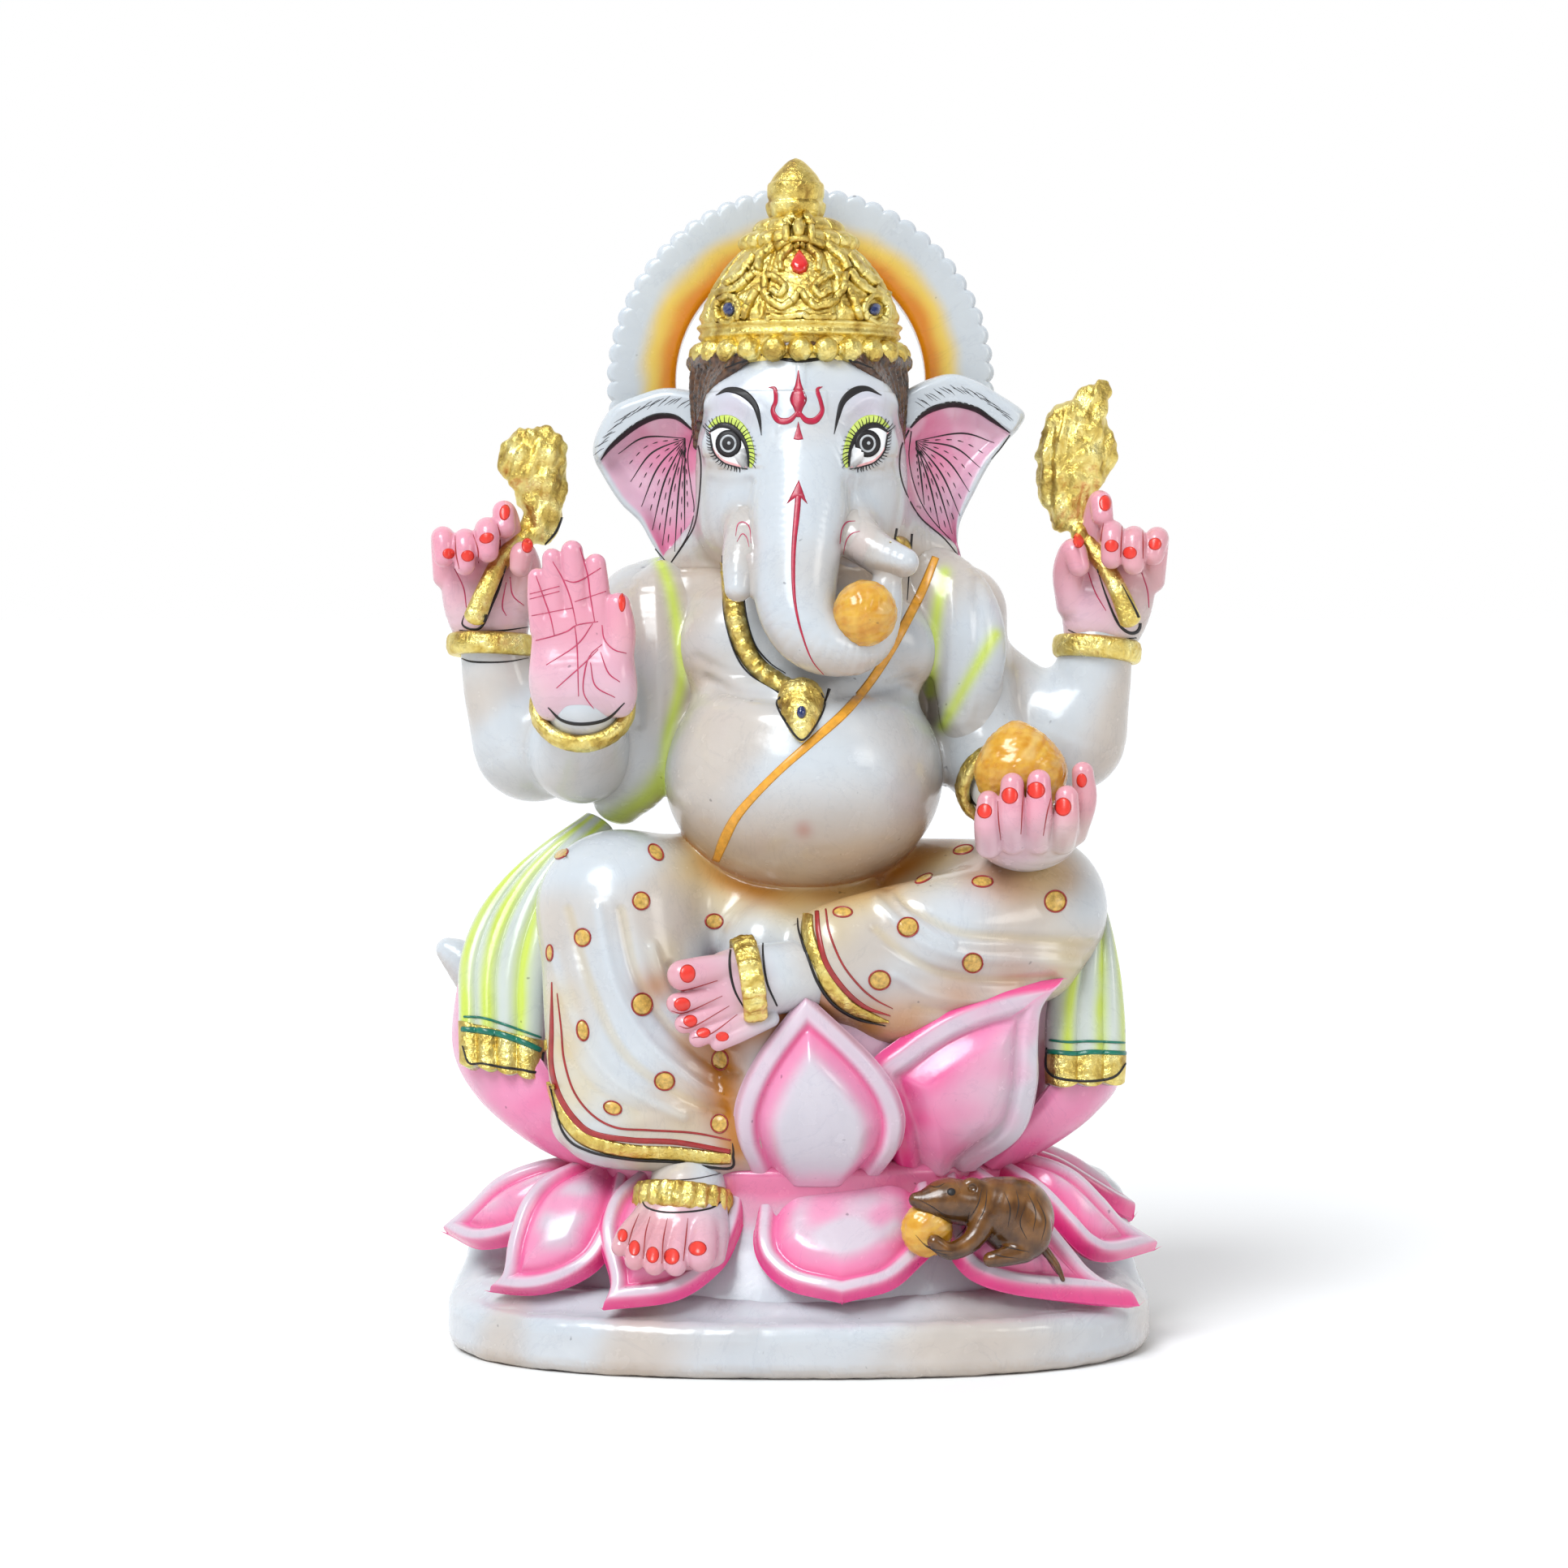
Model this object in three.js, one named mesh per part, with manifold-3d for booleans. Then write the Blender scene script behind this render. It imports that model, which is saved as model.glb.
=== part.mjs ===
// A seated Ganesha idol, hand carved from one block of white marble, gilded and painted: 12 inches tall.
// Every carved element is a solid of its own, seated against its neighbours with a hairline gap.
// Millimetres, +Z up. The idol faces -Y and stands on Z = 0 with its box centred on the Z axis.
// "right" and "left" are the idol's own sides: its right side is -X.
import * as THREE from "three";
import { mergeVertices } from "three/addons/utils/BufferGeometryUtils.js";
import Module from "manifold-3d";

const wasm = await Module();
wasm.setup();

// ---------- driving dimensions ----------
const HEIGHT = 305; // floor to the crown's tip
const BASE_HALF_WIDTH = 90.5;
const BASE_HALF_DEPTH = 57;
const BASE_THICKNESS = 14;
const REAR_HALF_WIDTH = 87; // the plain block left behind the lower petals
const REAR_TOP_Z = 45;
const WAIST_Z = 47; // the pinch between the two rings of lotus petals
const HALO_RADIUS = 50.5;
const HALO_HOLE_RADIUS = 33;
const HALO_CENTRE_Z = 249;
const HALO_SCALLOPS = 60;
const CROWN_RADIUS = 27.5;
const GAP = 0.35; // between neighbouring pieces

// ---------- colours of the finishes ----------
const finish = (color, roughness, metalness) =>
  new THREE.MeshStandardMaterial({ color, roughness, metalness });
const MARBLE = finish(0xe4e6e6, 0.25, 0);
const PETAL_PINK = finish(0xf2a0bf, 0.3, 0);
const SKIN_PINK = finish(0xf3b7c6, 0.3, 0);
const GOLD = finish(0xc9a53c, 0.3, 0.9);
const SAFFRON = finish(0xe9a13a, 0.4, 0);
const SCARF_GREEN = finish(0xd9ea86, 0.35, 0);
const HAIR_BROWN = finish(0x5c3f22, 0.5, 0);
const MOUSE_BROWN = finish(0x7a5424, 0.45, 0);

// ---------- solids from three.js geometry ----------
const vec = (p) => new THREE.Vector3(p[0], p[1], p[2]);

// A closed three.js geometry as a manifold-3d solid.
function solidOf(geometry) {
  const bare = new THREE.BufferGeometry();
  bare.setAttribute("position", geometry.getAttribute("position"));
  bare.setIndex(geometry.index);
  const merged = mergeVertices(bare, 1e-4);
  const kept = [];
  const index = merged.index.array;
  for (let i = 0; i < index.length; i += 3) {
    const [a, b, c] = [index[i], index[i + 1], index[i + 2]];
    if (a !== b && b !== c && a !== c) kept.push(a, b, c);
  }
  const make = (order) =>
    new wasm.Manifold(
      new wasm.Mesh({
        numProp: 3,
        vertProperties: merged.attributes.position.array,
        triVerts: new Uint32Array(order),
      }),
    );
  const made = make(kept);
  return made.volume() > 0 ? made : make(kept.reverse());
}

const join = (...solids) => solids.reduce((all, one) => all.add(one));

// A skin over rings of points, closed at both ends by a fan.
function skin(rings) {
  const count = rings[0].length;
  const points = rings.flat();
  const index = [];
  rings.slice(1).forEach((_, r) => {
    for (let i = 0; i < count; i++) {
      const j = (i + 1) % count;
      const [a, b] = [r * count + i, r * count + j];
      index.push(a, b, b + count, a, b + count, a + count);
    }
  });
  [0, rings.length - 1].forEach((r) => {
    const centre = rings[r]
      .reduce((sum, p) => sum.add(p), new THREE.Vector3())
      .divideScalar(count);
    points.push(centre);
    for (let i = 0; i < count; i++) {
      const side = [r * count + i, r * count + ((i + 1) % count)];
      index.push(...(r ? side : side.reverse()), points.length - 1);
    }
  });
  const geometry = new THREE.BufferGeometry().setFromPoints(points);
  geometry.setIndex(index);
  return solidOf(geometry);
}

// A round-ended limb through stations [x, y, z, half width, half depth]. wide is the width's direction.
function limb(grow, stations, { wide = [1, 0, 0], sides = 8, steps = 1, cap = 0.7 } = {}) {
  const path = new THREE.CatmullRomCurve3(stations.map(vec));
  const radii = new THREE.CatmullRomCurve3(
    stations.map((s) => new THREE.Vector3(s[3], s[4] ?? s[3], 0)),
  );
  const last = (stations.length - 1) * steps;
  const ring = (t, shift, share) => {
    const along = path.getTangent(t);
    const across = vec(wide).addScaledVector(along, -vec(wide).dot(along)).normalize();
    const deep = along.clone().cross(across);
    const size = radii.getPoint(t);
    const middle = path.getPoint(t).addScaledVector(along, shift * (Math.min(size.x, size.y) + grow));
    return Array.from({ length: sides }, (_, i) => {
      const turn = (2 * Math.PI * (i + 0.5)) / sides;
      return middle
        .clone()
        .addScaledVector(across, Math.cos(turn) * (size.x + grow) * share)
        .addScaledVector(deep, Math.sin(turn) * (size.y + grow) * share);
    });
  };
  const rings = [ring(0, -cap, 0.55)];
  for (let i = 0; i <= last; i++) rings.push(ring(i / last, 0, 1));
  rings.push(ring(1, cap, 0.55));
  return skin(rings);
}

// An ellipsoid, turned about X, then Y, then Z, in degrees.
function ball(grow, centre, radii, { turn = [0, 0, 0], sides = 8, rows = 6 } = {}) {
  const geometry = new THREE.SphereGeometry(1, sides, rows);
  geometry.rotateX(Math.PI / 2);
  geometry.scale(radii[0] + grow, radii[1] + grow, radii[2] + grow);
  geometry.rotateX(THREE.MathUtils.degToRad(turn[0]));
  geometry.rotateY(THREE.MathUtils.degToRad(turn[1]));
  geometry.rotateZ(THREE.MathUtils.degToRad(turn[2]));
  geometry.translate(...centre);
  return solidOf(geometry);
}

// A leaf with rounded edges along path, from root to tip. widths are half widths; face is where its
// front looks, and the middle stands bulge in front of the edges.
function leaf(grow, { path, widths, face, thickness = 4, bulge = 3, rows = 5, columns = 4 }) {
  const spine = new THREE.CatmullRomCurve3(path.map(vec));
  const breadth = new THREE.CatmullRomCurve3(widths.map((w, i) => new THREE.Vector3(w, i, 0)));
  const rings = [];
  for (let r = 0; r <= rows; r++) {
    const t = r / rows;
    const along = spine.getTangent(t);
    const across = along.clone().cross(vec(face)).normalize();
    const out = across.clone().cross(along).normalize();
    const overrun = r === 0 ? -grow : r === rows ? grow : 0;
    const middle = spine.getPoint(t).addScaledVector(along, overrun);
    const width = Math.max(breadth.getPoint(t).x, 0.8) + grow;
    const at = (v, side) =>
      middle
        .clone()
        .addScaledVector(across, v * width)
        .addScaledVector(
          out,
          bulge * Math.sin(Math.PI * Math.min(t + 0.25, 1)) * (1 - v * v) +
            side * (thickness / 2 + grow) * (1 - 0.5 * Math.abs(v) ** 3),
        );
    const top = Array.from({ length: columns + 1 }, (_, i) => at(-1 + (2 * i) / columns, 1));
    const bottom = Array.from({ length: columns + 1 }, (_, i) => at(1 - (2 * i) / columns, -1));
    rings.push([...top, ...bottom]);
  }
  return skin(rings);
}

// A solid of revolution about a vertical line through centre, from [radius, z] pairs; deep squeezes Y.
function turned(grow, centre, profile, { segments = 18, deep = 1 } = {}) {
  const grown = profile.map(([r, z], i) => {
    const rise = i === 0 ? -grow : i === profile.length - 1 ? grow : 0;
    return new THREE.Vector2(r + grow, z + rise);
  });
  const closed = [new THREE.Vector2(0, grown[0].y), ...grown, new THREE.Vector2(0, grown.at(-1).y)];
  const geometry = new THREE.LatheGeometry(closed, segments);
  geometry.rotateX(Math.PI / 2);
  geometry.scale(1, deep, 1);
  geometry.translate(centre[0], centre[1], 0);
  return solidOf(geometry);
}

// A ring of round wire: axis is the way through it.
function hoop(grow, centre, radius, wire, axis, { flat = 1, segments = 12, sides = 5 } = {}) {
  const geometry = new THREE.TorusGeometry(radius, wire + grow, sides, segments);
  geometry.scale(1, 1, flat);
  const turn = new THREE.Quaternion().setFromUnitVectors(
    new THREE.Vector3(0, 0, 1),
    vec(axis).normalize(),
  );
  geometry.applyQuaternion(turn);
  geometry.translate(...centre);
  return solidOf(geometry);
}

// An upright plate, its outline drawn in X and Z, from front (-Y) for thickness backwards.
function plate(grow, outline, front, thickness, { bevel = 0, curveSegments = 10 } = {}) {
  const geometry = new THREE.ExtrudeGeometry(outline, {
    depth: thickness - 2 * bevel,
    bevelEnabled: true,
    bevelSize: bevel,
    bevelThickness: bevel + grow,
    bevelOffset: grow - bevel,
    bevelSegments: 1,
    curveSegments,
  });
  geometry.rotateX(Math.PI / 2);
  geometry.translate(0, front + thickness - bevel, 0);
  return solidOf(geometry);
}

// A flat slab, its outline drawn in X and Y, from bottom upwards, its top edge rounded over.
function slab(grow, outline, bottom, height, rim = 3) {
  const geometry = new THREE.ExtrudeGeometry(outline, {
    depth: height - rim,
    bevelEnabled: true,
    bevelSize: rim,
    bevelThickness: rim,
    bevelOffset: grow - rim,
    bevelSegments: 1,
    curveSegments: 8,
  });
  const cutter = new THREE.BoxGeometry(400, 400, 40);
  cutter.translate(0, 0, -20);
  return solidOf(geometry).subtract(solidOf(cutter)).translate(0, 0, bottom);
}

// ---------- the list of pieces ----------
// A piece is carved out of every piece that comes after it in this list, so small ones come first.
const pieces = [];
const piece = (name, material, shape) => pieces.push({ name, material, shape });

// ---------- sweets, the mouse and what the rear hands hold ----------
piece("trunk_sweet", SAFFRON, (g) => ball(g, [16.4, -44, 188.5], [7.6, 7, 8]));
piece("palm_sweet", SAFFRON, (g) => ball(g, [55.5, -33, 150], [11.8, 9.5, 10.8]));
piece("mouse_sweet", SAFFRON, (g) => ball(g, [31.5, -49.5, 36.5], [6, 4.8, 6.4]));
piece("mouse", MOUSE_BROWN, (g) =>
  join(
    ball(g, [38.5, -49, 44], [6.8, 5.4, 5.4]),
    limb(g, [[38, -49, 44, 4.6], [33, -50.5, 45, 3], [29.5, -51, 45.5, 1.6]], { sides: 6 }),
    ball(g, [42.5, -48, 48], [2.4, 1.8, 2.6], { sides: 6, rows: 4 }),
    ball(g, [55.2, -45.5, 38], [9.4, 7, 9.3]),
    limb(g, [[44, -48, 41, 4.6], [40, -51, 34, 2.4], [33.5, -53, 33.5, 1.7]], { sides: 6 }),
    ball(g, [47.5, -46.5, 41.5], [6.5, 6, 6.5]),
    ball(g, [55, -50, 31.5], [8, 4, 3.4]),
  ),
);
piece("axe", GOLD, (g) =>
  join(
    limb(g, [[-83.4, -8, 186, 2.8, 2.4], [-76, -8.5, 202, 2.8, 2.4], [-66.5, -2, 213, 2.6]], { sides: 6 }),
    limb(
      g,
      [
        [-64.5, -1, 206, 3, 3.5],
        [-64.5, 0, 214, 6.5, 4.6],
        [-67, 0, 223, 8, 5],
        [-70.5, 0, 230.5, 6.8, 4.6],
      ],
      { cap: 0.9 },
    ),
  ),
);
piece("lotus_bud", GOLD, (g) =>
  join(
    limb(g, [[84.8, -8, 184.5, 2.8, 2.4], [78, -8.5, 200, 2.8, 2.4], [69.5, -2, 215, 2.4]], { sides: 6 }),
    limb(
      g,
      [
        [66.5, 0, 213, 4.6, 4.4],
        [70.5, 0, 221, 8.6, 6],
        [72, 0, 231.5, 9.6, 6],
        [75, 0, 240, 5.6, 4.4],
        [77, 0, 246, 2.4, 2.4],
      ],
      { cap: 0.9 },
    ),
  ),
);

// ---------- hands and feet ----------
const finger = (g, stations) => limb(g, stations, { sides: 5, cap: 0.9 });

piece("right_front_hand", SKIN_PINK, (g) =>
  join(
    limb(g, [
      [-54, -32, 164, 9, 6],
      [-54, -34, 172, 12, 6.5],
      [-54.5, -35.5, 184, 12, 5],
      [-56, -36, 190, 11, 4],
    ]),
    finger(g, [[-65, -34.5, 188, 2.7], [-65.6, -34.5, 198, 2.4]]),
    finger(g, [[-60.4, -36, 189, 3], [-61, -36, 202, 2.7]]),
    finger(g, [[-54.6, -36.5, 189, 3.2], [-55.6, -37, 203, 3.2]]),
    finger(g, [[-48.8, -36.5, 189, 3.1], [-50, -37, 200.5, 3.1]]),
    finger(g, [[-45, -36, 176, 4], [-43.5, -37, 184, 3.6], [-43.8, -37, 190, 2.8]]),
  ),
);
piece("right_rear_hand", SKIN_PINK, (g) =>
  join(
    limb(g, [[-79, 0, 183, 8.6, 7], [-80, -2, 191, 11, 6.5], [-80.5, -1, 201, 11.5, 6]]),
    finger(g, [[-91, -2, 202, 3.2], [-90.8, -7, 206.5, 2.8], [-90.5, -10, 203.5, 2.4]]),
    finger(g, [[-85.5, -3, 203, 3.2], [-85.5, -9, 206, 2.8], [-85.6, -12, 202, 2.4]]),
    finger(g, [[-80, -3, 204, 3.4], [-80, -9, 209, 3], [-80.3, -12, 205.5, 2.4]]),
    finger(g, [[-75, -2, 204, 3.4], [-75.5, -6, 211, 3], [-75.6, -8, 214.5, 2.5]]),
    finger(g, [[-71, -3, 196, 3.8], [-69, -7, 201, 3.2], [-70.5, -10, 205, 2.4]]),
  ),
);
piece("left_rear_hand", SKIN_PINK, (g) =>
  join(
    limb(g, [[77.5, 0, 183, 8.6, 7], [79, -2, 191, 11, 6.5], [80.5, -1, 201, 11.5, 6]]),
    finger(g, [[91, -2, 202, 3.2], [91, -7, 206.5, 2.8], [90.4, -10, 203.5, 2.4]]),
    finger(g, [[85.5, -3, 203, 3.2], [85.5, -9, 206.5, 2.8], [85.4, -12, 203, 2.4]]),
    finger(g, [[80.5, -3, 204, 3.3], [80.6, -9, 208.5, 3], [80.8, -12, 205, 2.4]]),
    finger(g, [[76, -2, 204, 3.4], [76, -6, 213, 3], [76.5, -8, 217, 2.5]]),
    finger(g, [[70.5, -3, 196, 3.8], [69.5, -7, 202, 3.2], [71, -10, 206, 2.4]]),
  ),
);
piece("left_front_hand", SKIN_PINK, (g) =>
  join(
    limb(g, [[56, -26, 131, 12, 7], [57, -32, 134, 13, 8], [57, -38, 136, 12.5, 5]]),
    finger(g, [[47, -39, 134, 3], [46.2, -43, 138, 2.8], [46, -43.5, 141, 2.6]]),
    finger(g, [[53, -40, 135, 3.2], [52.4, -44.5, 141, 3], [52.2, -44.5, 145.5, 2.8]]),
    finger(g, [[59, -40, 135, 3.2], [59, -44.5, 142, 3], [59, -44.5, 146.5, 2.8]]),
    finger(g, [[65.2, -39, 134, 3.2], [65.6, -43, 139.5, 3], [66, -43, 142.5, 2.8]]),
    finger(g, [[69, -33, 135, 3.4], [70.6, -35, 143, 3], [70, -36, 149, 2.6]]),
  ),
);
piece("right_foot", SKIN_PINK, (g) =>
  join(
    limb(g, [
      [-28, -35, 51, 9, 8.5],
      [-29, -38.5, 42, 9.6, 9],
      [-30.6, -46, 34, 12.5, 6.5],
      [-32, -51, 30, 13.4, 4.6],
    ]),
    ...[
      [-44, -50, 31.5, 2.6],
      [-40, -53, 29.5, 2.9],
      [-35.5, -54.3, 28.6, 3],
      [-30.6, -54.6, 28.6, 3.1],
      [-24, -53, 30.5, 4],
    ].map(([x, y, z, r]) => ball(g, [x, y, z], [r, r * 1.35, r], { sides: 6, rows: 4 })),
  ),
);
piece("left_foot", SKIN_PINK, (g) =>
  join(
    limb(
      g,
      [
        [5, -41, 100.5, 8, 8],
        [-8, -44, 99.5, 8.5, 7.5],
        [-18, -46, 96.5, 9.6, 6.5],
        [-24, -47, 94.5, 9.5, 5],
      ],
      { wide: [0, 0, 1] },
    ),
    ...[
      [-28.5, -48.5, 99.5, 4.2],
      [-30, -48.5, 92.6, 3],
      [-28, -48.5, 88.4, 2.7],
      [-24.6, -48.5, 86, 2.6],
      [-20.5, -48, 85, 2.5],
    ].map(([x, y, z, r]) => ball(g, [x, y, z], [r * 1.35, r, r], { sides: 6, rows: 4 })),
  ),
);

// ---------- gilt jewellery ----------
piece("right_front_bangle", GOLD, (g) => hoop(g, [-54, -31.5, 163.5], 10.3, 2.2, [0, 0.45, 1]));
piece("right_rear_bangle", GOLD, (g) => hoop(g, [-79.2, 0, 180.3], 9.6, 2.3, [0, 0.08, 1]));
piece("left_rear_bangle", GOLD, (g) => hoop(g, [77, 0, 179.4], 9.6, 2.3, [0.08, 0.08, 1]));
piece("left_front_bangle", GOLD, (g) => hoop(g, [51, -24, 147], 9.4, 2.2, [0.25, -0.75, -0.45]));
piece("right_anklet", GOLD, (g) => hoop(g, [-28.6, -38, 43.5], 9.4, 2.5, [0, 0.3, 1], { flat: 1.2 }));
piece("left_anklet", GOLD, (g) => hoop(g, [-11.5, -44.5, 98.5], 8.6, 2, [1, 0.1, 0.28], { flat: 1.6 }));
piece("pendant", GOLD, (g) => ball(g, [0.8, -43, 165.5], [6, 3.4, 7.4], { sides: 10, rows: 7 }));
piece("necklace", GOLD, (g) =>
  limb(
    g,
    [
      [-18.5, -23, 203, 2.2],
      [-18, -28, 190, 2.4],
      [-13, -34.5, 179, 2.5],
      [-3, -39, 171.5, 2.6],
      [7, -38.5, 171, 2.2],
      [19, -33, 180, 2],
      [26, -25, 203, 2],
    ],
    { sides: 8 },
  ),
);

// ---------- head ----------
piece("right_tusk", MARBLE, (g) =>
  limb(g, [[-13.5, -27, 210, 3.8], [-14.5, -34, 203, 3.7], [-15.2, -38, 194.5, 3.4]], { sides: 6 }),
);
piece("left_tusk", MARBLE, (g) =>
  limb(g, [[12, -27, 210, 4], [17, -35, 204, 3.6], [25, -38.5, 200, 3.2]], { sides: 6 }),
);
piece("trunk", MARBLE, (g) =>
  limb(
    g,
    [
      [0.4, -18, 234, 15, 13],
      [0.5, -27, 220, 12, 10.5],
      [-1.4, -34, 203, 10.8, 9],
      [-0.8, -38.5, 187, 9.6, 8.5],
      [5, -41, 177, 8.2, 7.8],
      [15, -41.5, 174.5, 7, 7],
      [23.5, -40.5, 180, 5.6, 5.6],
      [26.5, -39.5, 188, 4.4, 4.4],
      [26.5, -39.5, 193, 3.4, 3.4],
    ],
    { wide: [1, 0, 0.4], sides: 9 },
  ),
);

const earOutline = (points) => {
  const edge = new THREE.SplineCurve(points.map(([x, z]) => new THREE.Vector2(x, z)));
  return new THREE.Shape(edge.getPoints(18));
};
piece("right_ear", MARBLE, (g) =>
  plate(
    g,
    earOutline([
      [-24, 243],
      [-33, 247],
      [-44, 243],
      [-52.5, 231],
      [-47, 219],
      [-39, 208],
      [-32.5, 200.5],
      [-26, 209],
      [-24, 226],
      [-24, 243],
    ]),
    -7,
    8,
    { bevel: 2 },
  ),
);
piece("left_ear", MARBLE, (g) =>
  plate(
    g,
    earOutline([
      [25, 243],
      [34, 249],
      [46, 248],
      [57.5, 239],
      [52, 228],
      [45.5, 213],
      [42, 201.5],
      [32, 207],
      [26, 224],
      [25, 243],
    ]),
    -7,
    8,
    { bevel: 2 },
  ),
);
piece("crown_finial", GOLD, (g) =>
  turned(g, [-0.8, -3], [[7, 285], [6.4, 289], [8, 294], [7.8, 298], [5, 302], [0.6, HEIGHT]]),
);
piece("crown_collar", GOLD, (g) =>
  turned(g, [0, -3], [[13, 278.5], [16.2, 282], [16.2, 286], [12, 288.5], [8.6, 289.4]], { segments: 18 }),
);
piece("crown_dome", GOLD, (g) =>
  turned(g, [0.2, -3], [[25.6, 260], [24.5, 267], [21, 274.5], [16, 281], [12.5, 284]], { segments: 18 }),
);
piece("crown_brim", GOLD, (g) =>
  turned(g, [0.2, -3], [[25.6, 250.5], [CROWN_RADIUS, 254], [CROWN_RADIUS - 0.6, 260.5], [25, 263.5]], {
    segments: 20,
  }),
);
piece("hair_band", HAIR_BROWN, (g) =>
  limb(
    g,
    [
      [-24.4, -10, 226, 2.6, 6],
      [-25.4, -9, 238, 3, 7],
      [-22.5, -12, 248, 3, 8],
      [0.5, -21, 251.6, 3.2, 7],
      [23.5, -12, 248, 3, 8],
      [26.2, -9, 238, 3, 7],
      [25.4, -10, 226, 2.6, 6],
    ],
    { wide: [0, 0, 1], sides: 8 },
  ),
);
piece("head", MARBLE, (g) =>
  join(
    ball(g, [0.5, -3, 233], [26, 27, 31], { sides: 12, rows: 8 }),
    ball(g, [-12, -14, 214], [14, 15, 16]),
    ball(g, [13, -14, 214], [14, 15, 16]),
  ),
);

// ---------- scarf ----------
piece("scarf_right_end", SCARF_GREEN, (g) =>
  limb(
    g,
    [
      [-54, 2, 133, 7, 4.5],
      [-67, 0, 125, 8, 4.6],
      [-76.5, -4, 110, 10, 4.6],
      [-78, -13, 92, 10.6, 4.4],
      [-76, -19, 78, 10.8, 4.4],
    ],
    { cap: 1.2 },
  ),
);
piece("scarf_left_end", SCARF_GREEN, (g) =>
  limb(
    g,
    [
      [72, 6, 117, 6, 5],
      [76, 0, 106, 9, 5],
      [75, -7, 90, 9.8, 5],
      [74, -11, 75, 10, 5],
    ],
    { cap: 1.1 },
  ),
);
piece("scarf_right_shoulder", SCARF_GREEN, (g) =>
  limb(
    g,
    [
      [-33, -2, 203, 7, 5],
      [-37, -10, 190, 9, 7],
      [-36.5, -13, 172, 9, 7.5],
      [-38, -11, 154, 8, 6.5],
      [-46, -5, 140, 7, 5],
    ],
    { cap: 0.7 },
  ),
);
piece("scarf_left_shoulder", SCARF_GREEN, (g) =>
  limb(
    g,
    [
      [38, -2, 203, 7, 5],
      [43.5, -9, 191, 9, 7],
      [44.5, -10, 177, 9, 7],
      [41, -11, 162, 6, 6],
    ],
    { cap: 0.7 },
  ),
);

// ---------- arms ----------
piece("right_front_arm", MARBLE, (g) =>
  join(
    limb(g, [[-38, 1, 187, 13, 13], [-45, -2, 168, 13.5, 13], [-52, -6, 154, 13.5, 13]]),
    limb(g, [[-52, -7, 154, 13, 12], [-53.5, -19, 156, 11, 11], [-54, -30, 163, 9, 8.5]]),
  ),
);
piece("right_rear_arm", MARBLE, (g) =>
  join(
    limb(g, [[-36, 6, 187, 13, 11], [-52, 6, 168, 13, 11], [-67, 4, 155, 14, 12]]),
    limb(g, [[-68, 3, 155, 14.5, 12], [-75.5, 1, 166, 11.5, 10], [-79, 0, 180, 8.8, 8]]),
  ),
);
piece("left_rear_arm", MARBLE, (g) =>
  join(
    limb(g, [[38, 6, 189, 13, 11], [54, 6, 172, 11, 10], [68, 4, 158, 13, 11]]),
    limb(g, [[69, 3, 158, 14, 11.5], [74.5, 1, 168, 11.5, 10], [77, 0, 179, 8.8, 8]]),
  ),
);
piece("left_front_arm", MARBLE, (g) =>
  join(
    limb(g, [[40, 0, 187, 13, 12], [44, -1, 168, 11, 11], [48, -4, 152, 11, 11]]),
    limb(g, [[48, -4, 152, 11, 11], [51, -14, 147, 9.5, 9.5], [53, -24, 142, 8.6, 8.6]]),
  ),
);

// ---------- trunk of the body, dhoti and legs ----------
piece("dhoti_right_leg", MARBLE, (g) =>
  join(
    limb(g, [[-16, 2, 112, 19, 18], [-32, -10, 112, 20, 19], [-45, -22, 112, 20, 19]], { sides: 10 }),
    limb(
      g,
      [
        [-45, -22, 113, 20, 19],
        [-42.5, -29, 96, 20.5, 16],
        [-39, -33, 76, 21, 12.5],
        [-36.5, -35, 58, 20.5, 11],
      ],
      { sides: 10, cap: 0.45 },
    ),
  ),
);
piece("dhoti_left_leg", MARBLE, (g) =>
  join(
    limb(g, [[16, 4, 112, 18], [38, -3, 112, 18], [58, -9, 112, 18, 17]], { wide: [0, 0, 1], sides: 10 }),
    ball(g, [60.5, -14, 111.5], [16.4, 17, 17.6], { sides: 12, rows: 8 }),
    limb(g, [[58, -17, 109, 16, 16], [34, -29, 105, 15.6, 14], [12, -35.5, 101, 14.6, 12]], {
      wide: [0, 0, 1],
      sides: 10,
      cap: 0.4,
    }),
  ),
);
piece("torso", MARBLE, (g) =>
  join(
    ball(g, [1.2, -11, 148], [35.4, 34, 30.5], { sides: 12, rows: 8 }),
    ball(g, [1, -3, 178], [32, 24, 28], { sides: 12, rows: 8 }),
    ball(g, [-18, -17, 176], [15, 11, 13]),
    ball(g, [21, -17, 176], [15, 11, 13]),
    limb(g, [[-36, 3, 189, 13], [1, 2, 193, 15], [38, 3, 190, 13]], { wide: [0, 0, 1] }),
  ),
);
piece("dhoti_lap", MARBLE, (g) => ball(g, [1, 4, 111], [50, 34, 19.5], { sides: 14, rows: 7 }));

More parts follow.
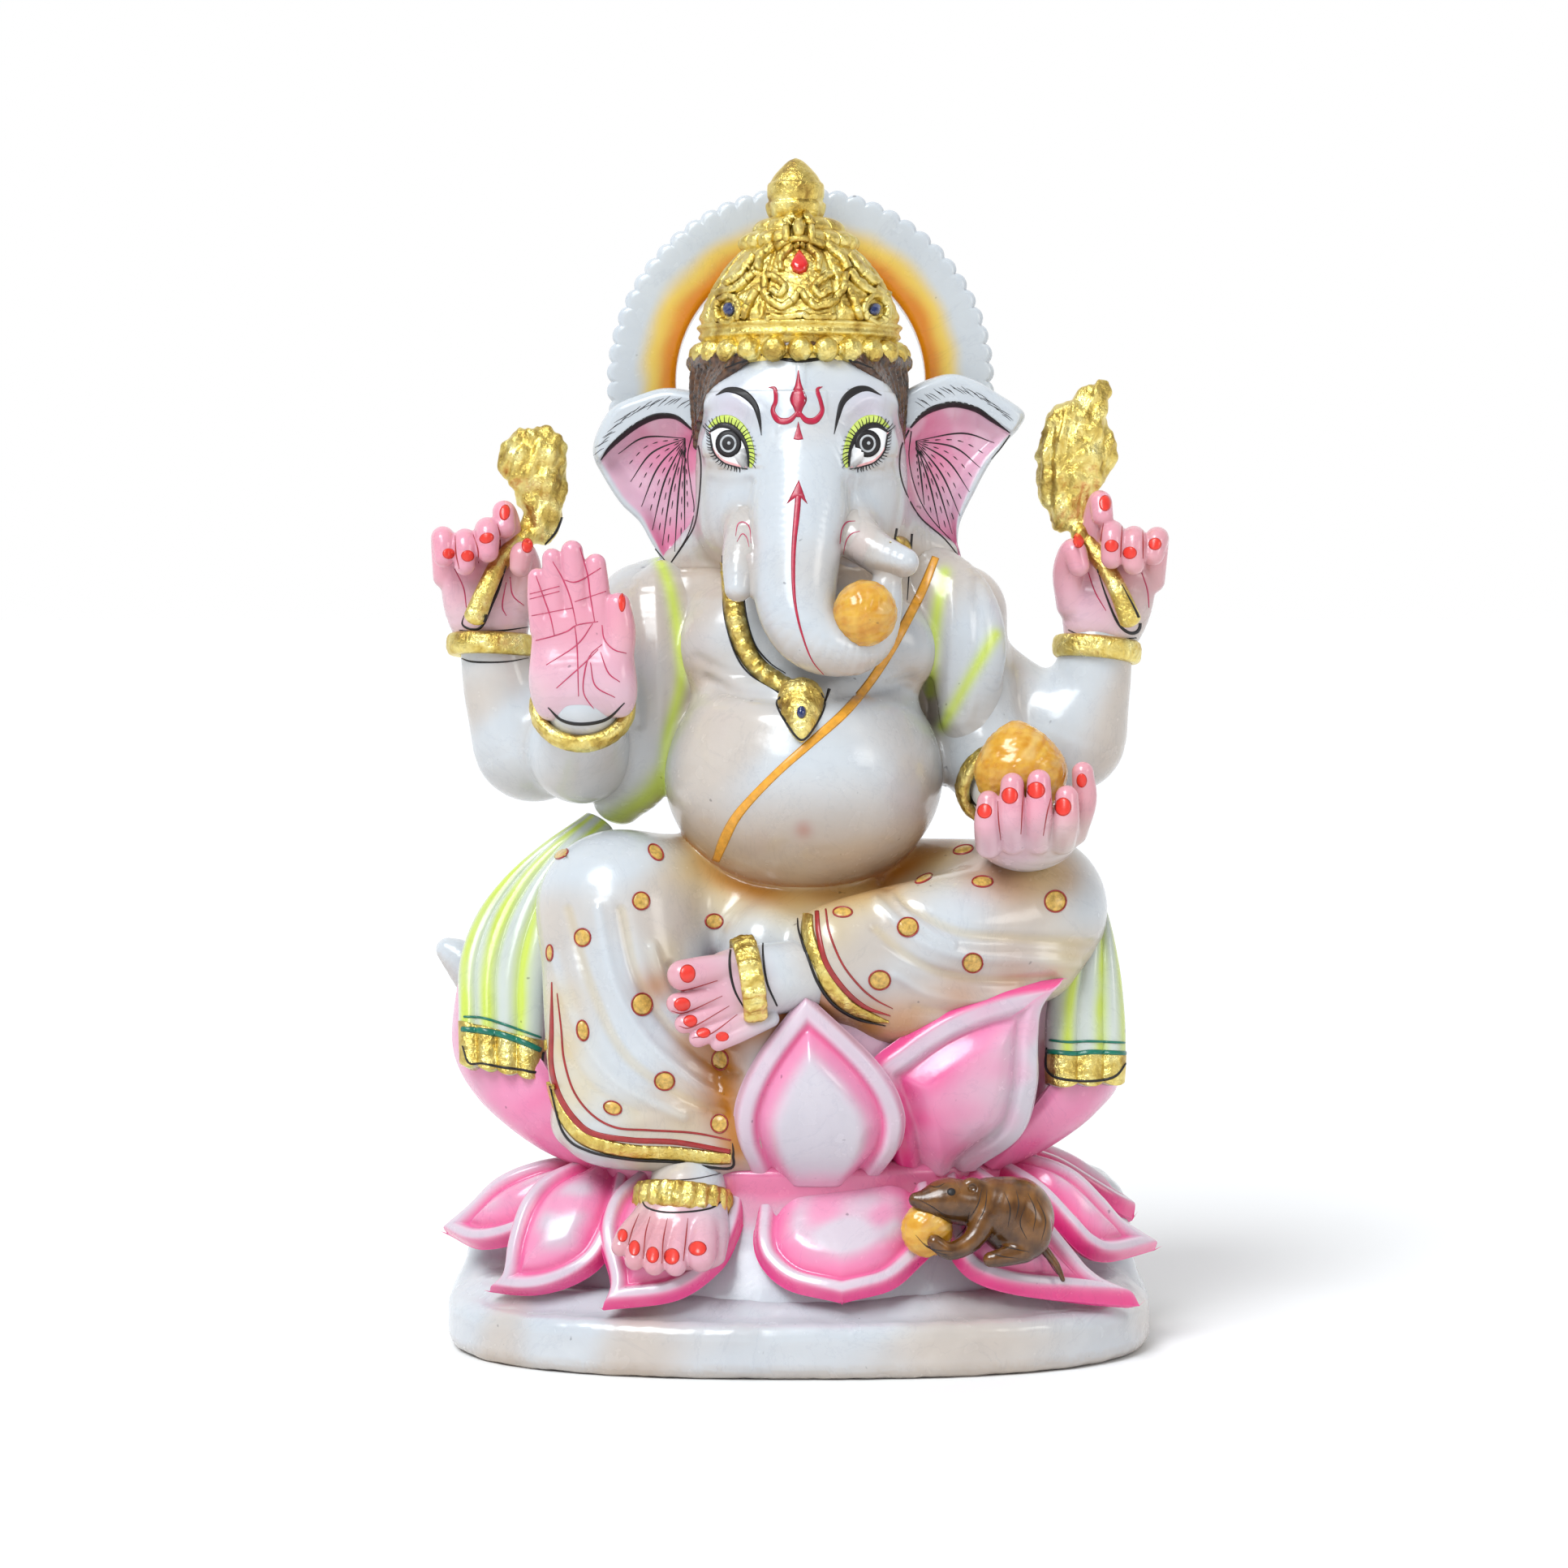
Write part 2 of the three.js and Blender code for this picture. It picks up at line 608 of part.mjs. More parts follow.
// ---------- upper lotus: the seat and its upright petals ----------
const upperPetals = {
  upper_petal_front: {
    path: [[5.5, -33, 50], [5.6, -45.5, 62], [4.6, -48, 78], [1.6, -44.5, 95]],
    widths: [14, 21, 15, 1.5],
    face: [0, -1, 0.1],
  },
  upper_petal_left_front: {
    path: [[42, -27, 50], [44, -40.5, 62], [48, -41, 78], [65, -31, 94]],
    widths: [15, 20, 17, 2],
    face: [0.3, -1, 0.1],
  },
  upper_petal_left: {
    path: [[58, -14, 51], [76, -14, 62], [82, -8, 76], [84, -2, 90]],
    widths: [12, 17, 15, 3],
    face: [0.8, -0.7, 0],
  },
  upper_petal_right: {
    path: [[-56, -20, 50], [-76, -18, 61], [-84, -10, 78], [-87, -3, 96]],
    widths: [14, 22, 18, 3],
    face: [-0.8, -0.7, 0],
  },
  upper_petal_right_back: {
    path: [[-52, 14, 51], [-74, 18, 66], [-85, 16, 84], [-93, 12, 99]],
    widths: [12, 17, 14, 2.5],
    face: [-1, 0.5, 0],
  },
  upper_petal_left_back: {
    path: [[52, 16, 51], [70, 20, 64], [78, 20, 78], [82, 16, 90]],
    widths: [12, 17, 14, 2.5],
    face: [1, 0.5, 0],
  },
};
Object.entries(upperPetals).forEach(([name, shape]) =>
  piece(name, PETAL_PINK, (g) => leaf(g, { ...shape, thickness: 5, bulge: 3.5 })),
);
piece("lotus_seat", PETAL_PINK, (g) =>
  turned(g, [0, 2], [[54, WAIST_Z + 1], [57, 52], [66, 60], [73, 76], [73, 92], [68, 97]], {
    segments: 20,
    deep: 0.55,
  }),
);

// ---------- lower lotus: drooping petals on the slab ----------
const lowerPetals = {
  lower_petal_front: {
    path: [[9, -32, 46], [10, -41, 40], [11, -48, 30], [11.5, -54, 19]],
    widths: [19, 21, 20, 9],
    face: [0, -0.8, 0.6],
  },
  lower_petal_right_front: {
    path: [[-24, -31, 46], [-30, -40, 40], [-37, -47, 28], [-45, -52.5, 18]],
    widths: [16, 18, 18, 3.5],
    face: [-0.2, -0.8, 0.6],
  },
  lower_petal_left_front: {
    path: [[42, -28, 46], [52, -37, 38], [66, -40, 26], [83, -35, 16.5]],
    widths: [15, 19, 19, 4],
    face: [0.3, -0.8, 0.7],
  },
  lower_petal_right: {
    path: [[-48, -22, 46], [-58, -30, 40], [-69, -33, 29], [-78, -31, 18.5]],
    widths: [13, 15, 14, 3],
    face: [-0.5, -0.7, 0.7],
  },
  lower_petal_left: {
    path: [[56, -12, 46], [68, -16, 40], [80, -14, 30], [91.5, -6, 23.5]],
    widths: [13, 15, 13, 2.5],
    face: [0.6, -0.6, 0.8],
  },
  lower_petal_right_far: {
    path: [[-57, -8, 46], [-70, -10, 42], [-82, -5, 34], [-91.5, 1, 27.5]],
    widths: [12, 14, 12, 2.5],
    face: [-0.6, -0.5, 0.8],
  },
  lower_petal_left_back: {
    path: [[54, 14, 46], [68, 20, 43], [80, 24, 38], [89, 24, 31]],
    widths: [13, 15, 13, 3],
    face: [0.6, 0.6, 0.8],
  },
};
Object.entries(lowerPetals).forEach(([name, shape]) =>
  piece(name, PETAL_PINK, (g) => leaf(g, { ...shape, thickness: 4.4, bulge: 2.5 })),
);
const foot = [[74, BASE_THICKNESS + GAP], [72, 22], [64, 32], [57, 42], [56, WAIST_Z]];
piece("lotus_foot", PETAL_PINK, (g) => turned(g, [0, 2], foot, { segments: 20, deep: 0.6 }));
// ---------- halo and slab ----------
const haloOutline = () => {
  const steps = HALO_SCALLOPS * 2;
  const edge = Array.from({ length: steps }, (_, i) => {
    const turn = (2 * Math.PI * i) / steps;
    const radius = HALO_RADIUS - 0.9 + 0.9 * Math.abs(Math.sin((turn * HALO_SCALLOPS) / 2));
    return new THREE.Vector2(0.5 + radius * Math.cos(turn), HALO_CENTRE_Z + radius * Math.sin(turn));
  });
  const shape = new THREE.Shape(edge);
  shape.holes.push(new THREE.Path().absarc(0.5, HALO_CENTRE_Z, HALO_HOLE_RADIUS + 1.5, 0, 2 * Math.PI, true));
  return shape;
};
piece("halo", MARBLE, (g) => plate(g, haloOutline(), 14, 8, { curveSegments: 16 }));

const slabOutline = () => {
  const shape = new THREE.Shape();
  const [w, d] = [BASE_HALF_WIDTH, BASE_HALF_DEPTH];
  shape.moveTo(-w, 4);
  shape.bezierCurveTo(-w, -d * 0.62, -w * 0.72, -d, 0, -d);
  shape.bezierCurveTo(w * 0.72, -d, w, -d * 0.62, w, 4);
  shape.lineTo(w - 4, d - 12);
  shape.quadraticCurveTo(w - 6, d, w - 20, d);
  shape.lineTo(20 - w, d);
  shape.quadraticCurveTo(6 - w, d, 4 - w, d - 12);
  return shape;
};
// The plain block that stands on the slab behind the lotus.
const rearOutline = () => {
  const [w, front, back] = [REAR_HALF_WIDTH, 22, BASE_HALF_DEPTH - 2];
  const shape = new THREE.Shape();
  shape.moveTo(-w, front);
  shape.lineTo(w, front);
  shape.lineTo(w, back - 10);
  shape.quadraticCurveTo(w, back, w - 12, back);
  shape.lineTo(12 - w, back);
  shape.quadraticCurveTo(-w, back, -w, back - 10);
  return shape;
};
piece("base_slab", MARBLE, (g) =>
  join(
    slab(g, slabOutline(), 0, BASE_THICKNESS),
    slab(g, rearOutline(), BASE_THICKNESS - 4, REAR_TOP_Z - BASE_THICKNESS + 4),
  ),
);

// ---------- seating: each piece is carved clear of the ones before it ----------
const apart = (a, b) =>
  [0, 1, 2].some((k) => a.min[k] > b.max[k] || b.min[k] > a.max[k]);

function largest(solid) {
  return solid.decompose().reduce((best, one) => (one.volume() > best.volume() ? one : best));
}

function meshOf(solid, name, material) {
  const { vertProperties, triVerts, numProp } = solid.getMesh();
  const position = new Float32Array((vertProperties.length / numProp) * 3);
  for (let i = 0; i < position.length / 3; i++) {
    position.set(vertProperties.subarray(i * numProp, i * numProp + 3), i * 3);
  }
  const geometry = new THREE.BufferGeometry();
  geometry.setAttribute("position", new THREE.BufferAttribute(position, 3));
  geometry.setIndex(new THREE.BufferAttribute(triVerts, 1));
  geometry.computeVertexNormals();
  const mesh = new THREE.Mesh(geometry, material.clone());
  mesh.name = name;
  return mesh;
}

const idol = new THREE.Group();
const grown = [];
pieces.forEach(({ name, material, shape }) => {
  let solid = shape(0);
  const box = solid.boundingBox();
  grown
    .filter((one) => !apart(one.boundingBox(), box))
    .forEach((one) => {
      solid = solid.subtract(one);
    });
  solid = largest(solid);
  grown.push(shape(GAP));
  idol.add(meshOf(solid, name, material));
});

// The idol's own box is centred over the origin.
const bounds = new THREE.Box3().setFromObject(idol);
idol.position.set(-(bounds.min.x + bounds.max.x) / 2, -(bounds.min.y + bounds.max.y) / 2, 0);

export default idol;
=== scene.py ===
"""A seated Ganesha idol in polished white marble, gilded and hand painted.

Each carved element is a mesh of its own that stands for its CAD node. Rounded stone is modelled as clay
(distance fields) and skinned; petals, ears, halo and crown are surfaces drawn row by row; brush work is
laid on the finished stone as thin raised strokes, placed where the painter's eye sees them from the front.
"""

import math

import bpy
import numpy as np
import openvdb
from mathutils import Matrix, Vector
from mathutils.bvhtree import BVHTree


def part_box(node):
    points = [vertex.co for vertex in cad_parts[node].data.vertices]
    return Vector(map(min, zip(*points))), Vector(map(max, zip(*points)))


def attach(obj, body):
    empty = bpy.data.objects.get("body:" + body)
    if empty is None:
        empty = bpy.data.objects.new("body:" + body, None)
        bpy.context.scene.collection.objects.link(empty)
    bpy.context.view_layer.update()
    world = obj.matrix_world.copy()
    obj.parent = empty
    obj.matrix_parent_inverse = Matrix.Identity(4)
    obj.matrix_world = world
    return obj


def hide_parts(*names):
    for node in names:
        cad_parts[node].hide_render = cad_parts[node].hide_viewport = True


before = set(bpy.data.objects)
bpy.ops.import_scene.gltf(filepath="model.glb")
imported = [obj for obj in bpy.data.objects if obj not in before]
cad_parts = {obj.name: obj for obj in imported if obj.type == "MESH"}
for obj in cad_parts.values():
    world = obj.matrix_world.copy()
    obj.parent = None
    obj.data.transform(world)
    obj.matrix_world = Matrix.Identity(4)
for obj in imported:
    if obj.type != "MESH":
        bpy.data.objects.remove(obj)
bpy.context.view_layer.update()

# ---------- the frame ----------
# Shapes are given in millimetres from the slab's own middle; the slab stands on z = 0 and faces -Y.
MM = 0.001
SLAB_LOW, SLAB_HIGH = (np.array(corner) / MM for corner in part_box("base_slab"))
MIDDLE = np.array([(SLAB_LOW[0] + SLAB_HIGH[0]) / 2, (SLAB_LOW[1] + SLAB_HIGH[1]) / 2, 0.0])
EYE = np.array([-3.8, -1000.0, 190.0])  # where the figure is looked at and painted from
EYE_PITCH = math.radians(-2.61)
FOCAL_LENGTH = 88.85  # on a 36 mm wide sensor
FINE = 1.0

WHITE = (0.575, 0.61, 0.64)  # bare marble


def to_metres(points):
    """From millimetres round the slab's middle to the frame's own metres."""
    return (np.asarray(points, float) + MIDDLE) * MM


# ---------- curves ----------
def spline(stations, step=2.0):
    """Points about step apart on a Catmull-Rom curve through stations that start with their place."""
    stations = np.asarray(stations, float)
    if len(stations) == 2:
        stations = np.array([stations[0], stations.mean(axis=0), stations[1]])
    padded = np.vstack([2 * stations[0] - stations[1], stations, 2 * stations[-1] - stations[-2]])
    made = []
    for a, b, c, d in zip(padded, padded[1:], padded[2:], padded[3:]):
        count = max(2, int(np.ceil(np.linalg.norm((c - b)[:3]) / step)))
        t = np.arange(count)[:, None] / count
        made.append(0.5 * (2 * b + (c - a) * t + (2 * a - 5 * b + 4 * c - d) * t**2
                           + (3 * b - a - 3 * c + d) * t**3))
    made.append(stations[-1:])
    return np.vstack(made)


def smooth(low, high, value):
    """0 below low, 1 above high, and an S curve between."""
    t = np.clip((value - low) / (high - low), 0.0, 1.0)
    return t * t * (3 - 2 * t)


def mix(colour, other, share):
    """Blends two colours by a share for each point."""
    share = np.asarray(share)[..., None]
    return np.asarray(colour) * (1 - share) + np.asarray(other) * share


def coat(colour, shape):
    """One colour, repeated for every point."""
    return np.broadcast_to(np.array(colour), shape)


def bell(value, middle, width):
    """1 where the value is in the middle, falling away smoothly over the width."""
    return np.exp(-(((value - middle) / width) ** 2))


# ---------- clay: distance fields ----------
REACH = 6.0  # how far from a surface its distance is worked out


class Lump:
    """A rounded shape: a list of bits, each with its box and its distance function."""

    def __init__(self, bits, blend=1.0, hollow=False):
        self.bits = bits
        self.blend = blend
        self.hollow = hollow


def ball(centre, radii, turn=(0, 0, 0), blend=1.0, hollow=False):
    """An ellipsoid, turned about X, Y and Z in degrees."""
    centre = np.asarray(centre, float)
    radii = np.broadcast_to(np.asarray(radii, float), 3)
    axes = np.array(
        Matrix.Rotation(math.radians(turn[2]), 3, "Z")
        @ Matrix.Rotation(math.radians(turn[1]), 3, "Y")
        @ Matrix.Rotation(math.radians(turn[0]), 3, "X")
    )
    half = np.sqrt(((axes * radii) ** 2).sum(axis=1))

    def distance(x, y, z):
        offset = (x - centre[0], y - centre[1], z - centre[2])
        near, far = 0.0, 0.0
        for axis, radius in zip(axes.T, radii):
            along = (offset[0] * axis[0] + offset[1] * axis[1] + offset[2] * axis[2]) / radius
            near = near + along**2
            far = far + (along / radius) ** 2
        near = np.sqrt(near)
        return near * (near - 1) / np.maximum(np.sqrt(far), 1e-4)

    return Lump([(centre - half, centre + half, distance)], blend, hollow)


def tube(stations, wide=(1, 0, 0), blend=1.0, step=2.0):
    """A round-ended limb through stations (x, y, z, radius) or (x, y, z, half width, half depth)."""
    path = spline([(*s, s[3]) if len(s) == 4 else s for s in stations], step)
    bits = []
    for start, end in zip(path, path[1:]):
        length = np.linalg.norm(end[:3] - start[:3])
        if length < 1e-6:
            continue
        along = (end[:3] - start[:3]) / length
        across = np.asarray(wide, float) - np.dot(wide, along) * along
        across /= np.linalg.norm(across)
        bits.append(capsule(start, end, length, along, across, np.cross(along, across)))
    return Lump(bits, blend)


def capsule(start, end, length, along, across, deep):
    """One stretch of a limb, with an oval section."""
    size = max(start[3:].max(), end[3:].max())
    low = np.minimum(start[:3], end[:3]) - size
    high = np.maximum(start[:3], end[:3]) + size

    def distance(x, y, z):
        dx, dy, dz = x - start[0], y - start[1], z - start[2]
        u = dx * along[0] + dy * along[1] + dz * along[2]
        share = np.clip(u / length, 0, 1)
        over = u - share * length
        v = dx * across[0] + dy * across[1] + dz * across[2]
        w = dx * deep[0] + dy * deep[1] + dz * deep[2]
        half_width = start[3] + (end[3] - start[3]) * share
        half_depth = start[4] + (end[4] - start[4]) * share
        end_radius = np.minimum(half_width, half_depth)
        near = np.sqrt((v / half_width) ** 2 + (w / half_depth) ** 2 + (over / end_radius) ** 2)
        far = np.sqrt((v / half_width**2) ** 2 + (w / half_depth**2) ** 2 + (over / end_radius**2) ** 2)
        return near * (near - 1) / np.maximum(far, 1e-4)

    return low, high, distance


def fuse(a, b, blend):
    """Joins two fields with a fillet about blend wide."""
    if blend <= 0:
        return np.minimum(a, b)
    h = np.maximum(blend - np.abs(a - b), 0.0) / blend
    return np.minimum(a, b) - h * h * blend / 4


class Clay:
    """A field of distances on a grid, onto which lumps are pressed."""

    def __init__(self, low, high, cell):
        self.cell = cell
        self.low = np.floor(np.asarray(low, float) / cell) * cell
        counts = np.ceil((np.asarray(high, float) - self.low) / cell).astype(int) + 1
        self.axes = [(start + cell * np.arange(n)).astype(np.float32) for start, n in zip(self.low, counts)]
        self.field = np.full(counts, REACH, np.float32)

    def window(self, low, high):
        """The part of the grid within reach of a box, and the places in it."""
        cut = []
        for axis, a, b in zip(self.axes, low, high):
            cut.append(slice(*np.searchsorted(axis, (a - REACH, b + REACH))))
        if any(c.start >= c.stop for c in cut):
            return None, None
        places = (axis[c] for axis, c in zip(self.axes, cut))
        return tuple(cut), np.meshgrid(*places, indexing="ij", sparse=True)

    def measure(self, lump):
        """The lump's own distances and the window of the grid that they fill."""
        low = np.min([bit[0] for bit in lump.bits], axis=0)
        high = np.max([bit[1] for bit in lump.bits], axis=0)
        cut, _ = self.window(low, high)
        if cut is None:
            return None, None
        own = np.full([c.stop - c.start for c in cut], REACH, np.float32)
        for bit_low, bit_high, distance in lump.bits:
            bit_cut, places = self.window(bit_low, bit_high)
            if bit_cut is None:
                continue
            inner = tuple(slice(b.start - c.start, b.stop - c.start) for b, c in zip(bit_cut, cut))
            own[inner] = np.minimum(own[inner], distance(*places))
        return cut, own

    def press(self, lumps):
        for lump in lumps:
            cut, own = self.measure(lump)
            if cut is None:
                continue
            if lump.hollow:
                self.field[cut] = -fuse(-self.field[cut], own, lump.blend)
            else:
                self.field[cut] = fuse(self.field[cut], own, lump.blend)
        return self

    def sample(self, points):
        """The field's values at the grid places nearest to the points."""
        return self.field[self.nearest(points)]

    def nearest(self, points):
        spots = np.rint((points - self.low) / self.cell).astype(int)
        return tuple(np.clip(spots, 0, np.array(self.field.shape) - 1).T)

    def slopes(self, points):
        """The way that the surface faces at each point."""
        spots = self.nearest(points)
        slope = np.stack([np.gradient(self.field, axis=k)[spots] for k in range(3)], axis=1)
        return slope / np.maximum(np.linalg.norm(slope, axis=1), 1e-6)[:, None]

    def skin(self):
        """Points and faces of the surface."""
        grid = openvdb.FloatGrid()
        grid.background = REACH
        grid.copyFromArray(self.field)
        points, triangles, quads = grid.convertToPolygons(isovalue=0.0, adaptivity=0.0)
        return points * self.cell + self.low, [triangles, quads]


# ---------- materials ----------
def new_material(name):
    material = bpy.data.materials.new(name)
    material.use_nodes = True
    nodes = material.node_tree.nodes
    return material, material.node_tree, nodes["Principled BSDF"]


def link(tree, source, target):
    tree.links.new(source, target)


def noise(tree, scale, detail=4.0, roughness=0.5, distortion=0.0):
    """A noise in object space; scale is in waves per metre."""
    place = tree.nodes.new("ShaderNodeTexCoord")
    made = tree.nodes.new("ShaderNodeTexNoise")
    made.inputs["Scale"].default_value = scale
    made.inputs["Detail"].default_value = detail
    made.inputs["Roughness"].default_value = roughness
    made.inputs["Distortion"].default_value = distortion
    link(tree, place.outputs["Object"], made.inputs["Vector"])
    return made.outputs["Fac"]


def ramp(tree, source, stops):
    """A value turned into colours at the given stops."""
    made = tree.nodes.new("ShaderNodeValToRGB")
    elements = made.color_ramp.elements
    while len(elements) < len(stops):
        elements.new(0.5)
    for element, (position, colour) in zip(elements, stops):
        element.position = position
        element.color = (*colour, 1.0)
    link(tree, source, made.inputs["Fac"])
    return made.outputs["Color"]


def multiply(tree, a, b):
    """One colour darkened by another."""
    made = tree.nodes.new("ShaderNodeMix")
    made.data_type = "RGBA"
    made.blend_type = "MULTIPLY"
    made.inputs["Factor"].default_value = 1.0
    link(tree, a, made.inputs["A"])
    link(tree, b, made.inputs["B"])
    return made.outputs["Result"]


def bump(tree, shader, height, strength, distance):
    """Fine relief in the shading."""
    made = tree.nodes.new("ShaderNodeBump")
    made.inputs["Strength"].default_value = strength
    made.inputs["Distance"].default_value = distance
    link(tree, height, made.inputs["Height"])
    link(tree, made.outputs["Normal"], shader.inputs["Normal"])


def spread(tree, source, low, high):
    """Maps 0 to 1 onto low to high."""
    made = tree.nodes.new("ShaderNodeMapRange")
    made.inputs["To Min"].default_value = low
    made.inputs["To Max"].default_value = high
    link(tree, source, made.inputs["Value"])
    return made.outputs["Result"]


def spread_from(tree, source, low, high):
    """Maps low to high onto 0 to 1."""
    made = tree.nodes.new("ShaderNodeMapRange")
    made.inputs["From Min"].default_value = low
    made.inputs["From Max"].default_value = high
    link(tree, source, made.inputs["Value"])
    return made.outputs["Result"]


def stone_material():
    """Polished marble under thin washes of paint, whose colour each point of the stone carries."""
    material, tree, shader = new_material("painted_marble")
    paint = tree.nodes.new("ShaderNodeAttribute")
    paint.attribute_name = "paint"
    cloud = ramp(tree, noise(tree, 45, 5, 0.6, 0.6), [(0.3, (0.90, 0.91, 0.93)), (0.7, (1.0, 1.0, 1.0))])
    vein = ramp(
        tree,
        noise(tree, 28, 6, 0.65, 2.2),
        [(0.485, (1.0, 1.0, 1.0)), (0.5, (0.93, 0.935, 0.95)), (0.515, (1.0, 1.0, 1.0))],
    )
    speck = ramp(tree, noise(tree, 420, 1, 0.4), [(0.17, (0.55, 0.55, 0.56)), (0.21, (1.0, 1.0, 1.0))])
    stained = multiply(tree, paint.outputs["Color"], cloud)
    stained = multiply(tree, stained, vein)
    stained = multiply(tree, stained, speck)
    link(tree, stained, shader.inputs["Base Color"])
    link(tree, spread(tree, noise(tree, 160, 3), 0.16, 0.34), shader.inputs["Roughness"])
    shader.inputs["Subsurface Weight"].default_value = 0.22
    shader.inputs["Subsurface Radius"].default_value = (1.0, 0.85, 0.75)
    shader.inputs["Subsurface Scale"].default_value = 0.004
    shader.inputs["Coat Weight"].default_value = 0.35
    shader.inputs["Coat Roughness"].default_value = 0.12
    bump(tree, shader, noise(tree, 330, 3, 0.5), 0.25, 0.0004)
    return material


def gold_material():
    """Leaf laid over carved stone: bright, crinkled, with darker size showing through in the hollows."""
    material, tree, shader = new_material("gold_leaf")
    crinkle = noise(tree, 700, 4, 0.62, 0.8)
    patch = noise(tree, 180, 4, 0.6, 0.5)
    tone = ramp(
        tree,
        patch,
        [(0.28, (0.36, 0.22, 0.05)), (0.45, (0.70, 0.52, 0.13)), (0.62, (0.88, 0.74, 0.27)),
         (0.8, (0.98, 0.90, 0.46))],
    )
    link(tree, tone, shader.inputs["Base Color"])
    shader.inputs["Metallic"].default_value = 1.0
    link(tree, spread(tree, patch, 0.42, 0.2), shader.inputs["Roughness"])
    bump(tree, shader, crinkle, 0.55, 0.0009)
    return material


def brush_material(name, colour, variation=0.25, roughness=0.35, coat=0.3, grain=500):
    """Opaque brush paint whose depth varies along the stroke."""
    material, tree, shader = new_material(name)
    dark = tuple(c * (1 - variation) for c in colour)
    tone = ramp(tree, noise(tree, grain, 3, 0.6), [(0.35, dark), (0.65, colour)])
    link(tree, tone, shader.inputs["Base Color"])
    link(tree, spread(tree, noise(tree, 900, 2), roughness - 0.08, roughness + 0.1),
         shader.inputs["Roughness"])
    shader.inputs["Coat Weight"].default_value = coat
    shader.inputs["Coat Roughness"].default_value = 0.15
    bump(tree, shader, noise(tree, 1500, 2), 0.15, 0.0002)
    return material


STONE = stone_material()
GOLD = gold_material()
BLACK = brush_material("black_brush", (0.006, 0.004, 0.005), roughness=0.5, coat=0.05)
CRIMSON = brush_material("crimson_brush", (0.46, 0.004, 0.04))
NAIL_RED = brush_material("nail_red", (0.78, 0.035, 0.02), 0.12)
PALM_RED = brush_material("palm_line_red", (0.55, 0.03, 0.11))
MAROON = brush_material("maroon_brush", (0.36, 0.02, 0.02))
ORANGE = brush_material("orange_brush", (0.84, 0.38, 0.03), 0.25)
OCHRE = brush_material("ochre_gilding", (0.74, 0.46, 0.10), 0.45, 0.3, grain=900)
LIME = brush_material("lime_brush", (0.60, 0.74, 0.12), 0.2)
TEAL = brush_material("teal_brush", (0.0, 0.17, 0.11))
BLUE = brush_material("blue_gem", (0.004, 0.02, 0.12), 0.3, 0.15, 1.0)
RED_GEM = brush_material("red_gem", (0.70, 0.01, 0.01), 0.15, 0.15, 1.0)
GREY = brush_material("grey_brush", (0.50, 0.52, 0.54))
LID_PINK = brush_material("lid_pink", (0.85, 0.42, 0.42))
EYE_WHITE = brush_material("eye_white", (0.80, 0.80, 0.80), 0.05)


# ---------- pieces ----------
def add_mesh(name, points, faces, material, nodes=(), colours=None):
    """A smooth-shaded piece from points in millimetres and arrays of faces; it stands for its CAD nodes."""
    corners = np.concatenate([f.ravel() for f in faces]).astype(np.int32)
    sizes = np.concatenate([np.full(len(f), f.shape[1]) for f in faces])
    starts = np.concatenate([[0], np.cumsum(sizes)[:-1]]).astype(np.int32)
    mesh = bpy.data.meshes.new(name)
    mesh.vertices.add(len(points))
    mesh.vertices.foreach_set("co", to_metres(points).astype(np.float32).ravel())
    mesh.loops.add(len(corners))
    mesh.loops.foreach_set("vertex_index", corners)
    mesh.polygons.add(len(sizes))
    mesh.polygons.foreach_set("loop_start", starts)
    mesh.update(calc_edges=True)
    mesh.shade_smooth()
    if colours is not None:
        paint = mesh.attributes.new("paint", "FLOAT_COLOR", "POINT")
        rgba = np.ones((len(points), 4), np.float32)
        rgba[:, :3] = colours
        paint.data.foreach_set("color", rgba.ravel())
    FINISHED[name] = (np.asarray(points, float), faces)
    piece = bpy.data.objects.new(name, mesh)
    bpy.context.scene.collection.objects.link(piece)
    mesh.materials.append(material)
    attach(piece, "root")
    if nodes:
        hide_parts(*nodes)
    return piece


FIGURE = {}  # name: the lumps of each element that grows into its neighbours
FINISHED = {}  # name: the points and faces of each finished piece


# ---------- the stone: shapes ----------
FIGURE["torso"] = [
    ball((1.2, -11, 147.5), (35.6, 36, 30.5)),
    ball((0.8, -3, 181), (32, 23, 26), blend=5),
    ball((-15, -14.6, 179), (15.4, 10, 13.4), blend=7),
    ball((19, -14.6, 179), (15.4, 10, 13.4), blend=7),
    tube([(-39, 3, 189.4, 12), (0, 4, 195, 15), (41.4, 3, 189.4, 11.6)], blend=8),
    tube([(26, 6, 178, 9), (33.6, 5, 164, 7)], blend=6),
    tube([(0, 2, 196, 21), (0, 0, 210, 19)], blend=7),
    tube([(-20, 12, 172, 10), (0, 15, 160, 14), (22, 12, 172, 10)], blend=10),
    ball((1.4, -47.6, 135), (2.6, 2, 2.0), blend=2.0, hollow=True),
]
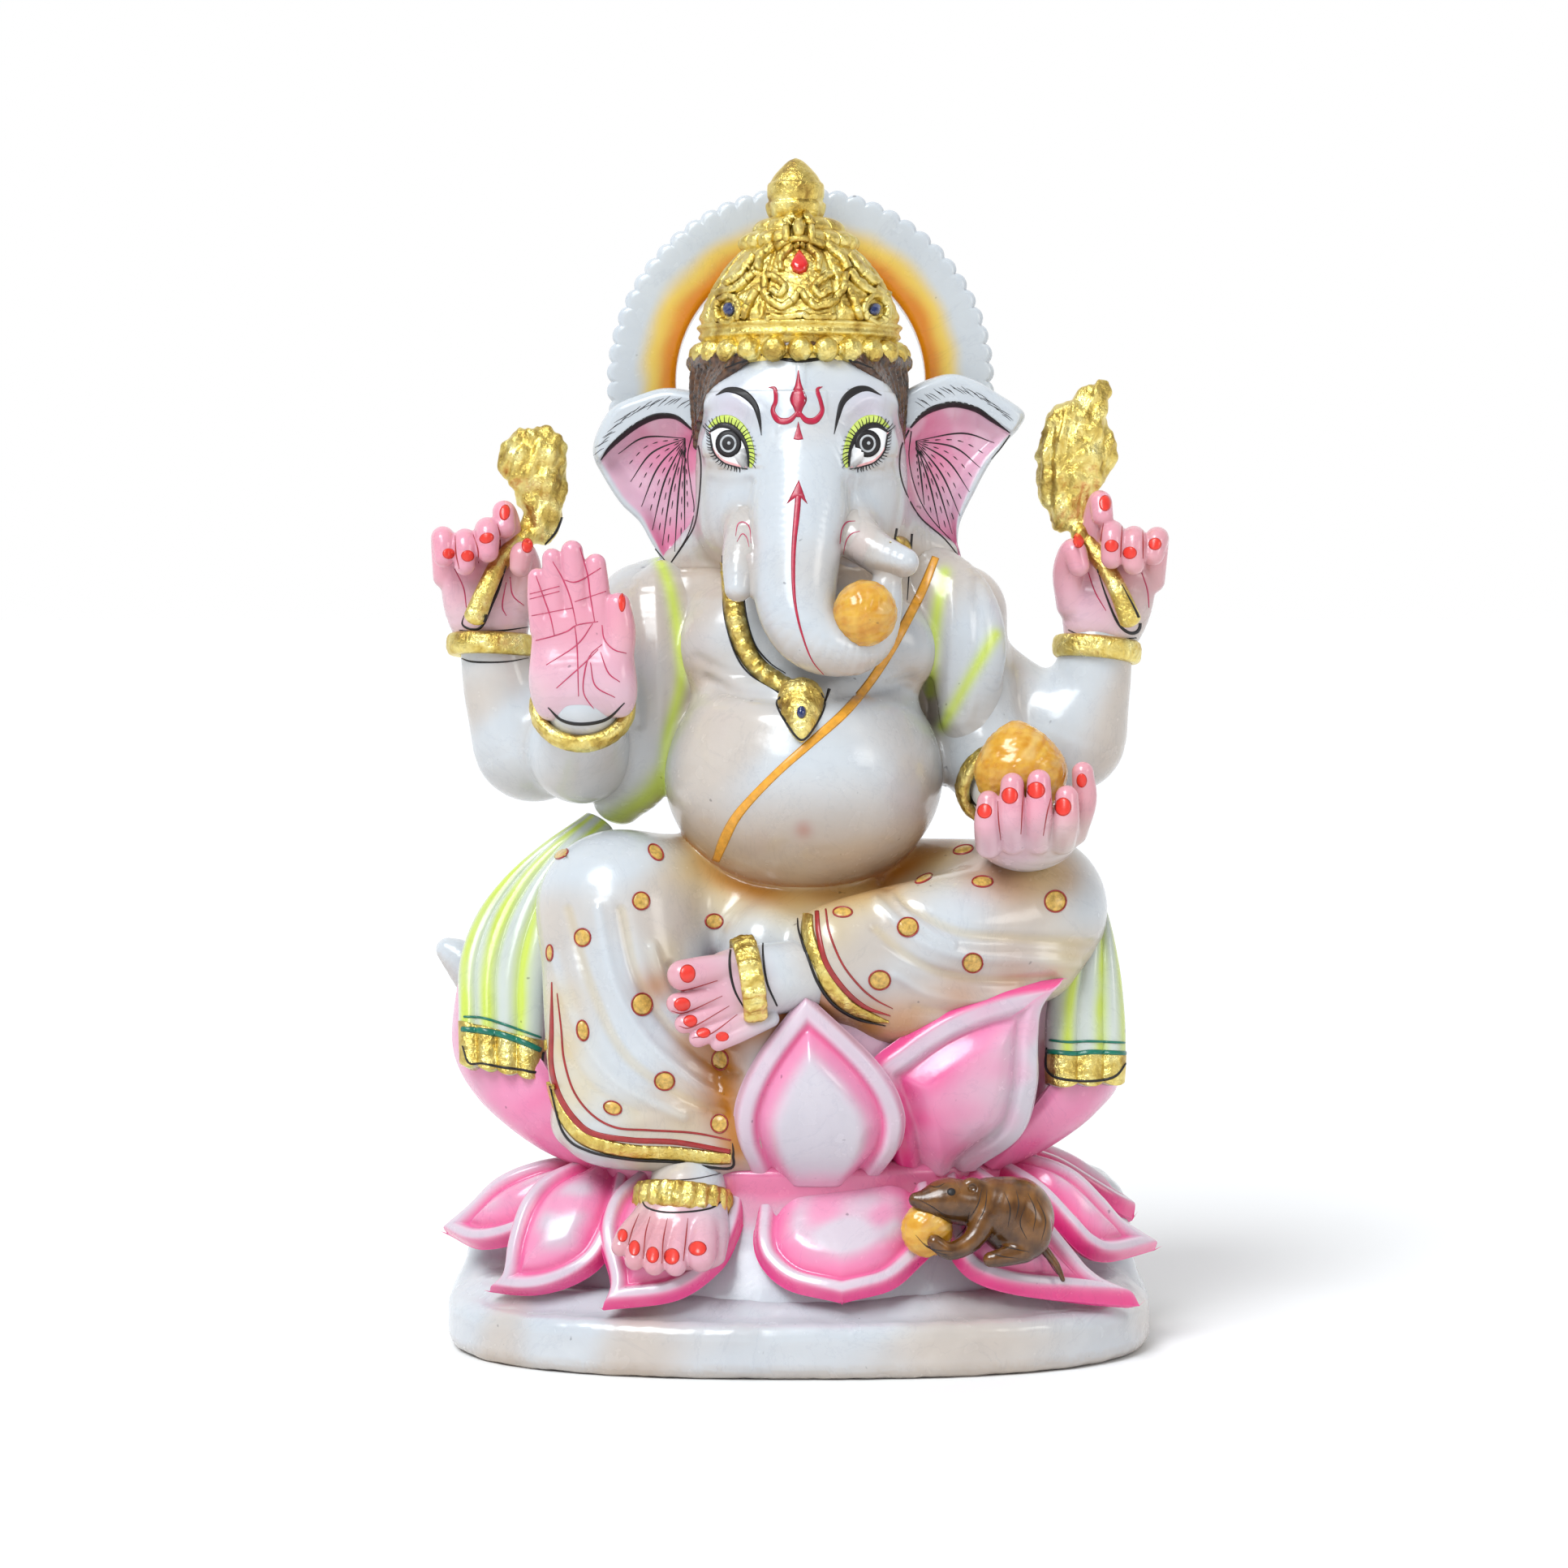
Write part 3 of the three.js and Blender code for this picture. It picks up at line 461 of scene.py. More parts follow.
FIGURE["head"] = [
    ball((0.4, -4, 236), (25.5, 25.5, 25)),
    ball((-12.5, -13, 222), (13.6, 15, 16), blend=8),
    ball((13.8, -13, 222), (13.6, 15, 16), blend=8),
    ball((-13.5, -12, 210), (11, 13, 11), blend=7),
    ball((14.5, -12, 211), (11, 13, 10), blend=7),
    ball((-13.5, -19.5, 241), (9, 8, 7), blend=8),
    ball((14.5, -19.5, 241), (9, 8, 7), blend=8),
    ball((0.5, -20, 243), (15, 9, 12), blend=8),
    tube(
        [
            (0.4, -20, 238, 14, 10),
            (0.4, -25, 228, 13.6, 11),
            (0.3, -30, 217, 12.6, 10.5),
            (-0.8, -35, 205, 11.4, 9.6),
            (-1.0, -39, 193, 10.2, 9),
            (1.2, -41.5, 185.4, 9, 8.6),
            (6.4, -42, 180.8, 7.6, 8),
            (13, -40, 180, 6.2, 7),
            (18.6, -37, 183.4, 5.4, 6),
            (21, -36, 189.5, 4.6, 4.8),
            (21.6, -36, 195, 4, 4),
        ],
        wide=(1, 0, 0.5),
        blend=6,
    ),
    tube([(-12.5, -24, 214, 5.2), (-13.6, -30, 206, 4.4), (-14.3, -34, 202, 4)], blend=4),
    tube([(12.5, -24, 214, 5.4), (15, -30, 208, 4.6), (18, -34.5, 204.5, 4)], blend=4),
    tube([(-13, -6, 216, 9), (-22, -3, 207, 7), (-31, -2, 202.4, 3.6)], blend=6),
    tube([(15, -6, 216, 9), (26, -3, 208, 7), (37, -2, 204, 4)], blend=6),
    ball((-17.5, -24, 231), (6.5, 4, 5.4), blend=5),
    ball((17.8, -24, 231), (6.5, 4, 5.4), blend=5),
]
FIGURE["right_tusk"] = [
    tube([(-13.6, -29, 209, 4.8), (-14.8, -35.5, 201.6, 4.4), (-15.2, -38.5, 194.8, 3.4)]),
]
FIGURE["left_tusk"] = [
    tube([(13.6, -29, 208, 5.2), (19.4, -35, 203.8, 4.9), (26, -38.5, 201.2, 3.7)]),
]
FIGURE["right_rear_arm"] = [
    tube([(-36, 5, 189, 13), (-50, 6, 172, 12.5), (-66, 4, 156, 13.5)]),
    ball((-69, 3, 154.5), (14, 12, 14.2), blend=5),
    tube([(-70, 3, 156, 13.4), (-75.5, 1, 167, 10.8), (-78.4, 0, 180, 9)], blend=5),
]
FIGURE["right_front_arm"] = [
    tube([(-40, 1, 188, 12.5), (-47, -3, 170, 13), (-54, -7, 155, 13)]),
    ball((-56, -10, 153.5), (12.6, 12, 12.4), blend=5),
    tube([(-56, -12, 153.5, 11.6), (-54.6, -22, 158.6, 10.8), (-54.2, -31, 165.5, 9.8)], blend=5),
]
FIGURE["left_rear_arm"] = [
    tube([(34, 5, 187.6, 11.6), (49, 6, 172, 10.4), (65, 4, 158.5, 12.4)]),
    ball((70, 3, 156.5), (13.6, 12, 14.2), blend=5),
    tube([(71, 3, 158, 13), (75, 1, 168, 10.6), (77, 0, 179.5, 9.2)], blend=5),
]
FIGURE["left_front_arm"] = [
    tube([(41, 1, 188, 12), (44, -2, 170, 11.4), (47.5, -6, 152, 10.6)]),
    tube([(47.5, -6, 151.5, 10.8), (51, -16, 147, 9.6), (53.5, -26, 141, 8.8)], blend=5),
]
FIGURE["scarf_right_shoulder"] = [
    tube([(-35, -5, 198.6, 4.4, 3.4), (-37, -9, 190, 9.4, 6), (-37.5, -12.5, 176, 10.5, 7),
          (-38, -13, 160, 9, 6), (-41, -9, 146, 8, 5), (-47, -3, 139, 6.5, 4.5)]),
]
FIGURE["scarf_left_shoulder"] = [
    tube([(32, -4, 203, 6, 4), (39.5, -9, 192, 10, 6), (43, -11.5, 178, 10, 6.5), (42, -12, 162, 6, 5)]),
]
FIGURE["dhoti"] = [
    ball((0, 4, 111), (46, 33, 20)),
    tube([(-16, 2, 113, 18), (-32, -9, 113, 19), (-46, -20, 113, 19.4)], blend=6),
    tube(
        [(-45.5, -20, 113.5, 20, 19), (-44, -27, 98, 20.8, 17), (-41.4, -32, 80, 22.2, 13.5),
         (-39, -34.5, 67, 22.4, 11.5), (-37.6, -35, 61.6, 21, 10)],
        blend=5,
    ),
    tube([(-55, -30, 61, 7.6), (-44, -35, 57.6, 7.3), (-22, -35, 54.6, 7.6)], blend=4),
    tube([(-8, -28, 104, 12), (-9, -33, 88, 11), (-11, -35, 66, 10), (-12, -34, 56, 8)], blend=4),
    tube([(12, 4, 114, 16), (38, -3, 113, 17.4), (60, -10, 113, 17.4)], wide=(0, 0, 1), blend=6),
    ball((61, -13.5, 112.5), (16.4, 17, 18.2), blend=6),
    tube([(58, -17, 110, 16.4), (38, -27, 107, 16), (18, -34, 103.5, 15.4, 13),
          (10, -36.6, 101.8, 14.8, 12)],
         wide=(0, 0, 1), blend=5),
    tube([(14, -33, 93, 9), (26, -33, 90, 10), (44, -29, 95, 10.5), (60, -22, 100, 10)], blend=4),
]
FIGURE["left_foot"] = [
    tube([(10, -35, 99.5, 9), (-4, -40.6, 98.2, 9), (-15, -44.6, 96.4, 9.6, 6.4),
          (-22.5, -46, 94, 8.6, 4.4)],
         wide=(0, 0, 1)),
    tube([(-14, -46.4, 101.6, 3.4), (-23, -49, 100.6, 3.7), (-28.8, -50.4, 99.6, 3.8)], blend=0.8),
    tube([(-16, -47, 95, 2.6), (-25, -49.6, 93.6, 2.5), (-30.2, -50.6, 92.6, 2.6)], blend=0.6),
    tube([(-14, -47, 91.6, 2.4), (-23, -49.6, 89.2, 2.3), (-28.4, -50.6, 87.6, 2.4)], blend=0.6),
    tube([(-11, -47, 89.6, 2.3), (-19.4, -49.4, 86.2, 2.2), (-25, -50.4, 84, 2.3)], blend=0.6),
    tube([(-7, -46.6, 88.4, 2.1), (-14.6, -49, 85, 2.1), (-20, -49.6, 82.8, 2.1)], blend=0.6),
]
FIGURE["right_foot"] = [
    tube([(-27.6, -32, 50.6, 9.2, 6.4), (-28, -37.5, 44, 9.8, 9), (-29.8, -44, 36, 12.6, 7),
          (-31.2, -49, 31.4, 13.2, 5)]),
    tube([(-38, -45, 40, 2.6), (-42.6, -50, 35.4, 2.5), (-44, -52.6, 32.6, 2.4)], blend=0.7),
    tube([(-35.4, -46.4, 38.4, 2.7), (-39.4, -52.6, 32.8, 2.6), (-40.4, -55, 29.8, 2.6)], blend=0.7),
    tube([(-32.4, -47, 38, 2.7), (-35, -53.6, 31.8, 2.6), (-35.6, -56, 28.8, 2.7)], blend=0.7),
    tube([(-28.8, -47, 38, 2.8), (-30, -54, 31.6, 2.7), (-30.4, -56.4, 28.8, 2.8)], blend=0.7),
    tube([(-23.6, -46, 38.4, 3.4), (-23.8, -52.4, 33, 3.6), (-24.2, -55, 30.4, 3.6)], blend=0.9),
]


def finger(stations):
    """A thin limb, drawn in finer steps."""
    return tube(stations, blend=0.9, step=1.2)


FIGURE["right_front_hand"] = [
    tube([(-54, -34, 167, 9.4, 6.8), (-54, -35, 172, 12, 7), (-54.2, -35, 180, 12.6, 5.6),
          (-55.4, -35.6, 187, 11.4, 4.6)]),
    ball((-46, -37, 172), (5.4, 5, 9.5), (0, -14, 0), blend=3),
    ball((-62.5, -36, 171), (4.6, 4.6, 9), blend=3),
    finger([(-64.2, -35.6, 185, 2.9), (-64.9, -35.6, 192, 2.8), (-65.2, -35.8, 197.4, 2.4)]),
    finger([(-60, -36.4, 186, 3.0), (-60.9, -36.6, 195, 2.9), (-61.4, -37, 202.2, 2.5)]),
    finger([(-54.8, -36.8, 186, 3.2), (-55.8, -37.2, 196, 3.2), (-56.4, -37.8, 204, 2.7)]),
    finger([(-49.6, -36.6, 186, 3.1), (-50.2, -37, 194, 3.1), (-50.6, -37.4, 200.8, 2.6)]),
    finger([(-45.6, -37, 176, 4.2), (-44.4, -38, 184, 3.8), (-45, -38, 190.6, 3.1)]),
]
FIGURE["right_rear_hand"] = [
    tube([(-78.6, 0, 181, 8.6, 7), (-80, -2, 190, 11.2, 7), (-80.6, -2, 199, 11.8, 6)]),
    finger([(-91, -2, 198, 3.2), (-91.2, -6, 206.4, 3.1), (-90.8, -10.5, 207.4, 3),
            (-90.4, -12, 202.8, 2.6)]),
    finger([(-85.6, -3, 199, 3.2), (-85.4, -8, 206.6, 3.1), (-85, -12.5, 206, 3),
            (-85, -13.4, 200.8, 2.7)]),
    finger([(-80, -3, 200, 3.4), (-79.8, -8, 209, 3.3), (-79.2, -12.6, 209, 3.1),
            (-79.2, -13.6, 204.2, 2.8)]),
    finger([(-74.6, -2, 200, 3.6), (-74.6, -5, 210, 3.4), (-75.4, -8, 214.4, 3), (-75, -10.4, 210.4, 2.8)]),
    finger([(-71.4, -3, 192, 4.4), (-69.6, -7, 199, 3.8), (-70.4, -11, 203.6, 3.3),
            (-71, -12, 200.5, 2.8)]),
]
FIGURE["left_rear_hand"] = [
    tube([(77.4, 0, 180.5, 8.8, 7), (79, -2, 189, 11.4, 7), (80.4, -2, 198, 12, 6)]),
    finger([(91, -2, 197, 3.3), (91.6, -6, 206, 3.2), (91.4, -10, 207.4, 3), (90.4, -11.6, 203.4, 2.7)]),
    finger([(85.6, -3, 199, 3.3), (85.6, -8, 207, 3.2), (85.4, -12.4, 206.8, 3), (85.2, -13.4, 201, 2.8)]),
    finger([(80.4, -3, 200, 3.3), (80, -8, 208.6, 3.2), (79.8, -12.4, 208, 3), (79.6, -13.4, 202.6, 2.8)]),
    finger([(75.6, -2, 200, 3.5), (76, -5, 211, 3.4), (77, -8, 217, 3), (77.4, -10.6, 213.4, 2.8)]),
    finger([(70.6, -3, 191, 4.4), (69, -6, 199, 3.9), (70, -10.4, 204.4, 3.3), (71.4, -11.6, 200.6, 2.8)]),
]
FIGURE["left_front_hand"] = [
    tube([(55, -25, 132, 11, 8), (57, -31, 133, 13, 9), (57.6, -37, 135, 12.4, 6.4)]),
    finger([(47.2, -39, 131, 3.4), (46.4, -44, 136.6, 3.2), (46.8, -43.4, 142, 2.8)]),
    finger([(53, -40, 132, 3.4), (52.4, -45.4, 138.6, 3.3), (52.6, -44.6, 146.4, 2.9)]),
    finger([(59.2, -40, 132, 3.4), (59.2, -45.4, 139.4, 3.3), (59.2, -44.6, 147.2, 2.9)]),
    finger([(65.4, -39, 132, 3.4), (66, -44, 137, 3.3), (66.2, -43.6, 143.2, 2.9)]),
    finger([(68.6, -33, 134, 3.6), (71, -36, 142, 3.2), (70.6, -37, 149, 2.7)]),
]


# ---------- washes of paint on the stone ----------
def tint(red, green, blue):
    """The paint that looks like this screen colour, 0 to 255, under the studio's lights."""
    return tuple(0.82 * ((c / 255 + 0.055) / 1.055) ** 2.4 for c in (red, green, blue))


SKIN_PINK = tint(250, 146, 170)
PALE_SKIN = tint(240, 200, 214)
AMBER = tint(196, 122, 22)
PALE_AMBER = tint(232, 205, 140)
HOT_PINK = tint(255, 66, 150)
PETAL_PINK = tint(252, 150, 192)
PALE_PINK = tint(240, 196, 216)
SCARF_LIME = tint(220, 238, 104)
# painted shade: the warm beige laid where the stone faces down and in its crevices
PAINTED_SHADE = tint(200, 172, 142)
WARM_STONE = tint(216, 206, 196)


def soft_noise(points, size, seed=0.0):
    """Slow variation between -1 and 1 over about size millimetres."""
    turn = np.array([[0.8, 0.6, 0.1], [-0.5, 0.7, 0.5], [0.2, -0.4, 0.9], [0.6, 0.1, -0.8]]) * 6.283 / size
    bend = np.sin(0.37 * (points @ turn[::-1].T) + 2.1 * seed)
    waves = np.sin(points @ turn.T + 2.2 * bend + np.array([0.3, 1.7, 2.9, 4.1]) + seed)
    return (waves[..., 0] * waves[..., 1] + waves[..., 2] * waves[..., 3]) / 1.4


def rough_noise(points, size):
    """Slow variation with two finer layers."""
    layers = ((1.0, 1.0, 0.0), (0.5, 2.1, 1.0), (0.3, 4.3, 2.0))
    return sum(share * soft_noise(points, size / finer, seed) for share, finer, seed in layers)


def away(places, line):
    """The distance of each (x, z) place from a line drawn through (x, z) points."""
    path = spline([(x, 0, z) for x, z in line], 1.0)[:, [0, 2]]
    best = np.full(places.shape[:-1], 1e9)
    for start, end in zip(path, path[1:]):
        along = end - start
        t = np.clip((places - start) @ along / (along @ along), 0, 1)
        best = np.minimum(best, np.linalg.norm(places - start - t[..., None] * along, axis=-1))
    return best


class Spots:
    """The points of a carved surface, which way they face, and how near the neighbours are."""

    def __init__(self, points, normals, gaps):
        self.points = points
        self.normals = normals
        self.gaps = gaps
        sight = EYE - points
        sight /= np.linalg.norm(sight, axis=1)[:, None]
        towards = (normals * sight).sum(axis=1)
        self.facing = smooth(0.0, 0.35, towards)
        self.front = smooth(-0.25, 0.1, towards)
        share = -EYE[1] / (points[:, 1] - EYE[1])
        self.flat = EYE[[0, 2]] + (points[:, [0, 2]] - EYE[[0, 2]]) * share[:, None]

    def base(self, colour=WHITE, shade=0.6):
        """The stone's own colour with slow warm clouds, and painted shade, a warm beige, where it looks down
        and where it meets its neighbours.
        """
        # painted shade: warm beige on faces that look down and close to neighbouring pieces
        low = smooth(0.25, -0.8, self.normals[:, 2])
        crevice_shade = bell(self.gaps, 0, 3.0)
        colour = mix(coat(colour, self.points.shape), WARM_STONE,
                     smooth(-0.3, 0.9, soft_noise(self.points, 62, 4.0)))
        return mix(colour, PAINTED_SHADE, shade * np.maximum(low, 0.8 * crevice_shade))

    def streak(self, colour, paint, line, width, share=1.0):
        """Adds a soft painted stripe along a line."""
        return mix(colour, paint, share * self.front * np.exp(-((away(self.flat, line) / width) ** 2)))

    def blush(self, colour, paint, x, z, radius, share=1.0):
        gap = np.linalg.norm(self.flat - np.array([x, z]), axis=1)
        return mix(colour, paint, share * self.front * bell(gap, 0, radius))

    def folds(self, lines):
        """Heights from (line, width, height) folds."""
        rise = np.zeros(len(self.points))
        for line, width, height in lines:
            rise += height * np.exp(-((away(self.flat, line) / width) ** 2))
        return rise * self.facing


# ---------- carving ----------
def carve(name, nodes, cell=0.6, near=(), fillet=3.0, paint=None, relief=None, material=None,
          slot="white_marble", lumps=None):
    """Skins one element, with a fillet where it meets the elements in near."""
    lumps = lumps or FIGURE[name]
    low = np.min([bit[0] for lump in lumps for bit in lump.bits], axis=0) - 3
    high = np.max([bit[1] for lump in lumps for bit in lump.bits], axis=0) + 3
    clay = Clay(low, high, cell * FINE).press(lumps)
    others = Clay(low, high, cell * FINE)
    for other in near:
        others.press(FIGURE[other])
    if near:
        own, gap = clay.field, others.field
        settled = 0.2 * smooth(0.0, 1.5, own - gap)
        clay.field = np.maximum(fuse(own, gap, fillet) + settled, own - 1.8)
    points, faces = clay.skin()
    spots = Spots(points, clay.slopes(points), others.sample(points))
    if relief is not None:
        points = points + spots.normals * relief(spots)[:, None]
    colours = spots.base() if paint is None else paint(spots)
    return add_mesh(name, points, faces, material or STONE, nodes, colours)


def torso_paint(s):
    """White stone with a rosy navel and amber where the belly meets the cloth."""
    colour = s.base(shade=0.9)
    colour = s.blush(colour, tint(190, 120, 100), 1.3, 132.5, 2.2, 0.6)
    lap = bell(s.gaps, 0, 1.6) * (s.points[:, 2] < 136)
    return mix(colour, AMBER, 0.9 * lap)


TORSO_FOLDS = [
    ([(-24, 171.5), (-18, 169), (-10, 167.5), (2, 166)], 1.7, -1.5),
    ([(10, 168), (20, 169), (29, 171)], 1.7, -1.4),
    ([(-26, 177), (-20, 174), (-14, 172.5)], 1.4, -0.6),
    ([(-30, 165), (-10, 162), (12, 161.5), (31, 165)], 3.4, 0.8),
]
HEAD_FOLDS = [
    ([(-13, 222), (-14.5, 214), (-13, 206)], 1.6, -0.8),
    ([(13, 222), (14, 214), (11.5, 207)], 1.6, -0.8),
    ([(-25, 242), (-18, 244), (-11.5, 240)], 1.7, 0.5),
    ([(12, 240), (18, 244), (26, 242)], 1.7, 0.5),
    ([(-24, 224.5), (-18, 223.6), (-12, 225)], 1.4, 0.35),
    ([(12, 225), (18, 223.6), (24, 224.5)], 1.4, 0.35),
]


def head_paint(s):
    """White stone, rosy round the tusks, violet over the eyes, and painted shade, grey-blue, in the hollow by
    the trunk.
    """
    colour = s.base()
    for side in (-1, 1):
        colour = s.blush(colour, tint(222, 205, 226), side * 17.5 + 0.2, 241, 5.5, 0.5)
    # painted shade: grey-blue in the hollow between trunk, tusk and sweet
    colour = s.blush(colour, tint(150, 158, 176), 13.8, 198.4, 3.6, 0.85)
    for side in (-1, 1):
        colour = s.blush(colour, tint(226, 190, 188), side * 15, 206, 5, 0.25)
    return colour


def scarf_paint(line_sets):
    def paint(s):
        colour = s.base(shade=0.3)
        for line, width in line_sets:
            colour = s.streak(colour, SCARF_LIME, line, width, 0.95)
        return colour

    return paint


ARM_LIMES = [([(-36.5, 204), (-33, 194), (-30.8, 180), (-30.5, 170), (-34, 156), (-35, 142)], 1.7),
             ([(-60, 127), (-50, 133), (-40, 140), (-35, 146)], 3.2)]
LEFT_LIMES = [([(37.6, 199), (35.4, 187), (34, 168)], 1.7),
              ([(50.8, 183), (43.2, 170), (37.2, 159.5)], 1.7)]


def hand_paint(low, high):
    """Pink that deepens from the wrist to the finger ends, between two heights."""

    def paint(s):
        share = smooth(low, high, s.points[:, 2] + 1.5 * soft_noise(s.points, 12))
        return mix(mix(s.base(PALE_SKIN, 0.2), SKIN_PINK, 0.62 * share), WHITE,
                   0.5 * smooth(low + 2, low - 6, s.points[:, 2]))

    return paint


def toe_paint(centre, reach):
    """White at the ankle and pink at the toes."""

    def paint(s):
        gap = np.linalg.norm(s.points - centre, axis=1)
        return mix(s.base(WHITE, 0.2), SKIN_PINK, 0.62 * smooth(reach, reach * 0.35, gap))

    return paint


LEG_FOLDS = [
    ([(-63, 100), (-58, 84), (-48, 68), (-30, 58)], 1.6, 0.8),
    ([(-60, 112), (-54, 92), (-45, 74), (-30, 63), (-20, 59)], 1.7, -1.0),
    ([(-52, 112), (-48, 94), (-40, 79), (-27, 67), (-18, 63)], 1.5, 0.9),
    ([(-46, 112), (-42, 95), (-34, 82), (-24, 73), (-16, 69)], 1.6, -1.1),
    ([(-38, 102), (-34, 91), (-27, 81), (-17, 75)], 1.4, 0.8),
    ([(-33, 97), (-29, 88), (-22, 81)], 1.3, -0.8),
    ([(-62, 78), (-54, 66), (-42, 59)], 1.3, -0.6),
    ([(76, 103), (56, 104.5), (42, 106), (30, 112), (22, 119)], 1.6, -1.0),
    ([(72, 98), (56, 99), (42, 100), (30, 105), (20, 114)], 1.5, 0.9),
    ([(66, 94), (52, 93.5), (38, 95), (28, 100), (20, 107)], 1.5, -1.0),
    ([(60, 90), (46, 88.5), (34, 90), (25, 95)], 1.4, 0.8),
    ([(50, 86), (40, 85), (30, 86.5)], 1.3, -0.7),
    ([(40, 103), (34, 106), (27, 112), (24, 117)], 1.1, 0.6),
]


def dhoti_paint(s):
    """White cloth with amber rubbed into its hollows, under the knee and round the foot."""
    rise = s.folds(LEG_FOLDS)
    colour = s.base(shade=0.15)
    colour = mix(colour, PALE_AMBER, 0.3 * smooth(-0.2, -1.0, rise))
    colour = mix(colour, WHITE, 0.6 * smooth(0.1, 0.8, rise))
    colour = mix(colour, AMBER, 0.7 * bell(s.gaps, 0, 2.2))
    waist = [(-24, 124.4), (-20.2, 120.4), (-10.5, 117), (2.9, 115.5), (18.5, 118.5), (30.1, 124.4),
             (38, 130)]
    colour = s.streak(colour, PALE_AMBER, waist, 6.5, 0.7)
    colour = s.streak(colour, AMBER, waist, 3.6, 1.0)
    colour = s.streak(colour, AMBER, [(46, 122), (56, 119), (68, 121)], 6, 0.5)
    colour = s.streak(colour, AMBER, [(-13, 92), (-20, 84), (-20, 70), (-18, 58), (-16, 50)], 7, 1.0)
    for x, z, radius, share in [
        (-37, 92, 5, 0.75), (-34, 100, 5, 0.5), (-27, 78, 5, 0.6), (-20, 112, 6, 0.4), (-4, 88, 8, 1.0),
        (6, 84, 8, 0.9), (-11, 83, 7, 1.0), (-62, 88, 5, 0.5), (-61, 76, 6, 0.55), (-58, 64, 7, 0.55),
        (-44, 58, 6, 0.35), (-30, 56, 6, 0.35), (0, 114, 8, 0.5), (14, 118, 7, 0.5), (28, 82, 8, 0.7),
        (18, 82, 7, 0.8), (42, 88, 8, 0.6), (56, 93, 8, 0.6), (70, 98, 7, 0.55), (56, 126, 9, 0.7),
        (64, 122, 8, 0.5), (36, 126, 7, 0.4), (-26, 124, 8, 0.5), (9, 106, 6, 0.35),
    ]:
        colour = s.blush(colour, AMBER if share > 0.55 else PALE_AMBER, x, z, radius, share)
    return colour


def carve_figure():
    carve("torso", ["torso"], 0.65, ("dhoti", "head", "right_front_arm", "left_front_arm"), 2.0,
          torso_paint, lambda s: s.folds(TORSO_FOLDS))
    carve("head", ["head", "trunk"], 0.45, ("torso", "right_tusk", "left_tusk"), 2.5, head_paint,
          lambda s: s.folds(HEAD_FOLDS))
    for tusk in ("right_tusk", "left_tusk"):
        carve(tusk, [tusk], 0.4, ("head",), 2.0)
    right, left = scarf_paint(ARM_LIMES), scarf_paint(LEFT_LIMES)
    for side, paint in (("right", right), ("left", left)):
        for level, other, cell in (("rear", "front", 0.7), ("front", "rear", 0.6)):
            arm = f"{side}_{level}_arm"
            carve(arm, [arm], cell, ("torso", f"{side}_{other}_arm"), 3.0, paint)
    drape_folds = [([(-44, 196), (-42, 180), (-41, 160)], 1.5, -0.6),
                   ([(-37, 198), (-36, 180), (-36, 160)], 1.5, 0.4)]
    carve("scarf_right_shoulder", ["scarf_right_shoulder"], 0.55, ("torso", "right_front_arm"), 2.0, right,
          lambda s: s.folds(drape_folds), slot="scarf_paint")
    drape_folds_left = [([(46, 197), (46, 180), (42, 164)], 1.5, -0.6),
                        ([(40, 197), (39.5, 180), (38, 164)], 1.4, 0.4)]
    carve("scarf_left_shoulder", ["scarf_left_shoulder"], 0.55, ("torso", "left_front_arm"), 2.0, left,
          lambda s: s.folds(drape_folds_left), slot="scarf_paint")
    carve("dhoti", ["dhoti_lap", "dhoti_right_leg", "dhoti_left_leg"], 0.65, ("torso",), 2.0, dhoti_paint,
          lambda s: s.folds(LEG_FOLDS))
    carve("right_foot", ["right_foot"], 0.4, paint=toe_paint((-33, -56, 29), 26), slot="skin_paint")
    carve("left_foot", ["left_foot"], 0.4, paint=toe_paint((-30, -50, 92), 28), slot="skin_paint")
    for hand, low, high in [("right_front_hand", 164, 190), ("right_rear_hand", 184, 204),
                            ("left_rear_hand", 184, 204), ("left_front_hand", 128, 144)]:
        carve(hand, [hand], 0.4, paint=hand_paint(low, high), slot="skin_paint")


# ---------- sweets, what the rear hands hold, and the mouse ----------
def sweet_paint(s):
    """Saffron with darker and paler patches."""
    grain = 0.5 + 0.4 * rough_noise(s.points, 7)
    colour = mix(coat(tint(244, 192, 76), s.points.shape), tint(222, 150, 30), np.clip(grain, 0, 1))
    pale = smooth(0.1, 1.0, soft_noise(s.points, 10, 2.0)) * (s.normals[:, 2] > 0)
    return mix(colour, tint(246, 218, 150), 0.4 * pale)


def fur_paint(s):
    """Brown fur, darker in patches, with painted shade darkening it where it faces down."""
    tone = 0.5 + 0.4 * rough_noise(s.points * (1, 1, 0.6), 9)
    colour = mix(coat(tint(146, 96, 40), s.points.shape), tint(88, 52, 16), np.clip(tone, 0, 1))
    # painted shade: near-black brown on the surfaces that face down
    return mix(colour, tint(46, 25, 8), 0.7 * smooth(0.2, -0.7, s.normals[:, 2]))


def crumpled(s):
    """Deep swirling folds in the heads of what the rear hands hold; their handles stay smooth."""
    twist = s.points * (1.5, 1, 0.75)
    rough = 0.75 * soft_noise(twist, 9, 1.0) + 0.3 * soft_noise(twist, 5)
    return rough * smooth(205, 210, s.points[:, 2])


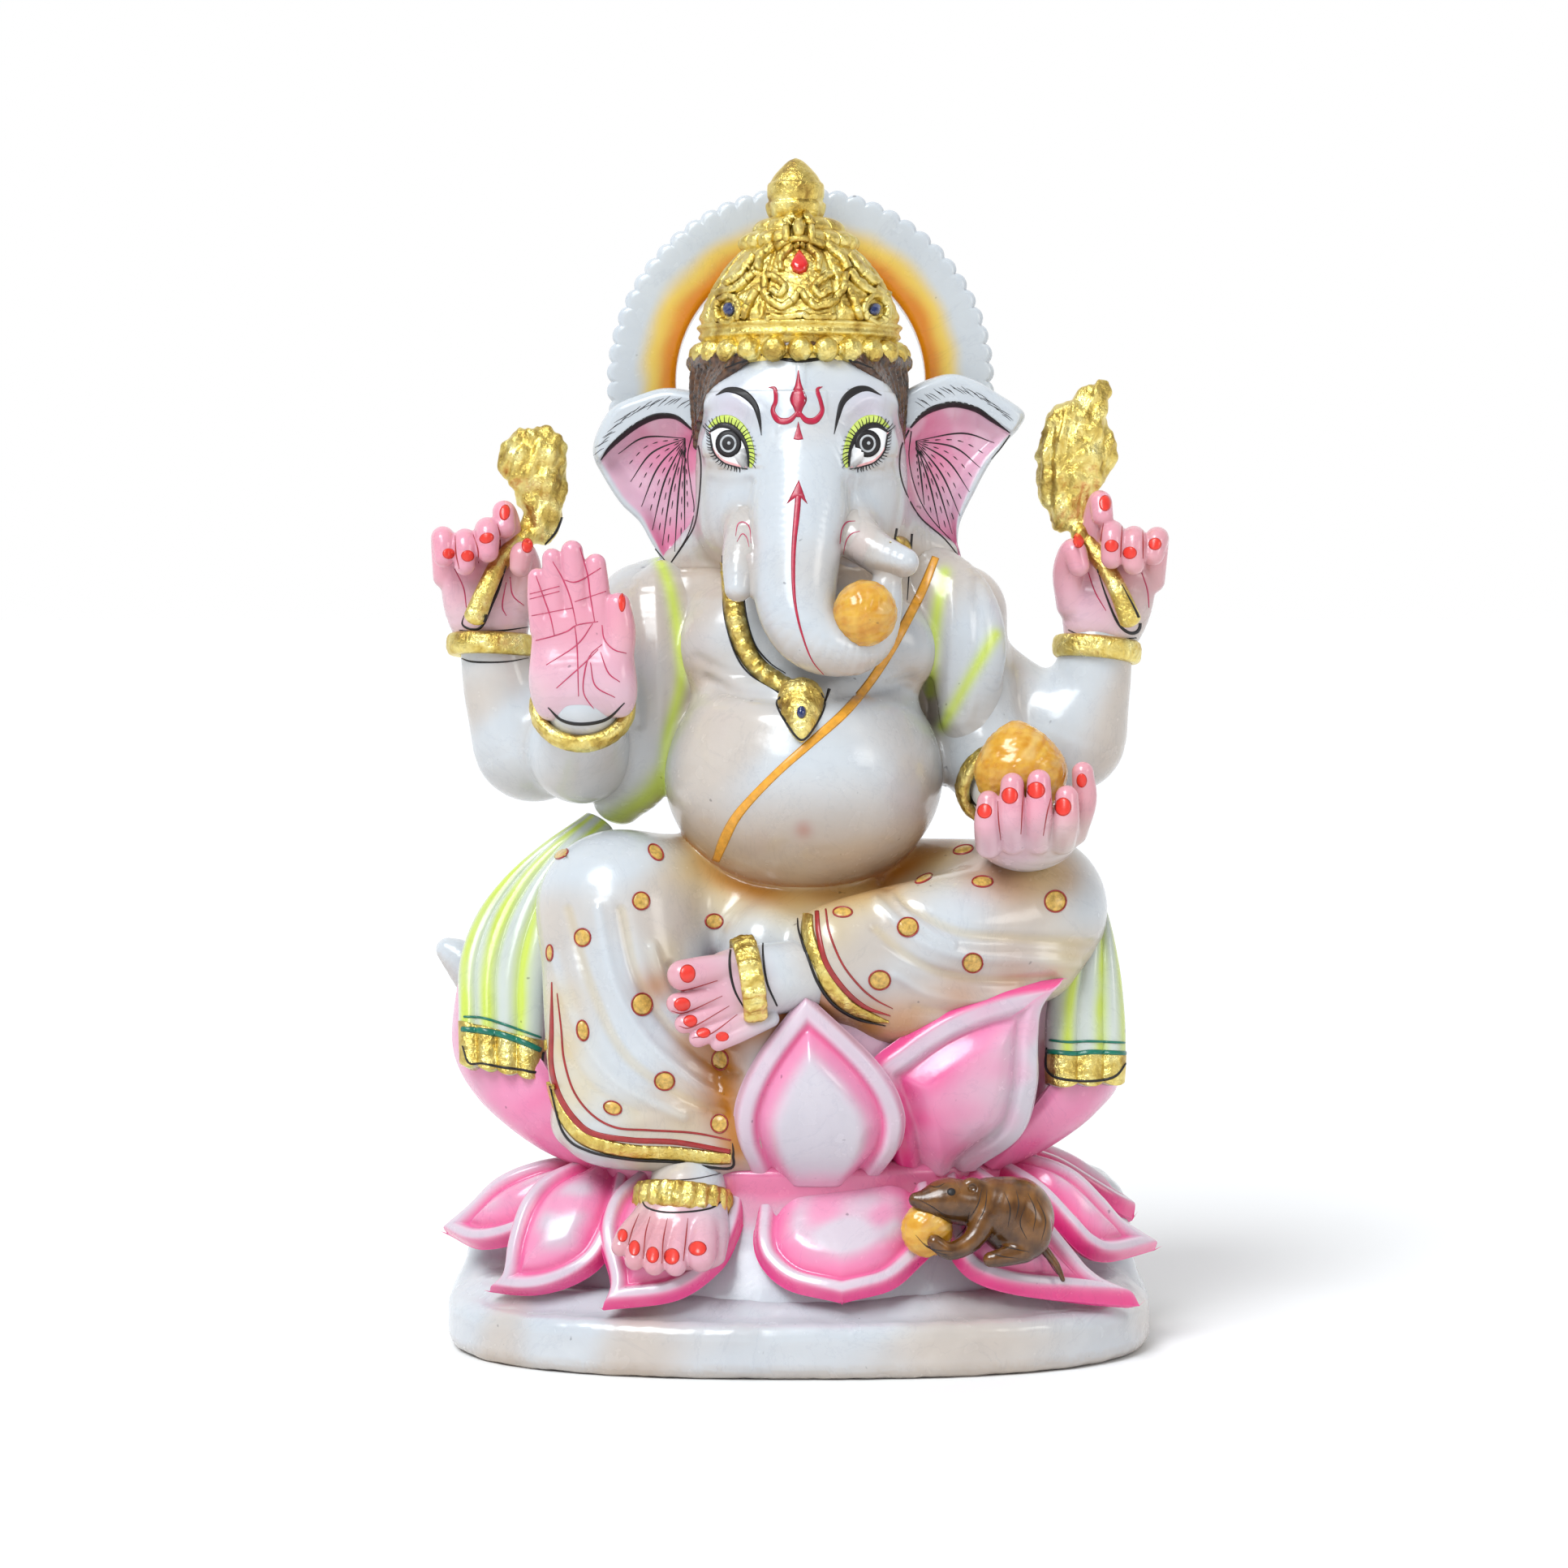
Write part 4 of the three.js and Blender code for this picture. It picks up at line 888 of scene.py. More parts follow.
def carve_offerings():
    sweet = dict(paint=sweet_paint, relief=lambda s: 0.14 * soft_noise(s.points, 3.4), slot="saffron_paint")
    carve("trunk_sweet", ["trunk_sweet"], 0.4, lumps=[ball((16.2, -45, 188.6), (7.9, 7.4, 8.2))], **sweet)
    carve("palm_sweet", ["palm_sweet"], 0.45, lumps=[
        ball((55.5, -33, 148.5), (11.6, 9.6, 10.4)),
        tube([(54.5, -33, 152, 8.4), (54.2, -33, 157, 4.6), (54.2, -33, 159.4, 2.4)], blend=4)], **sweet)
    carve("mouse_sweet", ["mouse_sweet"], 0.4, lumps=[ball((31.5, -50, 36.5), (6.4, 5, 6.8))], **sweet)
    gilt = dict(relief=crumpled, material=GOLD, slot="gold_leaf")
    carve("axe", ["axe"], 0.45, lumps=[
        tube([(-82.6, -12.5, 187.6, 2.9, 2.0), (-79.6, -12, 195, 2.5, 1.8), (-76, -8.5, 202, 2.4, 2.2),
              (-67, -2, 211, 3)]),
        tube([(-65.4, -1, 208, 1.8, 2.4), (-65.8, -1, 213, 4.6, 4), (-66.2, -1, 219.6, 6.6, 4.8),
              (-67.4, -1, 226, 7.8, 5)],
             blend=3),
        ball((-68.8, -1, 229.4), (9, 4.8, 7), (0, -20, 0), blend=3),
    ], **gilt)
    carve("lotus_bud", ["lotus_bud"], 0.45, lumps=[
        tube([(84.4, -12.5, 187, 2.9, 2.0), (81.6, -12, 194, 2.5, 1.8), (78, -8.5, 201, 2.4, 2.2),
              (69.5, -2, 214, 2.8)]),
        tube([(68.2, -1, 212.6, 3, 3), (68.8, -1, 217, 6, 4.6), (70, -1, 224, 8.8, 5.6),
              (71.4, -1, 230, 10.2, 6), (71.8, -1, 235.5, 8.8, 5.6), (74.2, -1, 240.5, 5, 4.6),
              (76.6, -1, 244.5, 3.4, 3.4), (78.6, -1, 247.6, 1.2, 1.2)],
             blend=3),
    ], **gilt)
    carve("mouse", ["mouse"], 0.35, lumps=[
        ball((38, -49.5, 43.8), (6.8, 5.4, 5.2), (0, 12, 0)),
        tube([(36, -50, 43.4, 4.6), (31.6, -51.4, 43.6, 3.2), (28.8, -52, 44.2, 1.9)], blend=3),
        ball((42.4, -50.6, 47), (2.7, 1.6, 2.5), blend=0.6),
        ball((42.7, -52.2, 46.8), (1.6, 1.3, 1.5), blend=0.4, hollow=True),
        tube([(42, -48, 42.4, 5), (47, -47, 42.6, 6.4), (53, -46, 40.4, 8.4)], blend=3),
        ball((53.8, -46, 38.4), (9.4, 7.6, 9.4), blend=3),
        ball((56, -50.6, 36.4), (6.4, 4.4, 7.4), blend=1.0),
        tube([(55, -52, 31.2, 2.8), (49.6, -54, 30.2, 2.3), (47, -54.4, 29.8, 1.9)], blend=1.2),
        tube([(46, -51, 40, 3.6), (42.6, -53.4, 34.4, 2.7), (37, -55.4, 32, 2.2),
              (33.2, -56, 34.4, 1.9)], blend=1.0),
        tube([(60.6, -45, 31, 1.3), (63.8, -46, 27, 0.9), (65.4, -46.6, 23.4, 0.6)], blend=1.0),
    ], paint=fur_paint, slot="mouse_paint")
    carve("upper_petal_right_back", ["upper_petal_right_back"], 0.6, lumps=[
        tube([(-72, 10, 80, 9, 8), (-82, 9, 92, 7, 6.4), (-88, 9, 98, 5, 5), (-91.6, 9, 100.6, 3.2)]),
    ], slot="petal_paint")


# ---------- skins over grids of points ----------
def outward(points, faces):
    """Turns the faces round if the closed skin is inside out."""
    volume = 0.0
    for sheet in faces:
        a, b, c = points[sheet[:, 0]], points[sheet[:, 1]], points[sheet[:, 2]]
        volume += np.einsum("ij,ij->i", a, np.cross(b, c)).sum()
        if sheet.shape[1] == 4:
            d = points[sheet[:, 3]]
            volume += np.einsum("ij,ij->i", a, np.cross(c, d)).sum()
    return faces if volume > 0 else [sheet[:, ::-1] for sheet in faces]


def wrapped(shell):
    """A closed skin round rows of points, each row a closed loop, with a middle point at each end."""
    rows, around = shell.shape[:2]
    points = np.vstack([shell.reshape(-1, 3), shell[0].mean(axis=0), shell[-1].mean(axis=0)])
    index = np.arange(rows * around).reshape(rows, around)
    after = np.roll(index, -1, axis=1)
    sides = np.stack([index[:-1], after[:-1], after[1:], index[1:]], axis=-1).reshape(-1, 4)
    low = np.stack([after[0], index[0], np.full(around, rows * around)], axis=-1)
    high = np.stack([index[-1], after[-1], np.full(around, rows * around + 1)], axis=-1)
    return points, outward(points, [sides, np.vstack([low, high])])


def sheeted(top, bottom):
    """A closed skin over a grid of top points and a matching grid of bottom points."""
    rows, columns = top.shape[:2]
    index = np.arange(rows * columns).reshape(rows, columns)
    edge = np.concatenate([index[0, :], index[1:, -1], index[-1, -2::-1], index[-2:0:-1, 0]])
    after = np.roll(edge, -1)
    under = rows * columns
    corners = [index[:-1, :-1], index[:-1, 1:], index[1:, 1:], index[1:, :-1]]
    grid = np.stack(corners, axis=-1).reshape(-1, 4)
    wall = np.stack([edge, edge + under, after + under, after], axis=-1)
    points = np.concatenate([top.reshape(-1, 3), bottom.reshape(-1, 3)])
    return points, outward(points, [grid, grid[:, ::-1] + under, wall])


def evenly(stations, count):
    """A count of points, evenly spaced along a smooth curve."""
    path = spline(stations, 0.5)
    run = np.concatenate([[0], np.cumsum(np.linalg.norm(np.diff(path[:, :3], axis=0), axis=1))])
    t = np.linspace(0, run[-1], count)
    return np.stack([np.interp(t, run, path[:, k]) for k in range(path.shape[1])], axis=1)


def grid_normals(grid, face):
    """Unit normals of a grid of points, on the side that the middle shows to face."""
    normals = np.cross(np.gradient(grid, axis=0), np.gradient(grid, axis=1))
    normals /= np.maximum(np.linalg.norm(normals, axis=-1, keepdims=True), 1e-9)
    middle = normals[len(grid) // 2, grid.shape[1] // 2]
    return normals if middle @ np.asarray(face, float) > 0 else -normals


# ---------- petals ----------
def from_rails(places, *rails):
    """How far each place is from the nearest of some rows of points, joined by straight lines."""
    best = np.full(places.shape[:-1], 1e9)
    for rail in rails:
        for start, end in zip(rail[:-2:2], rail[2::2]):
            along = end - start
            t = np.clip((places - start) @ along / max(along @ along, 1e-9), 0, 1)
            best = np.minimum(best, np.linalg.norm(places - start - t[..., None] * along, axis=-1))
    return best


def petal(name, left, right, face, tone, rim=5.0, dome=3.0, bulge=3.0, thickness=3.6, rows=96, columns=72):
    """A petal between a left and a right rail that meet at its tip, with a rolled rim round a domed panel.
    Its tone is a function of the spots' distance in from the edge, share along and share across."""
    a, b = evenly(left, rows), evenly(right, rows)
    share = (0.5 - 0.5 * np.cos(np.linspace(0, np.pi, columns)))[None, :, None]
    flat = a[:, None] * (1 - share) + b[:, None] * share
    normals = grid_normals(flat, face)
    swell = np.sin(np.pi * share[..., 0]) * np.sin(np.pi * (0.15 + 0.85 * np.linspace(0, 1, rows)))[:, None]
    flat = flat + normals * (bulge * swell)[..., None]
    edge = from_rails(flat, a, b)
    rolled = smooth(0, 0.35 * rim, edge) * smooth(1.25 * rim, 0.7 * rim, edge)
    groove = np.exp(-(((edge - 1.15 * rim) / 1.2) ** 2))
    panel = smooth(1.15 * rim, 1.15 * rim + 6, edge)
    shape = (1.2 * rolled - 1.0 * groove + dome * panel) if dome else 0.0 * edge
    top = flat + normals * (shape - 0.5 * thickness * bell(edge, 0, 0.7))[..., None]
    depth = thickness * (1 - 0.5 * bell(edge, 0, 0.7))
    bottom = flat + normals * (0.4 * shape - depth)[..., None]
    points, faces = sheeted(top, bottom)
    along = np.linspace(0, 1, rows)[:, None] + 0 * edge
    colour, under = tone(top, edge / rim, along, share[..., 0] + 0 * edge)
    return add_mesh(name, points, faces, STONE, [name],
                    np.concatenate([colour.reshape(-1, 3),
                                    np.broadcast_to(under, colour.shape).reshape(-1, 3)]))


def upright_tone(top, edge, along, across):
    """White panel and rim with a pink line between them."""
    cloud = 0.12 * soft_noise(top, 18)
    colour = mix(coat(PALE_PINK, top.shape), WHITE, 0.75 * smooth(1.3, 2.4, edge + cloud))
    colour = mix(colour, WHITE, 0.5 * smooth(0.1, 0.4, edge) * smooth(1.0, 0.7, edge))
    colour = mix(colour, PETAL_PINK, 0.85 * bell(edge, 1.45, 0.42))
    colour = mix(colour, HOT_PINK, 0.75 * bell(edge, 1.12, 0.14))
    colour = mix(colour, PETAL_PINK, 0.6 * smooth(0.16, 0.0, along) + 0.4 * smooth(0.93, 1.0, along))
    return colour, PETAL_PINK


def leaning_tone(top, edge, along, across):
    """Hot pink inside its upper left, fading to white at its right, under a bright top edge."""
    cloud = 0.1 * soft_noise(top, 18)
    colour = mix(coat(HOT_PINK, top.shape), PETAL_PINK, smooth(0.05, 0.4, across + cloud))
    colour = mix(colour, PALE_PINK, smooth(0.3, 0.75, across + cloud))
    colour = mix(colour, WHITE, 0.7 * smooth(0.7, 0.95, across + cloud))
    outer = across < 0.5
    band = smooth(1.25, 1.0, edge) * outer * smooth(0.25, 0.4, along)
    colour = mix(colour, mix(coat(WHITE, top.shape), PETAL_PINK, 0.35 + cloud), band)
    colour = mix(colour, HOT_PINK, 0.9 * band * smooth(0.42, 0.15, edge))
    return colour, PETAL_PINK


def cup_tone(top, edge, along, across):
    """Smooth pink, deeper towards the waist."""
    cloud = 0.12 * soft_noise(top, 18)
    colour = mix(coat(PETAL_PINK, top.shape), HOT_PINK, 0.45 * smooth(0.45, 0.0, along + cloud))
    return mix(colour, PALE_PINK, 0.75 * smooth(0.35, 0.95, along + cloud)), PETAL_PINK


def spread_tone(top, edge, along, across):
    """A bright lip, a pale rolled rim and a clouded pink panel."""
    cloud = 0.25 * soft_noise(top, 16)
    colour = mix(coat(PETAL_PINK, top.shape), WHITE, 0.8 * smooth(1.5, 2.6, edge + cloud))
    colour = mix(colour, PETAL_PINK, 0.8 * smooth(0.5, 0.1, along + cloud))
    line = 0.5 * bell(edge, 1.2, 0.3)
    colour = mix(colour, HOT_PINK, line + 0.35 * smooth(0.25, 0.0, along))
    colour = mix(colour, PALE_PINK, 0.95 * smooth(1.1, 0.85, edge) * smooth(0.05, 0.3, along))
    colour = mix(colour, WHITE, 0.55 * smooth(0.9, 0.65, edge))
    return mix(colour, HOT_PINK, np.exp(-((edge / 0.32) ** 4))), HOT_PINK


def lay_upper_petals():
    petal("upper_petal_front",
          [(-12.5, -37, 48), (-16, -43, 58), (-15.6, -46, 68), (-10, -47, 80), (1.4, -46, 95)],
          [(21, -36, 48), (25.6, -42, 56), (25.8, -45, 66), (19, -46.5, 78), (1.4, -46, 95)],
          (0, -1, 0), upright_tone, rim=5.4)
    tip = (67.6, -31, 96.8)
    petal("upper_petal_left_front",
          [(24, -33, 48), (21, -38, 62), (17.5, -42, 75), (25, -42, 82.5), (36, -41, 89.6),
           (50, -38, 94.6), tip],
          [(46, -28, 49), (56.6, -31, 57), (60.4, -33, 70), (60.6, -33, 82), (61.6, -32.6, 90), tip],
          (0.2, -1, 0), leaning_tone, rim=6.4)
    petal("upper_petal_left", [(48, -27, 48), (58, -29, 60), (68, -24, 72), (77, -13, 80), (83, -4, 84)],
          [(55, -6, 49), (67, -6, 54.5), (76.5, -6, 60), (83, -4, 68), (83, -4, 84)], (0.6, -0.8, 0),
          cup_tone, dome=0, bulge=5)
    petal("upper_petal_right",
          [(-48, -26, 48), (-58, -28, 61), (-67, -25, 76), (-78, -14, 90), (-88, -2, 96)],
          [(-57, -6, 49), (-70, -6, 54), (-82, -6, 62.5), (-89.6, -4, 76), (-88, -2, 96)],
          (-0.6, -0.8, 0), cup_tone, dome=0, bulge=6)
    petal("upper_petal_left_back", [(57, 6, 51), (68, 8, 58), (77, 9, 66), (82, 10, 76), (81, 10, 86)],
          [(50, 26, 51), (61, 27, 63), (70, 24, 76), (76, 17, 84), (81, 10, 86)], (0.8, 0.4, 0),
          cup_tone, dome=0)


def lay_lower_petals():
    low = dict(tone=spread_tone, rim=4.6, dome=1.8, bulge=2.0, thickness=5.0)
    petal("lower_petal_front",
          [(-10.6, -30, 48), (-11, -38, 40), (-11.4, -45, 33), (-9, -49, 27.5), (-2, -53, 22.8),
           (10.5, -55, 20)],
          [(33, -30, 48), (34, -40, 39), (34, -45, 32.5), (29, -49, 27.4), (22, -53, 22.8),
           (10.5, -55, 20)],
          (0, -0.8, 0.6), **low)
    petal("lower_petal_right_front",
          [(-41, -28, 48), (-47.5, -34, 43), (-50, -40, 37), (-49.6, -44, 31), (-47.4, -49, 23),
           (-49.4, -52, 17.6)],
          [(-14, -30, 48), (-13.4, -38, 41), (-15.4, -44, 34), (-20, -50, 27), (-31, -54, 20.4),
           (-49.4, -52, 17.6)],
          (-0.2, -0.8, 0.6), **low)
    petal("lower_petal_right",
          [(-58, -17, 48), (-66, -22, 45), (-71, -27, 39.6), (-73.6, -31, 31), (-74.4, -32.5, 23),
           (-79.6, -31.5, 18.2)],
          [(-42, -26, 47), (-44, -36, 38), (-49, -42, 28), (-57, -42.5, 22), (-67, -39, 18.6),
           (-79.6, -31.5, 18.2)],
          (-0.5, -0.7, 0.7), **low)
    petal("lower_petal_right_far",
          [(-54, -6, 48.4), (-67, -9, 47.4), (-77, -9, 43.6), (-84.6, -7, 36), (-93, -3, 28.6)],
          [(-50, -20, 46), (-59, -26, 39), (-71, -26, 31), (-83, -17, 27), (-93, -3, 28.6)],
          (-0.5, -0.6, 0.8), **low)
    petal("lower_petal_left_front",
          [(35.4, -29, 48), (36, -38, 40), (36.6, -44, 33), (42, -48.5, 25.6), (53, -48, 21.4),
           (69, -42.5, 19), (87.4, -32, 16)],
          [(46, -25, 48), (54, -30, 43.6), (61.5, -33, 38), (68, -33.6, 30), (72.5, -33.4, 24),
           (77.6, -33, 20), (87.4, -32, 16)],
          (0.2, -0.8, 0.7), **low)
    petal("lower_petal_left",
          [(48, -20, 48), (59, -29, 42), (67, -31, 34), (73, -29.6, 28), (80, -24, 25), (94.2, -5, 25)],
          [(54, -12, 50), (62.6, -15, 49), (70.4, -16, 46), (77, -15, 39.6), (82.6, -12, 33),
           (94.2, -5, 25)],
          (0.3, -0.7, 0.8), **low)
    petal("lower_petal_left_back",
          [(54, 2, 49), (66, 0, 46), (76, 0, 40), (84, 2, 35), (89, 8, 32)],
          [(54, 22, 48), (66, 24, 44), (76, 24, 39), (84, 18, 34), (89, 8, 32)], (0.4, -0.4, 0.9), **low)


# ---------- turned stone, halo and slab ----------
def turned(name, centre, profile, material, slot, relief=None, deep=1.0, paint=None, around=360, step=0.4):
    """A solid of revolution about a vertical line, from (radius, z); relief adds to the radius."""
    line = spline([(r, 0, z) for r, z in profile], step)
    turn, _ = np.meshgrid(np.arange(around) * 2 * np.pi / around, line[:, 0])
    radius = np.repeat(line[:, :1], around, axis=1)
    height = np.repeat(line[:, 2:], around, axis=1)
    if relief is not None:
        radius = radius + relief(turn, height)
    shell = np.stack([centre[0] + radius * np.cos(turn), centre[1] + deep * radius * np.sin(turn),
                      height], axis=-1)
    points, faces = wrapped(shell)
    return add_mesh(name, points, faces, material, [name], None if paint is None else paint(points))


def seat_paint(points):
    """Pale pink, deeper towards the waist of the lotus."""
    colour = coat(PALE_PINK, points.shape)
    return mix(colour, HOT_PINK, 0.8 * smooth(62, 48, points[:, 2] + 2 * soft_noise(points, 20)))


def foot_paint(points):
    """White stone, pink towards the waist of the lotus."""
    colour = coat(WHITE, points.shape)
    return mix(colour, HOT_PINK, 0.75 * smooth(33, 45, points[:, 2] + 2 * soft_noise(points, 20)))


def beads(count, low, high, depth):
    """A ring of rounded knobs between two heights."""

    def relief(turn, height):
        swing = np.abs(np.cos(count / 2 * turn)) ** 0.4
        lift = np.clip(1 - ((height - (low + high) / 2) / ((high - low) / 2)) ** 2, 0, 1)
        return depth * (np.sqrt(lift * swing) - 0.35)

    return relief


def dome_relief(turn, height):
    """Leaves whose veins lean towards the top, over hammered gold."""
    u = np.abs((turn / (2 * np.pi) * 8) % 1.0 - 0.5) * 2
    vein = np.sin(1.15 * (height - 262) + 5.5 * u) ** 2
    leaf = smooth(0.02, 0.14, u) * smooth(262.5, 264, height)
    creases = np.sin(23 * turn + 3 * np.sin(1.3 * height))
    crumple = 0.25 * creases * np.sin(2.1 * height + 2 * np.sin(9 * turn))
    return 0.7 * leaf + 0.25 * leaf * vein + 0.5 * crumple


def brim_relief(turn, height):
    """Two plain ridges above the beads."""
    return 0.8 * bell(height, 259, 0.8) + 1.2 * bell(height, 261.6, 0.9)


def collar_relief(turn, height):
    """Large beads with smaller ones above them."""
    return beads(20, 280.4, 286, 2.4)(turn, height) + beads(12, 286, 289.8, 1.2)(turn, height)


def crown():
    gilt = (GOLD, "gold_leaf")
    turned("crown_brim", (0.2, -3),
           [(23.4, 250.8), (24.4, 251.6), (24.6, 254), (24.8, 257.4), (25.2, 259), (25, 262),
            (22, 263)], *gilt, brim_relief)
    carve("brim_beads", ["crown_brim"], 0.4, lumps=[
        ball((0.2 + 25.3 * math.sin(k * math.pi / 12), -3 - 25.3 * math.cos(k * math.pi / 12), 254.6),
             (3.2, 3.2, 3.1))
        for k in range(24)
    ], relief=lambda s: 0.12 * soft_noise(s.points, 2.4), material=GOLD, slot="gold_leaf")
    turned("crown_dome", (0.2, -3),
           [(24, 260.5), (25.2, 262), (24, 266), (21.4, 272), (17.6, 277.6), (13.6, 281.6),
            (11, 283.4)], *gilt, dome_relief, around=540, step=0.3)
    turned("crown_collar", (0, -3),
           [(11, 279.6), (14, 281), (14.4, 284), (12.6, 286.2), (11.8, 287.4), (10, 289),
            (6.6, 290)], *gilt, collar_relief,
           around=720, step=0.25)
    turned("crown_finial", (-0.8, -3),
           [(6, 287), (6.4, 289), (7.2, 291), (7.5, 293), (6.8, 294), (7.2, 295.4), (7.2, 298),
            (6.5, 298.8), (5.4, 300.6), (3.4, 302.8), (1.8, 304.2), (0.3, 304.9)], *gilt,
           lambda turn, z: 0.25 * np.cos(8 * turn) * bell(z, 292, 3.5))
    scrolls = Brush("crown_scrolls", GOLD, "gold_leaf", "crown_dome", "crown_collar", rise=1.5)
    for line, width in [
        ([(-9, 275), (-8.8, 271.6), (-7.2, 268.9), (-4.4, 267.5), (-1.6, 268.9), (0.2, 271.4),
          (1.9, 269.2), (4.7, 267.5), (8.2, 268.2), (11, 271.4), (11.8, 275.2)], 1.8),
        ([(-8, 275.6), (-5.8, 274.6), (-3.6, 272.4), (-5, 270.6), (-7, 271.8)], 1.7),
        ([(9, 276), (6.4, 274.8), (3.8, 272.2), (5.4, 270.4), (8, 271.6)], 1.7),
        ([(-10.4, 276.6), (-9.6, 280.4), (-5.8, 282.9), (-0.2, 284.7), (6.1, 283.3), (10.6, 280.4),
          (12.6, 276.6)], 1.9),
        ([(-4.4, 276.4), (-4.6, 279.4), (-2.2, 282.2), (0.2, 284)], 1.5),
        ([(4.8, 276.4), (5, 279.4), (2.6, 282.2), (0.4, 284)], 1.5),
        ([(-18.6, 273), (-14.6, 276), (-11.4, 280.4)], 1.7),
        ([(-21.4, 270.4), (-15.6, 272), (-11.6, 276)], 1.7),
        ([(20.4, 273), (16.4, 276), (13, 280.4)], 1.7), ([(22.6, 270.4), (17, 272), (13, 276)], 1.7),
        ([(-14, 264.6), (-12.8, 268), (-10.6, 271.6)], 1.7),
        ([(15.4, 264.6), (14.4, 268), (12.8, 271.6)], 1.7),
        ([(-8.4, 264.8), (-3, 264.4), (0.4, 265.6), (4, 264.4), (9.4, 264.8)], 1.6),
        ([(-3.4, 284.2), (-2.8, 288.6), (0, 291.4), (2.8, 288.6), (3.4, 284.2)], 1.8),
    ]:
        scrolls.stroke(line, 1.25 * width, beaded=0.08)
    scrolls.ring(-18, 266.6, 3.1, 3.3, 0, 1.8)
    scrolls.ring(19.6, 266.6, 3.1, 3.3, 0, 1.8)
    scrolls.dab(0, 286.6, 1.8, 2.6, rise=2.4)
    scrolls.dry()


def halo():
    """A flat ring with a scalloped edge, washed orange towards its opening."""
    around, scallops, hole = 960, 62, 32.6
    turn = np.arange(around) * 2 * np.pi / around
    outer = 49.3 + 1.4 * np.abs(np.sin(turn * scallops / 2)) ** 0.6
    section = spline([(0, 0, 22.4), (0, 0, 15.6), (0.3, 0, 14.5), (1.2, 0, 14.1), (5, 0, 13.9),
                      (9, 0, 14.2), (9.7, 0, 14.9), (10, 0, 16), (10, 0, 22.4), (5, 0, 22.6),
                      (0, 0, 22.4)], 0.4)[:-1]
    share, depth = np.clip(section[:, 0] / 10, 0, 1), section[:, 2]
    radius = hole + (outer - hole)[None] * share[:, None]
    points = np.stack([0.5 + radius * np.cos(turn), np.repeat(depth[:, None], around, 1),
                       249 + radius * np.sin(turn)], axis=-1).reshape(-1, 3)
    index = np.arange(len(points)).reshape(-1, around)
    after, above = np.roll(index, -1, axis=1), np.roll(index, -1, axis=0)
    faces = np.stack([index, after, np.roll(after, -1, axis=0), above], axis=-1).reshape(-1, 4)
    span = (radius.reshape(-1) - hole) / (50 - hole) + 0.04 * soft_noise(points, 20)
    front = smooth(20, 15.5, points[:, 1])
    colour = coat(WHITE, points.shape)
    colour = mix(colour, tint(250, 214, 96), front * smooth(0.66, 0.34, span))
    colour = mix(colour, tint(236, 142, 14), front * smooth(0.38, 0.1, span))
    add_mesh("halo", points, outward(points, [faces]), STONE, ["halo"], colour)


def slab_lump(half_width, half_depth, bottom, top, middle_y=0.0, round_over=3.0):
    """A slab whose front is a half oval and whose back is nearly square, with rounded edges."""
    low = np.array([-half_width, middle_y - half_depth, bottom])
    high = np.array([half_width, middle_y + half_depth, top])

    def distance(x, y, z):
        depth = (y - middle_y) / (half_depth - round_over)
        power = np.where(depth < 0, 2.5, 7.0)
        width = np.abs(x) / (half_width - round_over)
        reach = (width**power + np.abs(depth) ** power + 1e-9) ** (1 / power)
        side = (reach - 1) * np.sqrt(x**2 + (y - middle_y) ** 2) / np.maximum(reach, 0.2)
        rise = np.abs(z - (bottom + top) / 2) - (top - bottom) / 2 + round_over
        outside = np.sqrt(np.maximum(side, 0) ** 2 + np.maximum(rise, 0) ** 2)
        return outside + np.minimum(np.maximum(side, rise), 0) - round_over

    return Lump([(low, high, distance)], 4.0)


def block_lump(low, high, round_over):
    """A block with rounded edges, melted into what it stands on."""
    low, high = np.asarray(low, float), np.asarray(high, float)

    def distance(x, y, z):
        over = [np.abs(place - (a + b) / 2) - (b - a) / 2 + round_over
                for place, a, b in zip((x, y, z), low, high)]
        outside = np.sqrt(sum(np.maximum(o, 0) ** 2 for o in over))
        inside = np.minimum(np.maximum(np.maximum(over[0], over[1]), over[2]), 0)
        return outside + inside - round_over

    return Lump([(low, high, distance)], 8.0)


def carve_base():
    carve("base_slab", ["base_slab"], 1.0, lumps=[
        slab_lump(90.6, 57.2, 0, 14, round_over=4),
        slab_lump(87, 52, 2, 19, middle_y=1, round_over=8),
        block_lump((-78, 22, 6), (86, 55, 39), 9),
        block_lump((-86, 0, 6), (-58, 40, 29), 7),
        block_lump((58, 0, 6), (87, 40, 33), 7),
    ], relief=lambda s: 0.16 * soft_noise(s.points, 15) + 0.08 * soft_noise(s.points, 7, 1.0),
          paint=lambda s: s.base(shade=0.5))
    turned("lotus_foot", (0, 2),
           [(74, 14.6), (71, 20), (65, 30), (61.5, 38), (61, 43), (62, 48.5), (58, 51)], STONE,
           "petal_paint", deep=0.68, paint=foot_paint)
    turned("lotus_seat", (0, 2), [(58, 48), (60, 51), (65, 60), (71, 76), (72, 90), (68, 97)], STONE,
           "petal_paint", deep=0.58, paint=seat_paint)


